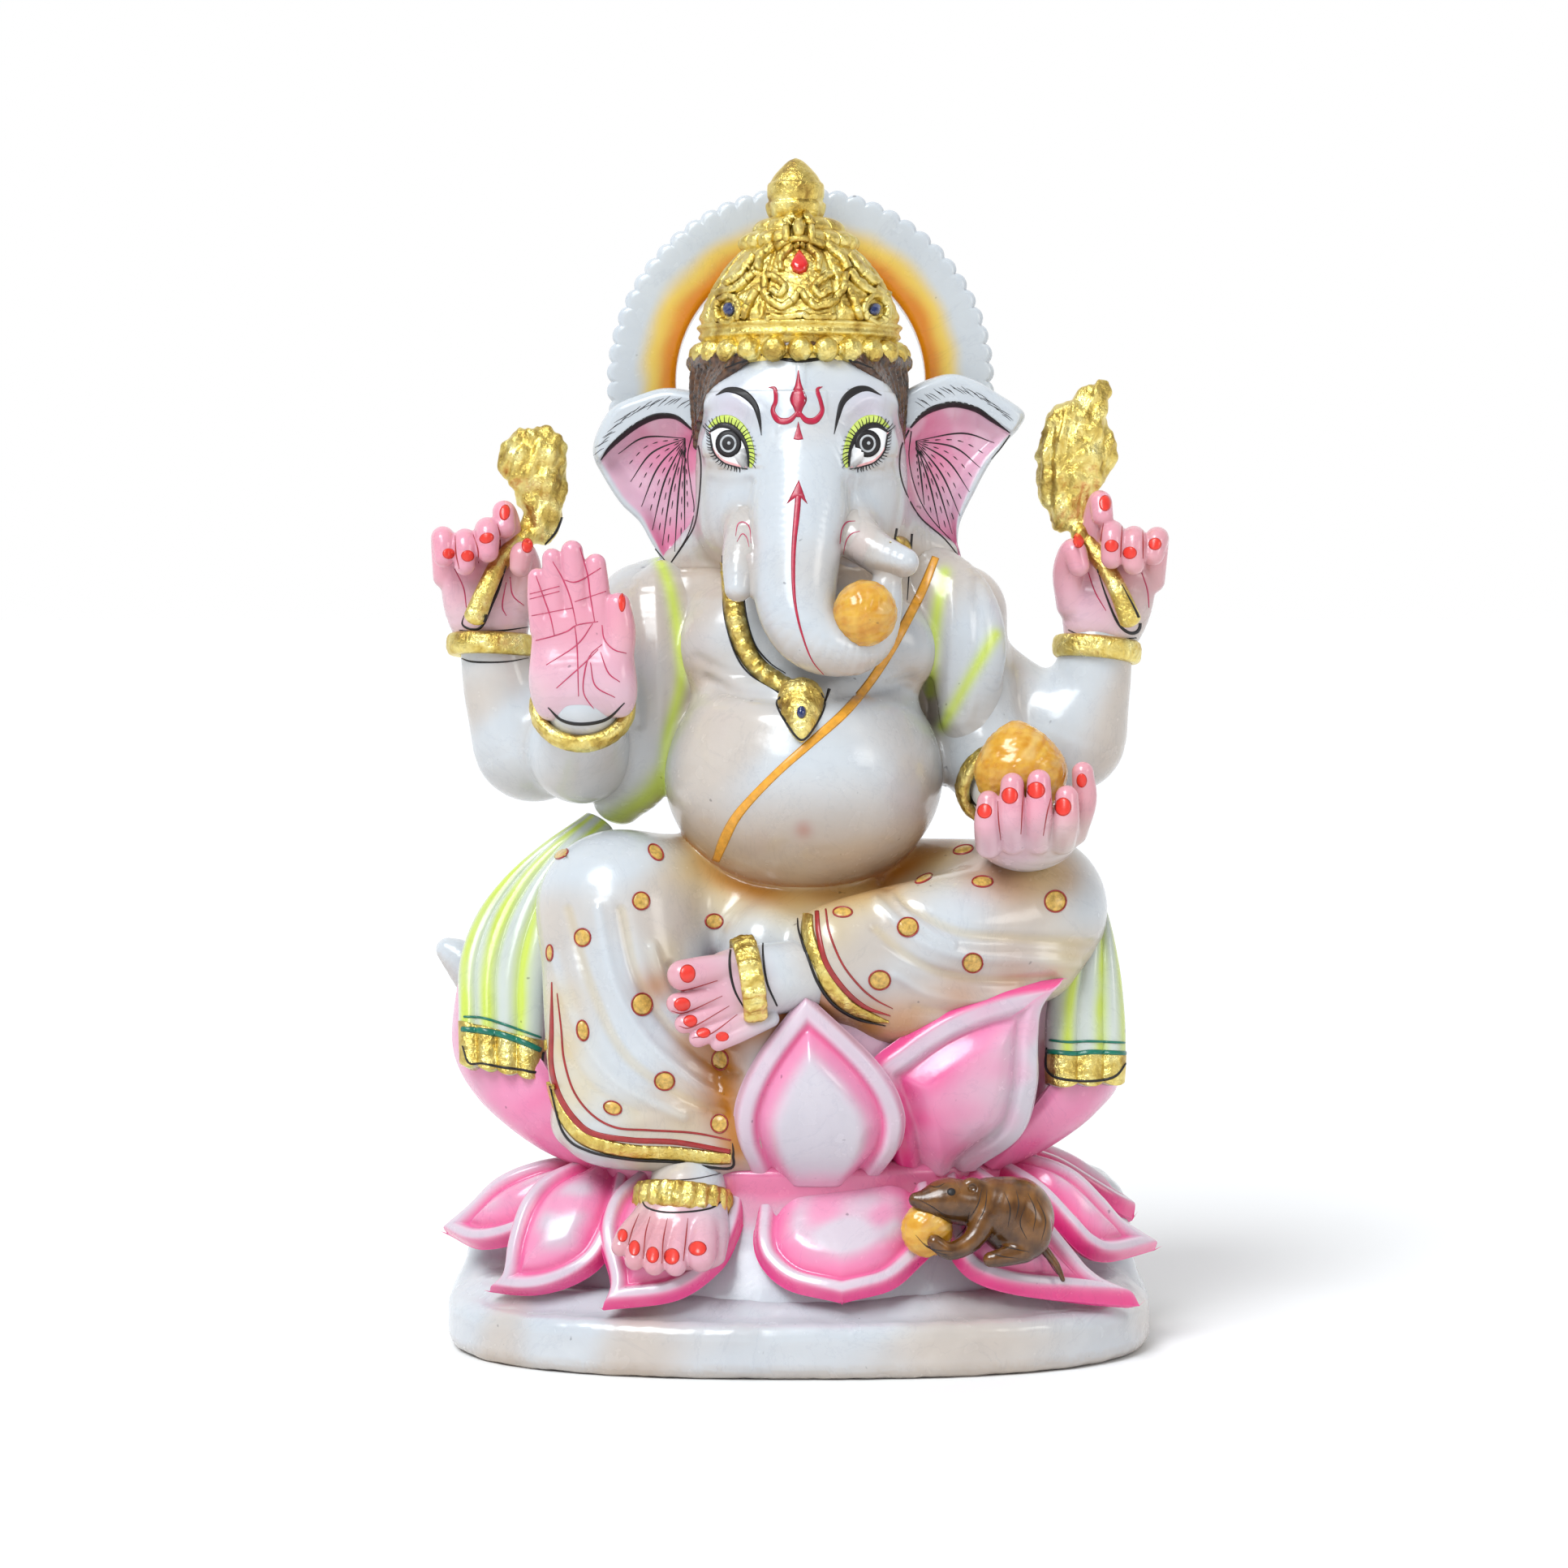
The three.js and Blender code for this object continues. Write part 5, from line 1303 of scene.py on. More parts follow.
# ---------- ears ----------
def ear(name, outline, centre, fold, hub):
    """A fan of stone: a thick white roll above the fold line and a hollow pink panel below it."""
    edge = evenly([(x, 0, z) for x, z in outline], 300)[:-1, [0, 2]]
    share = np.sin(np.linspace(0.02, 1, 64) * np.pi / 2)[:, None, None]
    grid = np.asarray(centre) + share * (edge - np.asarray(centre))[None]
    inside = (1 - share[..., 0]) * np.linalg.norm(edge - centre, axis=1)[None]
    side = np.sign(centre[0])
    order = sorted(fold)
    fold_z = np.interp(grid[..., 0], [x for x, _ in order], [z for _, z in order])
    above = grid[..., 1] - fold_z
    roll = smooth(-0.8, 1.0, above)
    rounding = np.sqrt(1 - (1 - np.clip(inside / 2.4, 0, 1)) ** 2)
    hollow = smooth(0, 6, inside) * smooth(0.5, -6, above)
    lean = 0.12 * np.abs(grid[..., 0] - side * 26)
    front = -3 + lean - (1.6 + 2.0 * roll) * rounding + 3.2 * hollow
    back = -3 + lean + 1.2 + 3.4 * rounding
    shell = np.concatenate([np.stack([grid[..., 0], front, grid[..., 1]], axis=-1),
                            np.stack([grid[..., 0], back, grid[..., 1]], axis=-1)[::-1]])
    points, faces = wrapped(shell)
    from_hub = np.linalg.norm(grid - np.asarray(hub), axis=-1)
    panel = mix(coat(tint(244, 132, 172), grid.shape[:2] + (3,)), PALE_PINK, smooth(2, 24, from_hub))
    cloud = soft_noise(shell[:64] * (1, 1, 0.5), 12)
    panel = mix(panel, tint(250, 204, 222), 0.7 * smooth(-0.1, 0.8, cloud))
    panel = mix(panel, tint(244, 104, 158), 0.7 * smooth(218, 206, grid[..., 1]))
    within = smooth(0.2, -0.3, above) * smooth(1.0, 2.2, inside)
    colour = np.array(WHITE) + (panel - np.array(WHITE)) * within[..., None]
    behind = coat(WHITE, colour.shape)
    colours = np.vstack([colour.reshape(-1, 3), behind.reshape(-1, 3), colour[0].mean(axis=0), WHITE])
    add_mesh(name, points, faces, STONE, [name], colours)


RIGHT_FOLD = [(-51, 227.7), (-48.5, 231), (-44, 235), (-40, 237.6), (-36, 239), (-31.5, 238.6),
              (-27.5, 235.5)]
LEFT_FOLD = [(28.8, 236), (31.5, 239), (35, 241), (40, 242), (45.6, 240.7), (50, 237.8), (54.4, 234.7)]
RIGHT_HUB = (-28.2, 234)
LEFT_HUB = (29.1, 233.3)


def ears():
    ear("right_ear",
        [(-24, 245), (-33.5, 246.4), (-40.5, 244.8), (-48, 241.4), (-52, 235), (-53, 229.4), (-50.5, 224),
         (-46, 217), (-41, 212), (-37.5, 206), (-33.4, 200.4), (-28, 206), (-24, 214),
         (-22.5, 226), (-24, 245)],
        (-33, 230), RIGHT_FOLD, RIGHT_HUB)
    ear("left_ear",
        [(24, 244), (32.8, 248.4), (39, 250), (45, 248.6), (51, 245.2), (58, 240.3), (56.6, 236),
         (53.8, 233), (49.2, 227), (45.4, 220), (41.6, 212), (41, 206), (41.8, 201.5), (35, 207),
         (28, 214), (23.5, 226), (24, 244)],
        (35, 230), LEFT_FOLD, LEFT_HUB)


# ---------- cloth ends ----------
def drape(name, outer, inner, flutes, lime):
    """A fluted end of the scarf between its two edges, from the top down to a gilt band."""
    rows, columns = 120, 120
    flute_depth, backing, gilding = 1.5, 1.6, 0.35
    a, b = evenly(outer, rows), evenly(inner, rows)
    share = np.linspace(0, 1, columns)[None, :]
    t = np.linspace(0, 1, rows)[:, None]
    flat = a[:, None] * (1 - share[..., None]) + b[:, None] * share[..., None]
    normals = grid_normals(flat, (0, -1, 0))
    wave = np.abs(np.sin(np.pi * flutes * share)) ** 0.75
    rounded = 3.0 * np.sqrt(np.clip(1 - (2 * share - 1) ** 2, 0, 1))
    top = flat + normals * (flute_depth * smooth(0, 0.35, t) * wave + rounded)[..., None]
    top[..., 2] -= 1.2 * (wave - 0.6) * smooth(0.9, 1.0, t)
    bottom = flat - normals * backing
    bottom[..., 2] -= 1.2 * (wave - 0.6) * smooth(0.9, 1.0, t)
    points, faces = sheeted(top, bottom)
    stripe = np.zeros_like(share)
    for middle in lime:
        stripe = np.maximum(stripe, bell(share, middle, 0.09))
    stripe = stripe * (0.85 + 0.2 * soft_noise(top, 20)) + 0 * t
    colour = mix(coat(WHITE, top.shape), SCARF_LIME, np.clip(stripe + 0.12, 0, 1))
    colours = np.concatenate([colour.reshape(-1, 3), colour.reshape(-1, 3)])
    add_mesh(name, points, faces, STONE, [name], colours)
    gilt = t[:, 0] > 0.855
    band_top = (top + normals * gilding)[gilt]
    band_bottom = (bottom - normals * gilding)[gilt]
    band_points, band_faces = sheeted(band_top, band_bottom)
    add_mesh(name + "_band", band_points, band_faces, GOLD)


def scarf_ends():
    drape("scarf_right_end",
          [(-55, 2, 136), (-66, 0, 128), (-76, -1, 119), (-83, -3, 110), (-87, -8, 99), (-87, -13, 87),
           (-86.4, -18, 73.5)],
          [(-48, -4, 133), (-55, -9, 125), (-60, -14, 115), (-63, -18, 105), (-64.6, -20, 95),
           (-65, -22, 83), (-65.4, -24, 70.5)],
          4, (0.13, 0.42, 0.8))
    drape("scarf_left_end",
          [(72, -12, 122), (69.4, -16, 111), (65.6, -20, 99), (63.2, -22, 87), (62.8, -24, 76),
           (63, -25, 69)],
          [(74, -6, 121), (78.4, -9, 111), (81.6, -13, 99), (83, -16, 87), (83.2, -18, 76),
           (82.8, -19, 69)],
          3, (0.2, 0.62, 0.95))


# ---------- bangles, anklets and hair ----------
def hoop(name, centre, axis, radius, half_height, half_depth, ribs=0, crumple=0.25):
    """A bangle: an oval band round an axis, with a hammered face."""
    around, section = 240, 40
    axis = np.asarray(axis, float) / np.linalg.norm(axis)
    across = np.cross(axis, (0, 1, 0.0))
    across /= np.linalg.norm(across)
    deep = np.cross(axis, across)
    turn = np.linspace(0, 2 * np.pi, around, endpoint=False)[:, None]
    lap = np.linspace(0, 2 * np.pi, section, endpoint=False)[None]
    out = radius + half_depth * np.sign(np.cos(lap)) * np.abs(np.cos(lap)) ** 0.8
    up = half_height * np.sign(np.sin(lap)) * np.abs(np.sin(lap)) ** 0.8
    if ribs:
        out = out + 0.35 * np.cos(ribs * turn) * (np.cos(lap) > 0)
    direction = np.cos(turn)[..., None] * across + np.sin(turn)[..., None] * deep
    points = np.asarray(centre, float) + direction * out[..., None] + axis * (up + 0 * turn)[..., None]
    points = points + direction * (crumple * 0.5 * rough_noise(points, 4.5) * (np.cos(lap) > 0))[..., None]
    index = np.arange(around * section).reshape(around, section)
    after, above = np.roll(index, -1, axis=0), np.roll(index, -1, axis=1)
    faces = np.stack([index, after, np.roll(after, -1, axis=1), above], axis=-1).reshape(-1, 4)
    flat = points.reshape(-1, 3)
    add_mesh(name, flat, outward(flat, [faces]), GOLD, [name])


def bangles():
    hoop("right_front_bangle", (-54.3, -30.4, 165.4), (0, -0.8, 0.6), 11.6, 2.6, 1.7)
    hoop("right_rear_bangle", (-79.2, 0, 180.2), (0.03, 0.1, 1), 9.9, 2.9, 1.9)
    hoop("left_rear_bangle", (77, 0, 179.2), (0.1, 0.1, 1), 9.7, 2.9, 1.9)
    hoop("left_front_bangle", (50.6, -21, 145.5), (0.3, -0.85, -0.42), 9.8, 2.6, 1.6)
    hoop("right_anklet", (-29, -37, 41.8), (0.1, 0.3, 1), 11, 3.4, 1.5, ribs=22, crumple=0.5)
    hoop("left_anklet", (-12.6, -43.6, 97.2), (1, 0.12, 0.14), 10.2, 3.0, 1.2, ribs=18, crumple=0.5)


def hair_paint(s):
    """Brown, streaked almost black."""
    brown = coat(tint(112, 74, 46), s.points.shape)
    return mix(brown, tint(40, 22, 14), 0.5 + 0.5 * soft_noise(s.points, 3.0))


def hair():
    """Locks combed down from under the crown, at each side of the forehead."""
    lumps = []
    for side in (-1, 1):
        for k in range(7):
            u = k / 6
            start = (side * (13 + 13 * u), -25.5 + 18 * u**1.4, 253)
            middle = (side * (18.6 + 8 * u), -22 + 14.5 * u, 248.6 - 2.6 * u)
            end = (side * (22.4 + 3.4 * u**0.6), -17.4 + 11 * u, 244.5 - 13 * u)
            lumps.append(tube([(*start, 1.3), (*middle, 1.5), (*end, 0.9 + 0.4 * u)], blend=0.4, step=1.2))
    lumps.append(tube([(-26.5, -4, 252.5, 2.4), (-20, -17.6, 253, 2.2), (0.2, -27.6, 255.4, 1.4),
                       (20, -17.6, 253, 2.2), (26.8, -4, 252.5, 2.4)], blend=1.0))
    carve("hair_band", ["hair_band"], 0.4, lumps=lumps, paint=hair_paint, slot="hair_paint",
          relief=lambda s: 0.12 * soft_noise(s.points * (1, 1, 1.6), 1.6))


# ---------- brush work ----------
class Brush:
    """One paint and the stone it is laid on. Strokes and patches are given as (x, z) places on the plane
    y = 0 as seen from EYE, and land on the nearest stone behind them as thin raised closed pieces."""

    def __init__(self, name, material, slot, *stones, nodes=(), rise=0.13):
        self.name = name
        self.material = material
        self.slot = slot
        self.nodes = nodes
        self.rise = rise
        self.stone = stone_tree(*stones)
        self.points = []
        self.faces = {}
        self.count = 0

    def touch(self, x, z, plane=None, slack=1.5):
        """Where a sight line through (x, z) meets the stone, and the normal there towards the eye. If that is
        further than slack from the plane, a (point, normal) pair, the plane's own place is given."""
        sight = (np.array([x, 0.0, z]) - EYE)
        sight /= np.linalg.norm(sight)
        place, normal, _, _ = self.stone.ray_cast(Vector(EYE), Vector(sight))
        if place is not None and normal.dot(Vector(sight)) > 0:
            normal = -normal
        if plane is not None:
            reach = (plane[0] - EYE) @ plane[1] / (sight @ plane[1])
            fallback = EYE + sight * reach
            if place is None or np.linalg.norm(np.array(place) - fallback) > slack:
                return fallback, plane[1]
        if place is None:
            return None, None
        return np.array(place), np.array(normal)

    def add(self, points, faces):
        for size, sheet in faces.items():
            self.faces.setdefault(size, []).append(np.asarray(sheet) + self.count)
        self.points.append(points)
        self.count += len(points)

    def stroke(self, stations, width=None, step=0.5, beaded=0.0):
        """A stroke through (x, z) places with one width, or through (x, z, width) places."""
        if width is not None:
            stations = [(x, z, width) for x, z in stations]
        path = spline([(x, 0, z, w) for x, z, w in stations], step)
        along = np.gradient(path[:, [0, 2]], axis=0)
        along /= np.maximum(np.linalg.norm(along, axis=1, keepdims=True), 1e-9)
        aside = np.stack([-along[:, 1], along[:, 0]], axis=1)
        rows = []
        for k, ((x, _, z, w), (dx, dz)) in enumerate(zip(path, aside)):
            middle, normal = self.touch(x, z)
            if middle is None or (rows and np.linalg.norm(middle - rows[-1][2]) > 4 * step + 3):
                if len(rows) > 1:
                    self.close_stroke(rows)
                rows = []
                continue
            if normal @ (EYE - middle) < 0.12 * np.linalg.norm(EYE - middle):
                normal = (EYE - middle) / np.linalg.norm(EYE - middle)
            height = self.rise * (1 + beaded * np.sin(1.9 * k * step))
            half = max(w, 0.06) / 2
            row = []
            for share, lift in ((-1, 0.15), (-0.6, 0.85), (0, 1), (0.6, 0.85), (1, 0.15)):
                place, _ = self.touch(x + share * half * dx, z + share * half * dz, (middle, normal))
                row.append(place + normal * height * lift)
            row.append(middle - normal * 0.25)
            rows.append(row)
        if len(rows) > 1:
            self.close_stroke(rows)

    def close_stroke(self, rows):
        """Adds the closed skin round a stroke's rows of points."""
        loop = len(rows[0])
        points = np.array(rows).reshape(-1, 3)
        index = np.arange(len(points)).reshape(len(rows), loop)
        after = np.roll(index, -1, axis=1)
        sides = np.stack([index[:-1], index[1:], after[1:], after[:-1]], axis=-1).reshape(-1, 4)
        self.add(points, {4: sides, loop: np.stack([index[0], index[-1][::-1]])})

    def patch(self, centre, outline, rise=None, rings=5, base=0.02):
        """A shape filled inside an outline of (x, z) offsets from its centre, domed by rise."""
        rise = rise or self.rise
        middle, normal = self.touch(*centre)
        if middle is None:
            return
        outline = np.asarray(outline, float)
        count = len(outline)
        slack = 1.5 + 0.9 * np.linalg.norm(outline, axis=1).max()
        points = [middle + normal * (rise + base)]
        for ring in range(1, rings + 1):
            share = ring / rings
            lift = rise * math.sqrt(max(1 - share**2, 0)) + base
            for dx, dz in outline:
                place, _ = self.touch(centre[0] + share * dx, centre[1] + share * dz, (middle, normal),
                                      slack)
                points.append(place + normal * lift)
        points.append(middle - normal * 0.4)
        index = 1 + np.arange(rings * count).reshape(rings, count)
        after = np.roll(index, -1, axis=1)
        cap = np.stack([np.zeros(count, int), index[0], after[0]], axis=-1)
        sides = np.stack([index[:-1], index[1:], after[1:], after[:-1]], axis=-1).reshape(-1, 4)
        under = np.stack([np.full(count, rings * count + 1), after[-1], index[-1]], axis=-1)
        self.add(np.array(points), {3: np.vstack([cap, under]), 4: sides})

    def dab(self, x, z, radius_x, radius_z=None, lean=0.0, rise=None, base=0.02):
        """An oval spot, leaning by degrees."""
        self.patch((x, z), oval(radius_x, radius_z or radius_x, lean), rise, base=base)

    def ring(self, x, z, radius_x, radius_z, lean, width):
        outline = oval(radius_x, radius_z, lean, 20)
        self.stroke([(x + dx, z + dz) for dx, dz in [*outline, *outline[:2]]], width)

    def dry(self):
        """Puts the brush down: the work becomes one piece."""
        faces = [np.vstack(sheets) for _, sheets in sorted(self.faces.items())]
        return add_mesh(self.name, np.vstack(self.points), faces, self.material, self.nodes)


def oval(radius_x, radius_z, lean=0.0, count=28):
    turn = np.linspace(0, 2 * np.pi, count, endpoint=False)
    cos, sin = math.cos(math.radians(lean)), math.sin(math.radians(lean))
    u, v = radius_x * np.cos(turn), radius_z * np.sin(turn)
    return np.stack([u * cos - v * sin, u * sin + v * cos], axis=1)


def stone_tree(*names):
    """The finished skins of some pieces, ready to be touched."""
    points, faces, start = [], [], 0
    for name in names:
        own, sheets = FINISHED[name]
        points.extend(own.tolist())
        for sheet in sheets:
            faces.extend((sheet + start).tolist())
        start += len(own)
    return BVHTree.FromPolygons(points, faces)


def paint_face():
    brow = Brush("brows", BLACK, "black_line_paint", "head")
    brow.stroke([(-21.3, 244.6, 0.2), (-18.3, 246, 1.3), (-14.5, 245.2, 2.0), (-11.5, 242.4, 1.6),
                 (-10.2, 238.6, 1.0), (-9.6, 234.3, 0.15)])
    brow.stroke([(21.3, 244.6, 0.2), (17.6, 246.3, 1.3), (14.2, 245.6, 2.0), (11.4, 243, 1.6),
                 (10.1, 239, 1.0), (9.1, 234.6, 0.15)])
    brow.dry()
    for side, name in ((-1, "right_eye"), (1, "left_eye")):
        paint_eye(name, side)
    crimson = Brush("forehead_mark", CRIMSON, "crimson_paint", "head")
    crimson.stroke([(-0.1, 251.1, 0.2), (-0.1, 247.5, 1.6), (-0.1, 243.7, 4.4), (-0.1, 241.2, 2.4),
                    (-0.1, 239, 0.9)])
    crimson.stroke([(-7.7, 246.6, 0.15), (-6.2, 246.3, 1.0), (-5.9, 243.3, 1.1), (-6.7, 240.6, 1.2),
                    (-5.2, 238.2, 1.7), (-2.4, 238.2, 1.5), (-0.2, 240.4, 0.8)])
    crimson.stroke([(6.1, 246.8, 0.15), (4.8, 246, 1.0), (5.7, 242.8, 1.1), (6, 240.4, 1.2),
                    (4.3, 238.2, 1.7), (1.9, 238.2, 1.5), (0, 240.4, 0.8)])
    crimson.patch((-0.1, 234.6), [(0, 3.4), (0.7, 0.6), (1.3, -1.3), (0, -1.5), (-1.3, -1.3), (-0.7, 0.6)])
    crimson.patch((-0.2, 219),
                  [(0.2, 3.9), (1.3, 0.9), (2.5, -2.4), (0.4, -0.4), (-0.2, -0.4), (-3, -2.4), (-1.3, 0.9)])
    crimson.stroke([(-0.1, 219, 1.5), (-0.5, 214, 1.6), (-1.1, 208, 1.3), (-1.4, 202, 1.1),
                    (-1.3, 195, 0.9), (-0.7, 189.6, 0.7), (0.9, 183, 0.55), (3.5, 176.3, 0.35),
                    (7.4, 171.7, 0.1)])
    crimson.dry()
    arcs = Brush("tusk_arcs", PALM_RED, "crimson_paint", "head", "right_tusk", "left_tusk")
    arcs.stroke([(-16.3, 208.4, 0.1), (-15.7, 211.4, 0.3), (-14.2, 212, 0.35), (-12.7, 210.6, 0.3),
                 (-12.3, 206.6, 0.1)])
    arcs.stroke([(-15.9, 207, 0.1), (-14.6, 209, 0.28), (-13.4, 208, 0.28), (-12.8, 205.6, 0.1)])
    arcs.stroke([(10.6, 206.4, 0.1), (11.1, 210, 0.3), (12.4, 212, 0.35), (14.6, 212.3, 0.1)])
    arcs.stroke([(11.5, 203.6, 0.1), (12.2, 207, 0.28), (13.6, 209, 0.28), (15.8, 209.7, 0.1)])
    arcs.dry()


def paint_eye(name, side):
    """An almond of white, a ringed iris with a painted highlight dot, black lids with lashes, and a lime
    crescent above.
    """
    x = 17.9 * side - 0.2
    z = 232.2
    upper = [(22.9, 235.2), (20.4, 236.8), (17.6, 236.5), (15.1, 234.5), (13.3, 230.8), (12.9, 226.2)]
    lower = [(22.9, 234.6), (22, 230.3), (19.6, 227.5), (16.4, 226.3), (13.2, 225.6)]
    crescent = [(23.2, 236.4), (20.6, 238.3), (17.4, 238.3), (14.6, 236), (12.8, 232.3), (12.1, 228.4),
                (12.4, 226)]

    def here(line):
        return [(side * px, pz) for px, pz in line]

    white = Brush(name + "_white", EYE_WHITE, "white_marble", "head", rise=0.08)
    middle = (side * 18.2, 231.2)
    almond = [(dx - middle[0], dz - middle[1]) for dx, dz in here(upper[:5]) + here(lower)[::-1]]
    rim = evenly([(dx, 0, dz) for dx, dz in [*almond, almond[0]]], 49)[:-1, [0, 2]]
    white.patch(middle, rim, rings=10)
    white.dry()
    lime = Brush(name + "_lid", LIME, "green_paint", "head", rise=0.07)
    widths = (0.7, 1.9, 2.1, 2.1, 1.9, 1.6, 0.7)
    lime.stroke([(*place, w) for place, w in zip(here(crescent), widths)])
    lime.dry()
    pink = Brush(name + "_lower_lid", LID_PINK, "skin_paint", "head", rise=0.12)
    widths = (0.3, 0.6, 0.8, 0.8, 0.3)
    pink.stroke([(px + side * 0.1, pz + 0.5, w) for (px, pz), w in zip(here(lower), widths)])
    pink.dry()
    black = Brush(name + "_lines", BLACK, "black_line_paint", "head", rise=0.24)
    black.dab(x, z, 3.35, 3.55, rise=0.1, base=0.2)
    black.stroke([(*place, w) for place, w in zip(here(upper), (0.4, 1.3, 1.6, 1.4, 0.9, 0.3))])
    black.stroke([(*place, w) for place, w in zip(here(lower), (0.4, 0.6, 0.45, 0.4, 0.15))])
    for line, low, high, length, count in ((lower, 0.0, 0.86, 1.3, 19), (upper, 0.0, 0.92, 2.5, 22)):
        path = evenly([(px, 0, pz) for px, pz in here(line)], 60)[:, [0, 2]]
        for k in range(count):
            at = path[int(59 * (low + (high - low) * k / (count - 1)))]
            out = at - np.array([x - side * 0.4, z - 1.0])
            out /= np.linalg.norm(out)
            swing = np.array([-out[1], out[0]]) * side * 0.25
            tip = at + out * length + swing
            black.stroke([(*at, 0.34), (*(at + out * length * 0.55), 0.24), (*tip, 0.06)], step=0.4)
    black.dry()
    grey = Brush(name + "_iris_and_highlight", GREY, "white_marble", "head", rise=0.42)
    grey.ring(x, z, 1.85, 2.0, 0, 0.75)
    # painted highlight: a small grey dot just off the middle of the pupil
    grey.dab(x + 0.2, z + 0.1, 0.45, 0.45, rise=0.1, base=0.4)
    grey.dry()


def paint_ears():
    black = Brush("ear_lines", BLACK, "black_line_paint", "right_ear", "left_ear", "head")
    for side, fold, hub in ((-1, RIGHT_FOLD, RIGHT_HUB), (1, LEFT_FOLD, LEFT_HUB)):
        widths = (0.25, 1.1, 1.5, 1.6, 1.6, 1.2, 0.5)
        if side > 0:
            widths = widths[::-1]
        black.stroke([(x, z + 0.3, w) for (x, z), w in zip(fold, widths)])
        ends = ear_fan(side)
        for k, (end, bend) in enumerate(ends):
            u = k / (len(ends) - 1)
            start = (hub[0] + side * 1.0, hub[1] - 0.4 - 0.4 * u)
            middle = ((start[0] + end[0]) / 2 + bend[0], (start[1] + end[1]) / 2 + bend[1])
            if k % 2 == 0:
                black.stroke([(*start, 0.14), (*middle, 0.45), (*end, 0.14)])
            else:
                path = evenly([(start[0], 0, start[1]), (middle[0], 0, middle[1]), (end[0], 0, end[1])],
                              41)[:, [0, 2]]
                for first in range(4, 38, 6):
                    black.stroke([(*path[first], 0.12), (*path[first + 1], 0.3),
                                  (*path[first + 3], 0.12)], step=0.4)
    right_side = [(-27, 234.6, 0.5), (-25.6, 230.3, 0.45), (-25.2, 225, 0.4), (-25.8, 217, 0.4),
                  (-27, 211, 0.4), (-29.6, 206.4, 0.4), (-33.4, 200.8, 0.2)]
    black.stroke(right_side)
    black.stroke([(-27.4, 234.5, 0.35), (-28.6, 229, 0.25), (-27.8, 221.4, 0.25), (-27, 215, 0.25),
                  (-28.6, 208.7, 0.25), (-33, 201.6, 0.2)])
    black.stroke([(-41.6, 212.4, 0.12), (-38.4, 207, 0.3), (-33.6, 201, 0.3)])
    black.stroke([(28.4, 235.7, 0.5), (26.4, 231.1, 0.45), (26.1, 225.1, 0.4), (27.9, 219.1, 0.4),
                  (31.4, 213.2, 0.4), (37.4, 207.9, 0.4), (41.2, 203.4, 0.3)])
    black.stroke([(29, 235.4, 0.35), (28.4, 229, 0.25), (29.4, 223, 0.25), (31.6, 217, 0.25),
                  (34.6, 212.4, 0.25), (39.4, 207.2, 0.2)])
    black.stroke([(54.4, 234.4, 0.3), (52, 231, 0.35), (49.6, 228.2, 0.12)])
    black.dry()
    fine = Brush("ear_hairs", BLACK, "black_line_paint", "right_ear", "left_ear", rise=0.08)
    for side, line in (
        (-1, [(-28, 242.5), (-34, 243.4), (-40, 241.6), (-46, 238), (-50, 233), (-51.6, 230)]),
        (1, [(31, 242.4), (36, 245.4), (41, 246.2), (46, 244.8), (50.5, 241.8), (54, 239)]),
    ):
        path = evenly([(x, 0, z) for x, z in line], 30)[:, [0, 2]]
        for k, (x, z) in enumerate(path):
            lift = 0.5 * math.sin(2.4 * k)
            reach = 1.5 + 0.3 * math.sin(1.7 * k)
            fine.stroke([(x - side * reach * 0.7, z + 0.6 + lift, 0.08), (x, z + lift * 0.8, 0.17),
                         (x + side * reach, z - 1.1 + lift, 0.06)], step=0.5)
    fine.dry()


def ear_fan(side):
    """The far ends of the fan's lines, from the fold down to the ear's tip, and how each line bows."""
    if side < 0:
        edge = [(-46.5, 229.6), (-44.6, 226), (-43.4, 222.4), (-41.8, 219.6), (-40.6, 216),
                (-38.8, 213.4), (-37.8, 210), (-36.4, 208), (-35.2, 206), (-34, 204.6), (-32, 204.4),
                (-30.4, 206.6), (-29.4, 210), (-28.6, 214.5)]
    else:
        edge = [(50.4, 232.4), (48.8, 229), (46.8, 226), (45.6, 222.6), (44, 219.8), (42.6, 216.6),
                (41.6, 213.6), (40.6, 211), (39.6, 209), (38.4, 208.8), (36.4, 210.4), (34.4, 213),
                (32.4, 216.4), (31, 220.5)]
    bows = [(side * 1.8 * (1 - k / 13), 2.2 * (1 - k / 13)) for k in range(len(edge))]
    return list(zip(edge, bows))


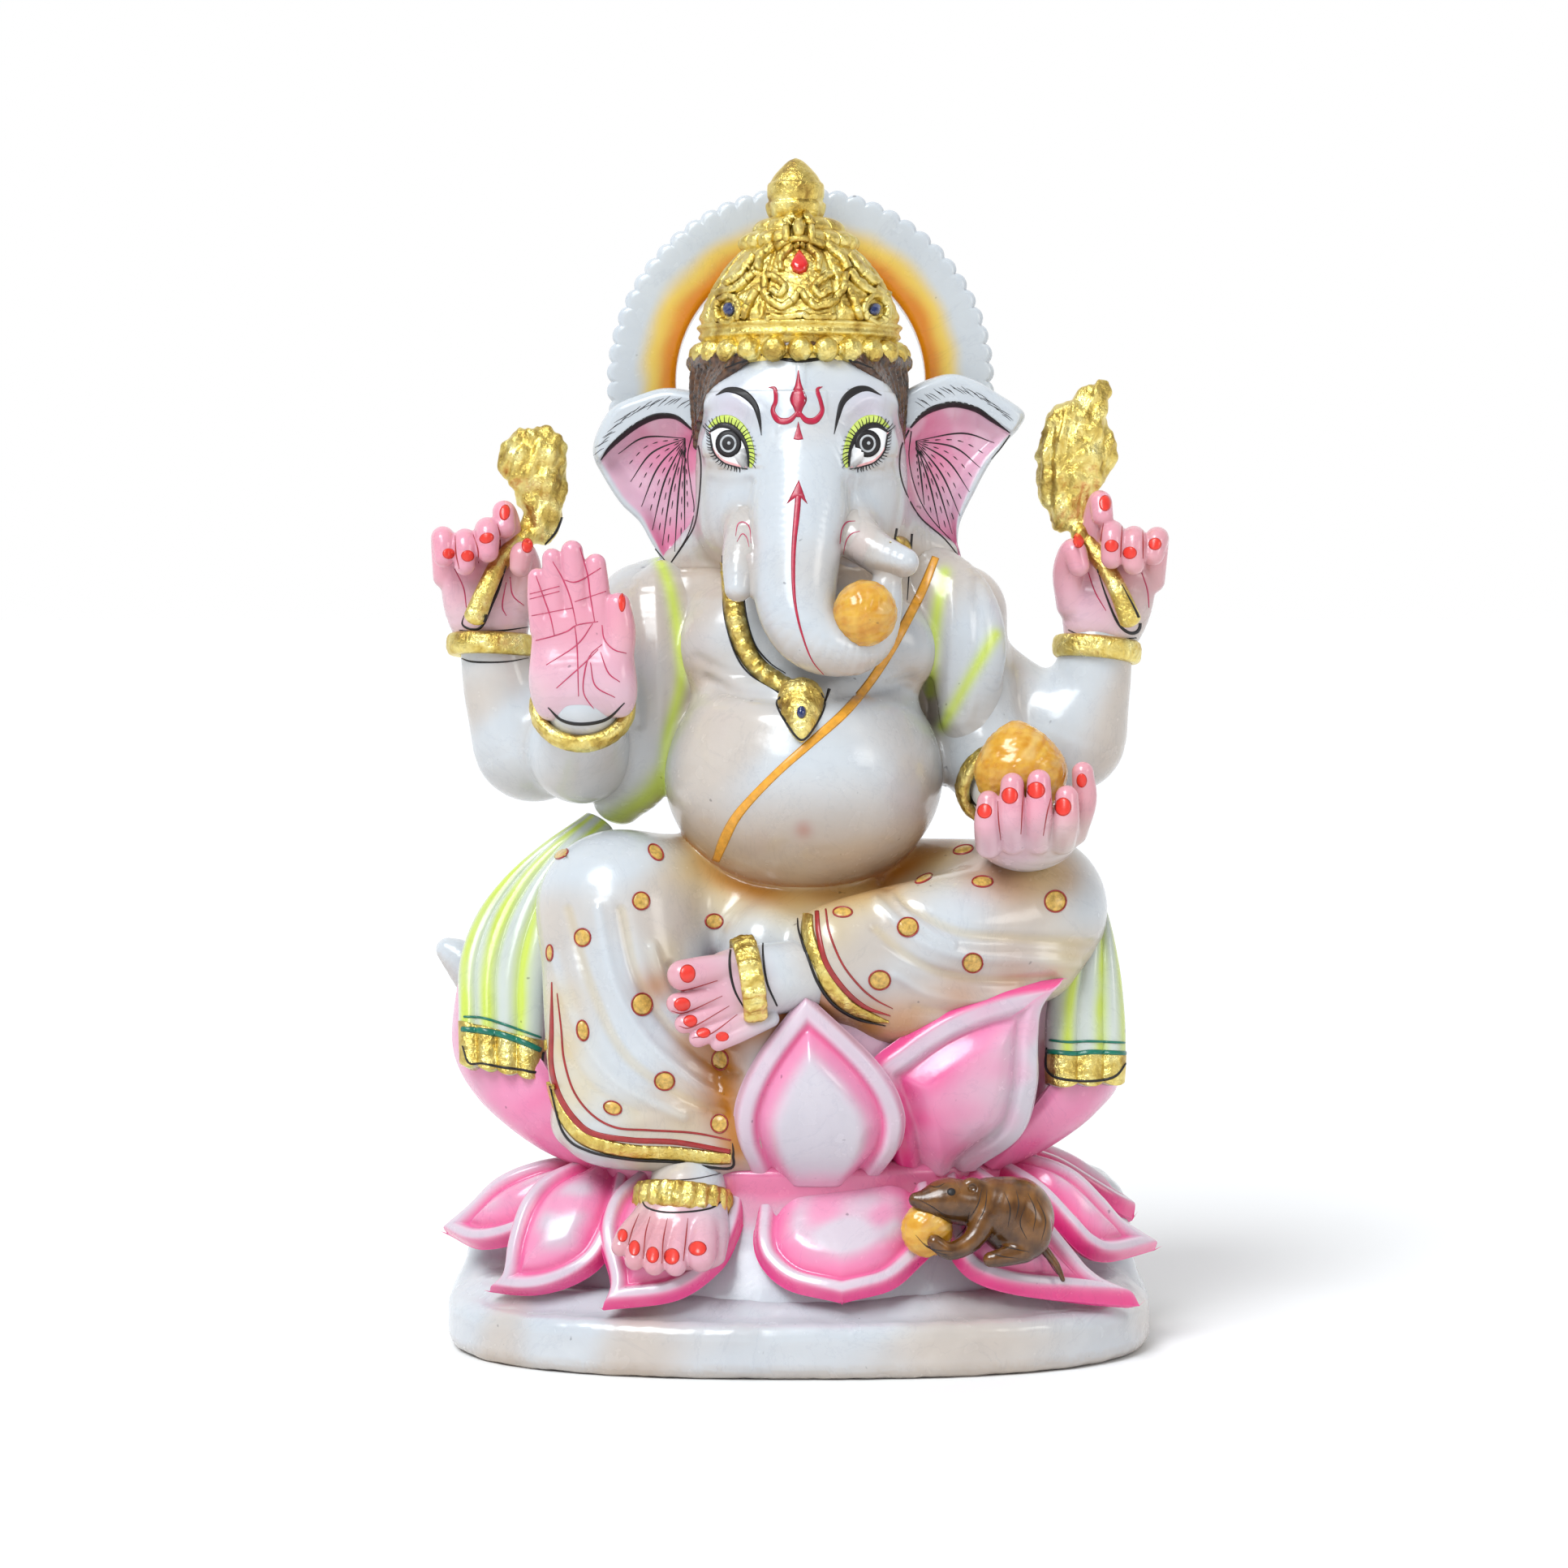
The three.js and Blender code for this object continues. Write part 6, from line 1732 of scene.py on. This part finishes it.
def paint_jewels():
    gold = Brush("necklace", GOLD, "gold_leaf", "torso", nodes=("necklace",), rise=1.9)
    clasp = Brush("necklace_end", GOLD, "gold_leaf", "torso", "head", rise=1.2)
    clasp.stroke([(22.6, 203.4, 2.0), (25.4, 206.6, 3.6), (27.6, 205, 3.0), (27.2, 198, 1.4)])
    clasp.dry()
    gold.stroke([(-18.6, 203, 3.0), (-17.2, 194.5, 5.2), (-16.2, 187, 5.4), (-13.8, 179.4, 5.2),
                 (-10.2, 174.3, 5.0), (-5, 170.6, 4.6), (-1, 168.8, 3.6)], beaded=0.22)
    gold.dry()
    carve("pendant", ["pendant"], 0.35, lumps=[
        ball((0.4, -39.6, 167.2), (5.8, 4.4, 5.6)),
        tube([(0.5, -42.4, 163.4, 4.6), (0.6, -45, 160, 2.7), (0.6, -46, 157.8, 1.0)], blend=2.5),
    ], relief=lambda s: 0.12 * soft_noise(s.points, 3.0), material=GOLD, slot="gold_leaf")
    outline = Brush("necklace_lines", BLACK, "black_line_paint", "torso", "head", "pendant", rise=0.2)
    outline.stroke([(-19.7, 203.4, 0.2), (-19.6, 194.5, 0.4), (-19, 187, 0.5), (-16.4, 178.2, 0.5),
                    (-12.6, 172.8, 0.5), (-5.2, 168, 0.5), (-5.7, 165, 0.5), (-3.2, 160.2, 0.6),
                    (0.7, 155.8, 0.6), (4.4, 159.6, 0.5), (6.8, 164.8, 0.4), (5.8, 168, 0.2)])
    outline.stroke([(-14.4, 194, 0.6), (-13.4, 187, 0.55), (-11.2, 180.3, 0.5), (-7.5, 175.8, 0.4),
                    (-3.4, 173, 0.2)])
    outline.stroke([(7.9, 169, 0.9), (7.2, 166.8, 0.6), (6.6, 165, 0.2)])
    outline.stroke([(25.3, 210.4, 0.6), (24.6, 207, 0.5), (23.2, 203, 0.2)])
    outline.stroke([(29.2, 209, 0.6), (28.6, 201, 0.5), (28, 191.9, 0.12)])
    outline.dry()
    gems = Brush("blue_gems", BLUE, "blue_gem_paint", "pendant", "crown_dome", "crown_scrolls", rise=0.9)
    gems.dab(0.7, 163, 1.3, 1.7)
    gems.dab(-18, 266.6, 1.6, 1.9)
    gems.dab(19.6, 266.6, 1.6, 1.7)
    gems.dry()
    red = Brush("red_gem", RED_GEM, "crimson_paint", "crown_dome", rise=1.3)
    red.patch((0.2, 278.6),
              [(0, 3.6), (1.5, 1.6), (2.5, -0.6), (1.7, -2.4), (0, -3), (-1.7, -2.4), (-2.5, -0.6),
               (-1.5, 1.6)])
    red.dry()
    thread = Brush("sacred_thread", ORANGE, "saffron_paint", "torso", "left_front_arm",
                   "scarf_left_shoulder", rise=0.16)
    thread.stroke([(35.3, 203, 2.0), (32.2, 195.2, 2.4), (28.5, 187.8, 2.5), (24, 179.5, 2.5),
                   (18.8, 171.3, 2.3), (12, 163.1, 2.5), (3, 155, 2.3), (-5.1, 147.8, 2.1),
                   (-12.4, 140.4, 2.2), (-16.6, 135.2, 2.5), (-19.3, 129.9, 2.7), (-21.5, 124.4, 2.0)])
    thread.dry()
    brim = Brush("brim_line", BLACK, "black_line_paint", "hair_band", "head", rise=0.16)
    brim.stroke([(-19, 251.6, 0.3), (-14, 253.4, 0.6), (-8, 254.4, 0.9), (0, 253.4, 0.9),
                 (8, 254.2, 0.9), (14, 253.4, 0.6), (19, 251.6, 0.3)])
    brim.dry()


def paint_hands():
    nails = Brush("nails", NAIL_RED, "crimson_paint", "right_rear_hand", "right_front_hand",
                  "left_rear_hand", "left_front_hand", "right_foot", "left_foot", rise=0.2)
    for x, z, wide, high, lean in [
        (-90.3, 203.9, 1.4, 1.2, 0), (-85.4, 203.3, 1.5, 1.3, 0), (-80.5, 207.9, 1.7, 1.2, 15),
        (-75.8, 214.5, 1.2, 1.8, -10), (-70, 206, 1.3, 1.7, 0), (-45.6, 191.3, 0.8, 2.1, 0),
        (79, 216.9, 1.4, 1.8, 0), (72.2, 207.4, 1.3, 1.8, 0), (80.7, 205.9, 1.6, 1.4, 0),
        (85.4, 204.1, 1.6, 1.4, 0), (91.9, 206.4, 1.5, 1.4, 0), (48.1, 137.4, 1.7, 1.7, 0),
        (54.6, 141.4, 1.9, 1.9, 0), (61.4, 142.8, 2.1, 1.9, 0), (68.4, 138.5, 1.9, 2.1, 0),
        (73.2, 145.3, 1.2, 1.6, 0), (-28.8, 95.2, 1.8, 2.1, 0), (-30.2, 87.2, 1.9, 1.6, 0),
        (-28.1, 82.9, 1.6, 1.4, 0), (-24.7, 79.8, 1.6, 1.2, 0), (-19.8, 78.8, 1.5, 1.1, 0),
        (-45.8, 26.9, 1.2, 1.5, 0), (-42.7, 23.6, 1.3, 1.8, 0), (-38, 21.8, 1.5, 1.9, 0),
        (-33, 21.4, 1.8, 1.9, 0), (-26.3, 23.5, 2.1, 1.7, 0),
    ]:
        nails.dab(x, z, 1.15 * wide, 1.15 * high, lean)
    nails.dry()
    palm = Brush("palm_lines", PALM_RED, "crimson_paint", "right_rear_hand", "right_front_hand",
                 "left_rear_hand", "left_front_hand", rise=0.14)
    for line in [
        [(-67.8, 198.2), (-65.8, 192.5), (-64.2, 187.9), (-63.1, 182.9)],
        [(-63.5, 201.9), (-60.8, 197.2), (-58.8, 191.9), (-57.4, 185.5)],
        [(-56.5, 205.5), (-54.5, 198.5), (-53.8, 193.2), (-52.7, 186.4)],
        [(-69.4, 193.5), (-61.8, 195.5)], [(-69.4, 192.2), (-61.8, 194.2)],
        [(-68.9, 187.9), (-58.5, 189.9)], [(-60.5, 197.1), (-57.1, 196.7), (-51.1, 200.2)],
        [(-57.8, 191.5), (-49.8, 194.2)],
        [(-67.9, 181.5), (-63.9, 182.5), (-59.8, 183.9), (-57.2, 185.5), (-51.8, 186.4)],
        [(-57.8, 185.2), (-57.2, 179.2), (-56.9, 167.1)],
        [(-53.2, 185.9), (-57.2, 180.5), (-65.2, 175.2)],
        [(-51.8, 179.2), (-55.9, 175.2), (-62.6, 169.2)],
        [(-50.8, 185.5), (-50.2, 181.9), (-47.8, 179.2), (-44.5, 178.2)],
        [(-50.8, 180.5), (-53.8, 177.8), (-55.2, 173.8), (-55.5, 167.8), (-51.9, 162.5)],
        [(-51.2, 178.5), (-49.2, 173.2), (-46.2, 170.8)],
        [(-53.8, 175.8), (-52.5, 169.8), (-47.5, 166.8)],
        [(-75.5, 196.5), (-76.5, 190.5), (-75.5, 187.9)],
        [(-74.5, 197.9), (-73.8, 193.2), (-70.9, 190.5)], [(-88.8, 200), (-86.5, 195), (-85.8, 190)],
        [(74.7, 199.1), (76.5, 194), (79.3, 189.2)], [(88.5, 199), (90, 194.5), (90.4, 190)],
    ]:
        last = len(line) - 1
        palm.stroke([(*place, 0.1 + 0.27 * math.sin(math.pi * (0.15 + 0.7 * k / last)))
                     for k, place in enumerate(line)])
    palm.dry()
    between = Brush("finger_lines", MAROON, "crimson_paint", "right_rear_hand", "left_rear_hand",
                    "left_front_hand", "right_foot", "left_foot", rise=0.12)
    for line in [
        [(-88.6, 208.5), (-88.4, 203.9), (-87.6, 200)], [(-84, 208.8), (-82.8, 205.2), (-82.6, 201.4)],
        [(-77.8, 211.6), (-77, 208.4), (-77.2, 204)], [(78.6, 211.8), (78, 208), (77.6, 203.6)],
        [(83.4, 211), (83.2, 207.4), (83, 203)], [(88.7, 209.9), (88.8, 206.4), (88.8, 202.6)],
        [(51.5, 140), (51.7, 135.3), (52.3, 129.9)], [(58.2, 143.6), (57.9, 138.6), (57.5, 131.4)],
        [(65.3, 141), (64.3, 137), (63.3, 131)], [(-33, 91.7), (-29.9, 90.8), (-21, 93.4)],
        [(-33, 85.5), (-29.2, 85.1), (-19.8, 89.4)], [(-31.1, 81.6), (-27.6, 81.3), (-18, 86.8)],
        [(-27.6, 78.4), (-22.7, 79.6), (-15.9, 84.6)], [(-41.5, 32.6), (-43.3, 28.2), (-44.3, 24.4)],
        [(-38.6, 31.8), (-39.8, 27.5), (-40.5, 20.8)], [(-34.1, 31.4), (-35.2, 25.9), (-35.6, 19.6)],
        [(-28.8, 31.4), (-29.2, 27.5), (-30, 20.2)],
    ]:
        between.stroke([(*place, w) for place, w in zip(line, (0.1, 0.34, 0.16))])
    between.dry()


DOTS = [
    (-56, 104.6, 2.1, 2.3, 0), (-40.8, 114.1, 2.2, 2.3, 20), (-21.9, 108.8, 2.3, 1.9, 0),
    (-37, 126.7, 2.4, 1.5, -50), (-64.5, 100.6, 0.8, 2.1, 0), (-61.5, 126.3, 2.0, 1.0, 30),
    (-40.6, 87.2, 2.7, 2.9, 0), (-56, 80.4, 1.5, 2.7, 8), (-20.4, 72.7, 2.1, 2.6, 0),
    (-34.8, 67.2, 2.6, 2.4, 0), (-48.3, 60.2, 2.4, 1.7, -20), (-20.6, 56.1, 2.2, 2.4, 0),
    (11.4, 111.2, 2.5, 1.3, 0), (28.3, 107.3, 2.7, 2.5, 0), (47.6, 119.1, 2.7, 1.4, 0),
    (32.4, 119.9, 2.4, 0.8, 25), (42.6, 127.4, 2.6, 1.1, 12), (66.5, 114, 2.8, 2.8, 0),
    (21, 93.5, 2.8, 2.5, 0), (45.1, 98, 2.6, 2.5, 0),
]


def paint_cloth():
    """Gilt spots with red rings, striped hems and cuffs, and the lines round the scarf's ends."""
    spots = Brush("dhoti_spots", OCHRE, "gold_leaf", "dhoti", rise=0.3)
    rings = Brush("dhoti_rings", MAROON, "crimson_paint", "dhoti", rise=0.3)
    for x, z, wide, high, lean in DOTS:
        spots.dab(x, z, wide, high, lean)
        rings.ring(x, z, wide, high, lean, 0.4)
    spots.dry()
    rings.dry()
    hem = Brush("dhoti_hems", GOLD, "gold_leaf", "dhoti", rise=0.4)
    hem.stroke([(-65.6, 78, 0.5), (-65.2, 70, 1.6), (-63, 61.5, 2.4), (-58.6, 54.6, 3.4),
                (-53, 51, 3.8), (-43.2, 48.8, 3.8), (-31.5, 48.2, 3.8), (-22, 47.2, 3.6),
                (-17.6, 47, 3.0)], beaded=0.12)
    hem.stroke([(2.4, 111, 2.6), (2.4, 105.5, 3.6), (4.6, 98.4, 4.0), (8.3, 91.7, 4.2), (13, 86.6, 3.8),
                (19.6, 83.6, 2.2), (23.4, 82.6, 0.6)], beaded=0.12)
    hem.dry()
    red = Brush("dhoti_stripes", MAROON, "crimson_paint", "dhoti", "dhoti_hems", rise=0.22)
    red.stroke([(-64, 93, 0.3), (-64.1, 80.8, 1.2), (-64.2, 71.4, 1.4), (-62.2, 63.5, 1.6),
                (-58, 57, 1.7), (-53, 53.4, 1.6), (-43.2, 51.8, 1.5), (-31.5, 51.2, 1.5),
                (-17.8, 48.8, 1.2)])
    red.stroke([(-62.6, 90.1, 0.2), (-61.6, 80.8, 0.5), (-60.9, 72.9, 0.6), (-58.4, 64.6, 0.6),
                (-53.7, 58.5, 0.6), (-47.5, 55.1, 0.6), (-39.3, 54.4, 0.6), (-27.6, 53.7, 0.6),
                (-17.6, 51.8, 0.4)])
    red.stroke([(4.7, 111.5, 1.2), (5.2, 105.2, 1.4), (7.2, 97.8, 1.5), (11.9, 91, 1.4),
                (17.3, 86.5, 1.1), (23.8, 84.2, 0.3)])
    red.stroke([(7, 112, 0.5), (8, 105.8, 0.6), (11.3, 97.8, 0.6), (16, 91.7, 0.6), (20, 88.4, 0.5),
                (24.4, 86.1, 0.2)])
    red.dry()
    teal = Brush("scarf_lines", TEAL, "green_paint", "scarf_right_end", "scarf_left_end",
                 "scarf_right_end_band", "scarf_left_end_band", rise=0.35)
    teal.stroke([(-86.8, 84, 0.6), (-82.1, 83.7, 0.7), (-76.7, 82.1, 0.7), (-66.9, 78.6, 0.6)])
    teal.stroke([(-87.4, 80.8, 1.4), (-82.1, 80.3, 1.7), (-76.7, 79.2, 1.7), (-71.2, 77.2, 1.6),
                 (-66.9, 75.3, 1.4)])
    teal.stroke([(65.1, 77.9, 0.6), (70.1, 77.4, 0.7), (75.5, 77.6, 0.7), (85, 77.2, 0.6)])
    teal.stroke([(64.5, 75, 1.2), (71.5, 74.4, 1.3), (76.2, 74.8, 1.3), (84.8, 74.5, 1.2)])
    teal.dry()
    dark = Brush("cloth_outlines", BLACK, "black_line_paint", "dhoti", "dhoti_hems", "scarf_right_end_band",
                 "scarf_left_end_band", "scarf_left_end", "left_foot", rise=0.3)
    dark.stroke([(-64.6, 66, 0.1), (-61, 53.6, 0.6), (-54.4, 48.9, 0.7), (-43.2, 46.7, 0.7),
                 (-31.5, 46, 0.7), (-18.3, 44.4, 0.7), (-17, 47.9, 0.6), (-17.2, 51, 0.2)])
    dark.stroke([(-0.3, 109.5, 0.3), (0.2, 105.8, 0.5), (2.5, 99.1, 0.7), (5.2, 92.4, 0.8),
                 (9.2, 87, 0.8), (15.1, 83.4, 0.7), (22.6, 81.6, 0.2)])
    dark.stroke([(64.4, 76, 0.3), (64.3, 70.6, 0.6), (67.4, 68, 0.7), (75.5, 67.2, 0.7),
                 (82, 68.4, 0.7), (85, 72, 0.3)])
    dark.stroke([(-87.2, 76.4, 0.3), (-85.6, 72, 0.6), (-82, 71.8, 0.6), (-77.4, 70.9, 0.7),
                 (-72, 70.2, 0.7), (-67.6, 69.8, 0.7), (-66.2, 74.8, 0.5)])
    dark.dry()


def paint_outlines():
    """The dark lines beside the gilding, and the mouse's markings."""
    dark = Brush("gilding_outlines", BLACK, "black_line_paint", "right_rear_hand", "left_rear_hand",
                 "right_front_hand", "right_rear_arm", "left_rear_arm", "right_front_arm",
                 "left_front_arm", "right_foot", "left_foot", "axe", "lotus_bud", "right_front_bangle",
                 rise=0.2)
    for line in [
        [(-75.5, 200.7, 0.2), (-77.4, 195, 0.7), (-79.4, 190.5, 0.9), (-81.8, 185.2, 0.7),
         (-84.4, 184.4, 0.6), (-86.8, 185.6, 0.5), (-86.4, 188, 0.15)],
        [(77, 200, 0.2), (79.2, 193.4, 0.5), (82.2, 186.4, 0.7), (85.1, 183.6, 0.8), (87.6, 184, 0.9),
         (87.8, 187.4, 0.7), (83.4, 196, 0.15)],
        [(-60.1, 216, 0.1), (-62.4, 209.9, 0.7), (-66.1, 205.5, 0.3)],
        [(-87.6, 184.2, 0.2), (-83.9, 183.8, 0.6), (-77.2, 184, 0.5), (-69.6, 185, 0.2)],
        [(69.6, 184.3, 0.2), (73.9, 182.4, 0.5), (80.6, 181.8, 0.5), (87.2, 182.2, 0.2)],
        [(-87.4, 177, 0.2), (-84, 176, 0.5), (-76, 176, 0.4), (-69.8, 177, 0.15)],
        [(-64.8, 164.2, 0.3), (-61.2, 160.9, 0.8), (-55.9, 159.9, 0.9), (-49.6, 161.2, 0.8),
         (-45, 165.4, 0.3)],
        [(43.6, 147, 0.2), (43.3, 143.6, 0.6), (45.4, 139.4, 0.5), (48, 137.8, 0.15)],
        [(-17, 105.4, 0.2), (-17.9, 98, 0.7), (-16.6, 90.9, 0.6), (-13, 84.4, 0.3)],
        [(-8.4, 106.5, 0.2), (-9.3, 101.9, 0.5), (-8.3, 93.3, 0.6), (-5.6, 86.8, 0.5)],
        [(-41, 37.4, 0.2), (-39.4, 34.2, 0.5), (-33.1, 32.9, 0.5), (-23, 34, 0.5), (-18.6, 37.4, 0.3)],
        [(-41.8, 42, 0.15), (-37, 41.4, 0.35), (-28, 41.6, 0.3), (-19, 43.4, 0.15)],
    ]:
        dark.stroke(line)
    dark.dry()
    mouse = Brush("mouse_lines", BLACK, "black_line_paint", "mouse", "mouse_sweet",
                  "lower_petal_left_front", rise=0.08)
    mouse.dab(39.7, 38.3, 1.1, 1.0, rise=0.3)
    for line in [
        [(31, 36.4), (35, 34.2), (38.6, 31.6)], [(47.6, 39), (46.6, 35), (44.6, 31.6)],
        [(49, 39), (48.4, 34), (46.4, 30)], [(58.8, 34.4), (57.6, 30), (59.4, 25.8)],
        [(62, 36.4), (64.2, 31), (63.2, 25.6)], [(59.6, 38), (61.6, 33), (61, 28)],
        [(30.4, 27), (34, 23.6), (40, 22.6)], [(41, 26.4), (43.4, 29), (44.4, 33)],
        [(52, 24.4), (56, 23.4), (60, 22.6)], [(53.4, 38.4), (55, 34), (54.4, 29)],
        [(56.6, 38.6), (57.2, 35), (56.4, 31)], [(33.4, 40), (36, 39.6), (38, 40.6)],
        [(50, 22.4), (53, 21.4), (57, 20.9)], [(32.6, 24.9), (35.6, 22.6), (38.6, 21.8)],
        [(64, 21.8), (66, 18.6), (67.9, 16)],
    ]:
        mouse.stroke([(*place, w) for place, w in zip(line, (0.06, 0.26, 0.08))])
    mouse.dry()


# ---------- stage ----------
def stage():
    """A pale floor, and a view transform that keeps whites white."""
    floor_material, _, shader = new_material("pale_floor")
    shader.inputs["Base Color"].default_value = (0.90, 0.90, 0.90, 1)
    shader.inputs["Roughness"].default_value = 0.9
    mesh = bpy.data.meshes.new("floor")
    far = 60.0
    mesh.from_pydata([(-far, -far, 0), (far, -far, 0), (far, far, 0), (-far, far, 0)], [], [(0, 1, 2, 3)])
    floor = bpy.data.objects.new("floor", mesh)
    mesh.materials.append(floor_material)
    bpy.context.scene.collection.objects.link(floor)
    bpy.context.scene.view_settings.view_transform = "Standard"


def shine(name, kind, energy, colour, aim):
    """A light whose rays leave along -Z, turned so that it shines back down the aim."""
    lamp = bpy.data.lights.new(name, kind)
    lamp.energy = energy
    lamp.color = colour
    light = bpy.data.objects.new(name, lamp)
    light.rotation_euler = Vector(aim).to_track_quat("Z", "Y").to_euler()
    bpy.context.scene.collection.objects.link(light)
    return light


def lights():
    """A broad sun from the front left, and a lamp at each side whose glints show on the polish."""
    sun = shine("key_light", "SUN", 2.3, (0.93, 0.97, 1.0), (-0.42, -0.62, 0.9))
    sun.data.angle = math.radians(28)
    chest = Vector((0, 0, 0.16))
    for name, place, energy, colour in [
        ("window_light", (-0.35, -0.9, 0.75), 2.2, (0.90, 0.96, 1.0)),
        ("side_light", (0.8, -0.6, 0.5), 1.2, (1.0, 0.96, 0.9)),
    ]:
        lamp = shine(name, "AREA", energy, colour, Vector(place) - chest)
        lamp.data.size = 0.3
        lamp.location = place


def studio_light():
    """A room that is bright behind the figure and overhead, and dimmer in front and below."""
    world = bpy.data.worlds.new("studio")
    world.use_nodes = True
    bpy.context.scene.world = world
    tree = world.node_tree
    direction = tree.nodes.new("ShaderNodeTexCoord")
    apart = tree.nodes.new("ShaderNodeSeparateXYZ")
    link(tree, direction.outputs["Generated"], apart.inputs["Vector"])
    behind = ramp(tree, spread_from(tree, apart.outputs["Y"], -1, 1),
                  [(0.45, (0.0, 0.0, 0.0)), (0.8, (1.0, 1.0, 1.0))])
    above = ramp(tree, apart.outputs["Z"],
                 [(0.0, (0.78, 0.78, 0.78)), (0.22, (0.36, 0.36, 0.37)), (0.6, (0.27, 0.28, 0.30)),
                  (1.0, (0.62, 0.64, 0.66))])
    mixed = tree.nodes.new("ShaderNodeMix")
    mixed.data_type = "RGBA"
    link(tree, behind, mixed.inputs["Factor"])
    link(tree, above, mixed.inputs["A"])
    mixed.inputs["B"].default_value = (1.0, 1.0, 1.0, 1)
    link(tree, mixed.outputs["Result"], tree.nodes["Background"].inputs["Color"])
    tree.nodes["Background"].inputs["Strength"].default_value = 1.0


def camera():
    """A long lens at the painter's eye."""
    lens = bpy.data.cameras.new("camera")
    lens.sensor_width = 36
    lens.lens = FOCAL_LENGTH
    lens.clip_start = 0.01
    seen = bpy.data.objects.new("camera", lens)
    seen.location = to_metres(EYE)
    seen.rotation_euler = (math.pi / 2 + EYE_PITCH, 0, 0)
    bpy.context.scene.collection.objects.link(seen)
    bpy.context.scene.camera = seen


camera()
stage()
studio_light()
lights()
carve_base()
lay_lower_petals()
lay_upper_petals()
carve_figure()
scarf_ends()
carve_offerings()
ears()
crown()
hair()
halo()
bangles()
paint_jewels()
paint_face()
paint_ears()
paint_hands()
paint_cloth()
paint_outlines()
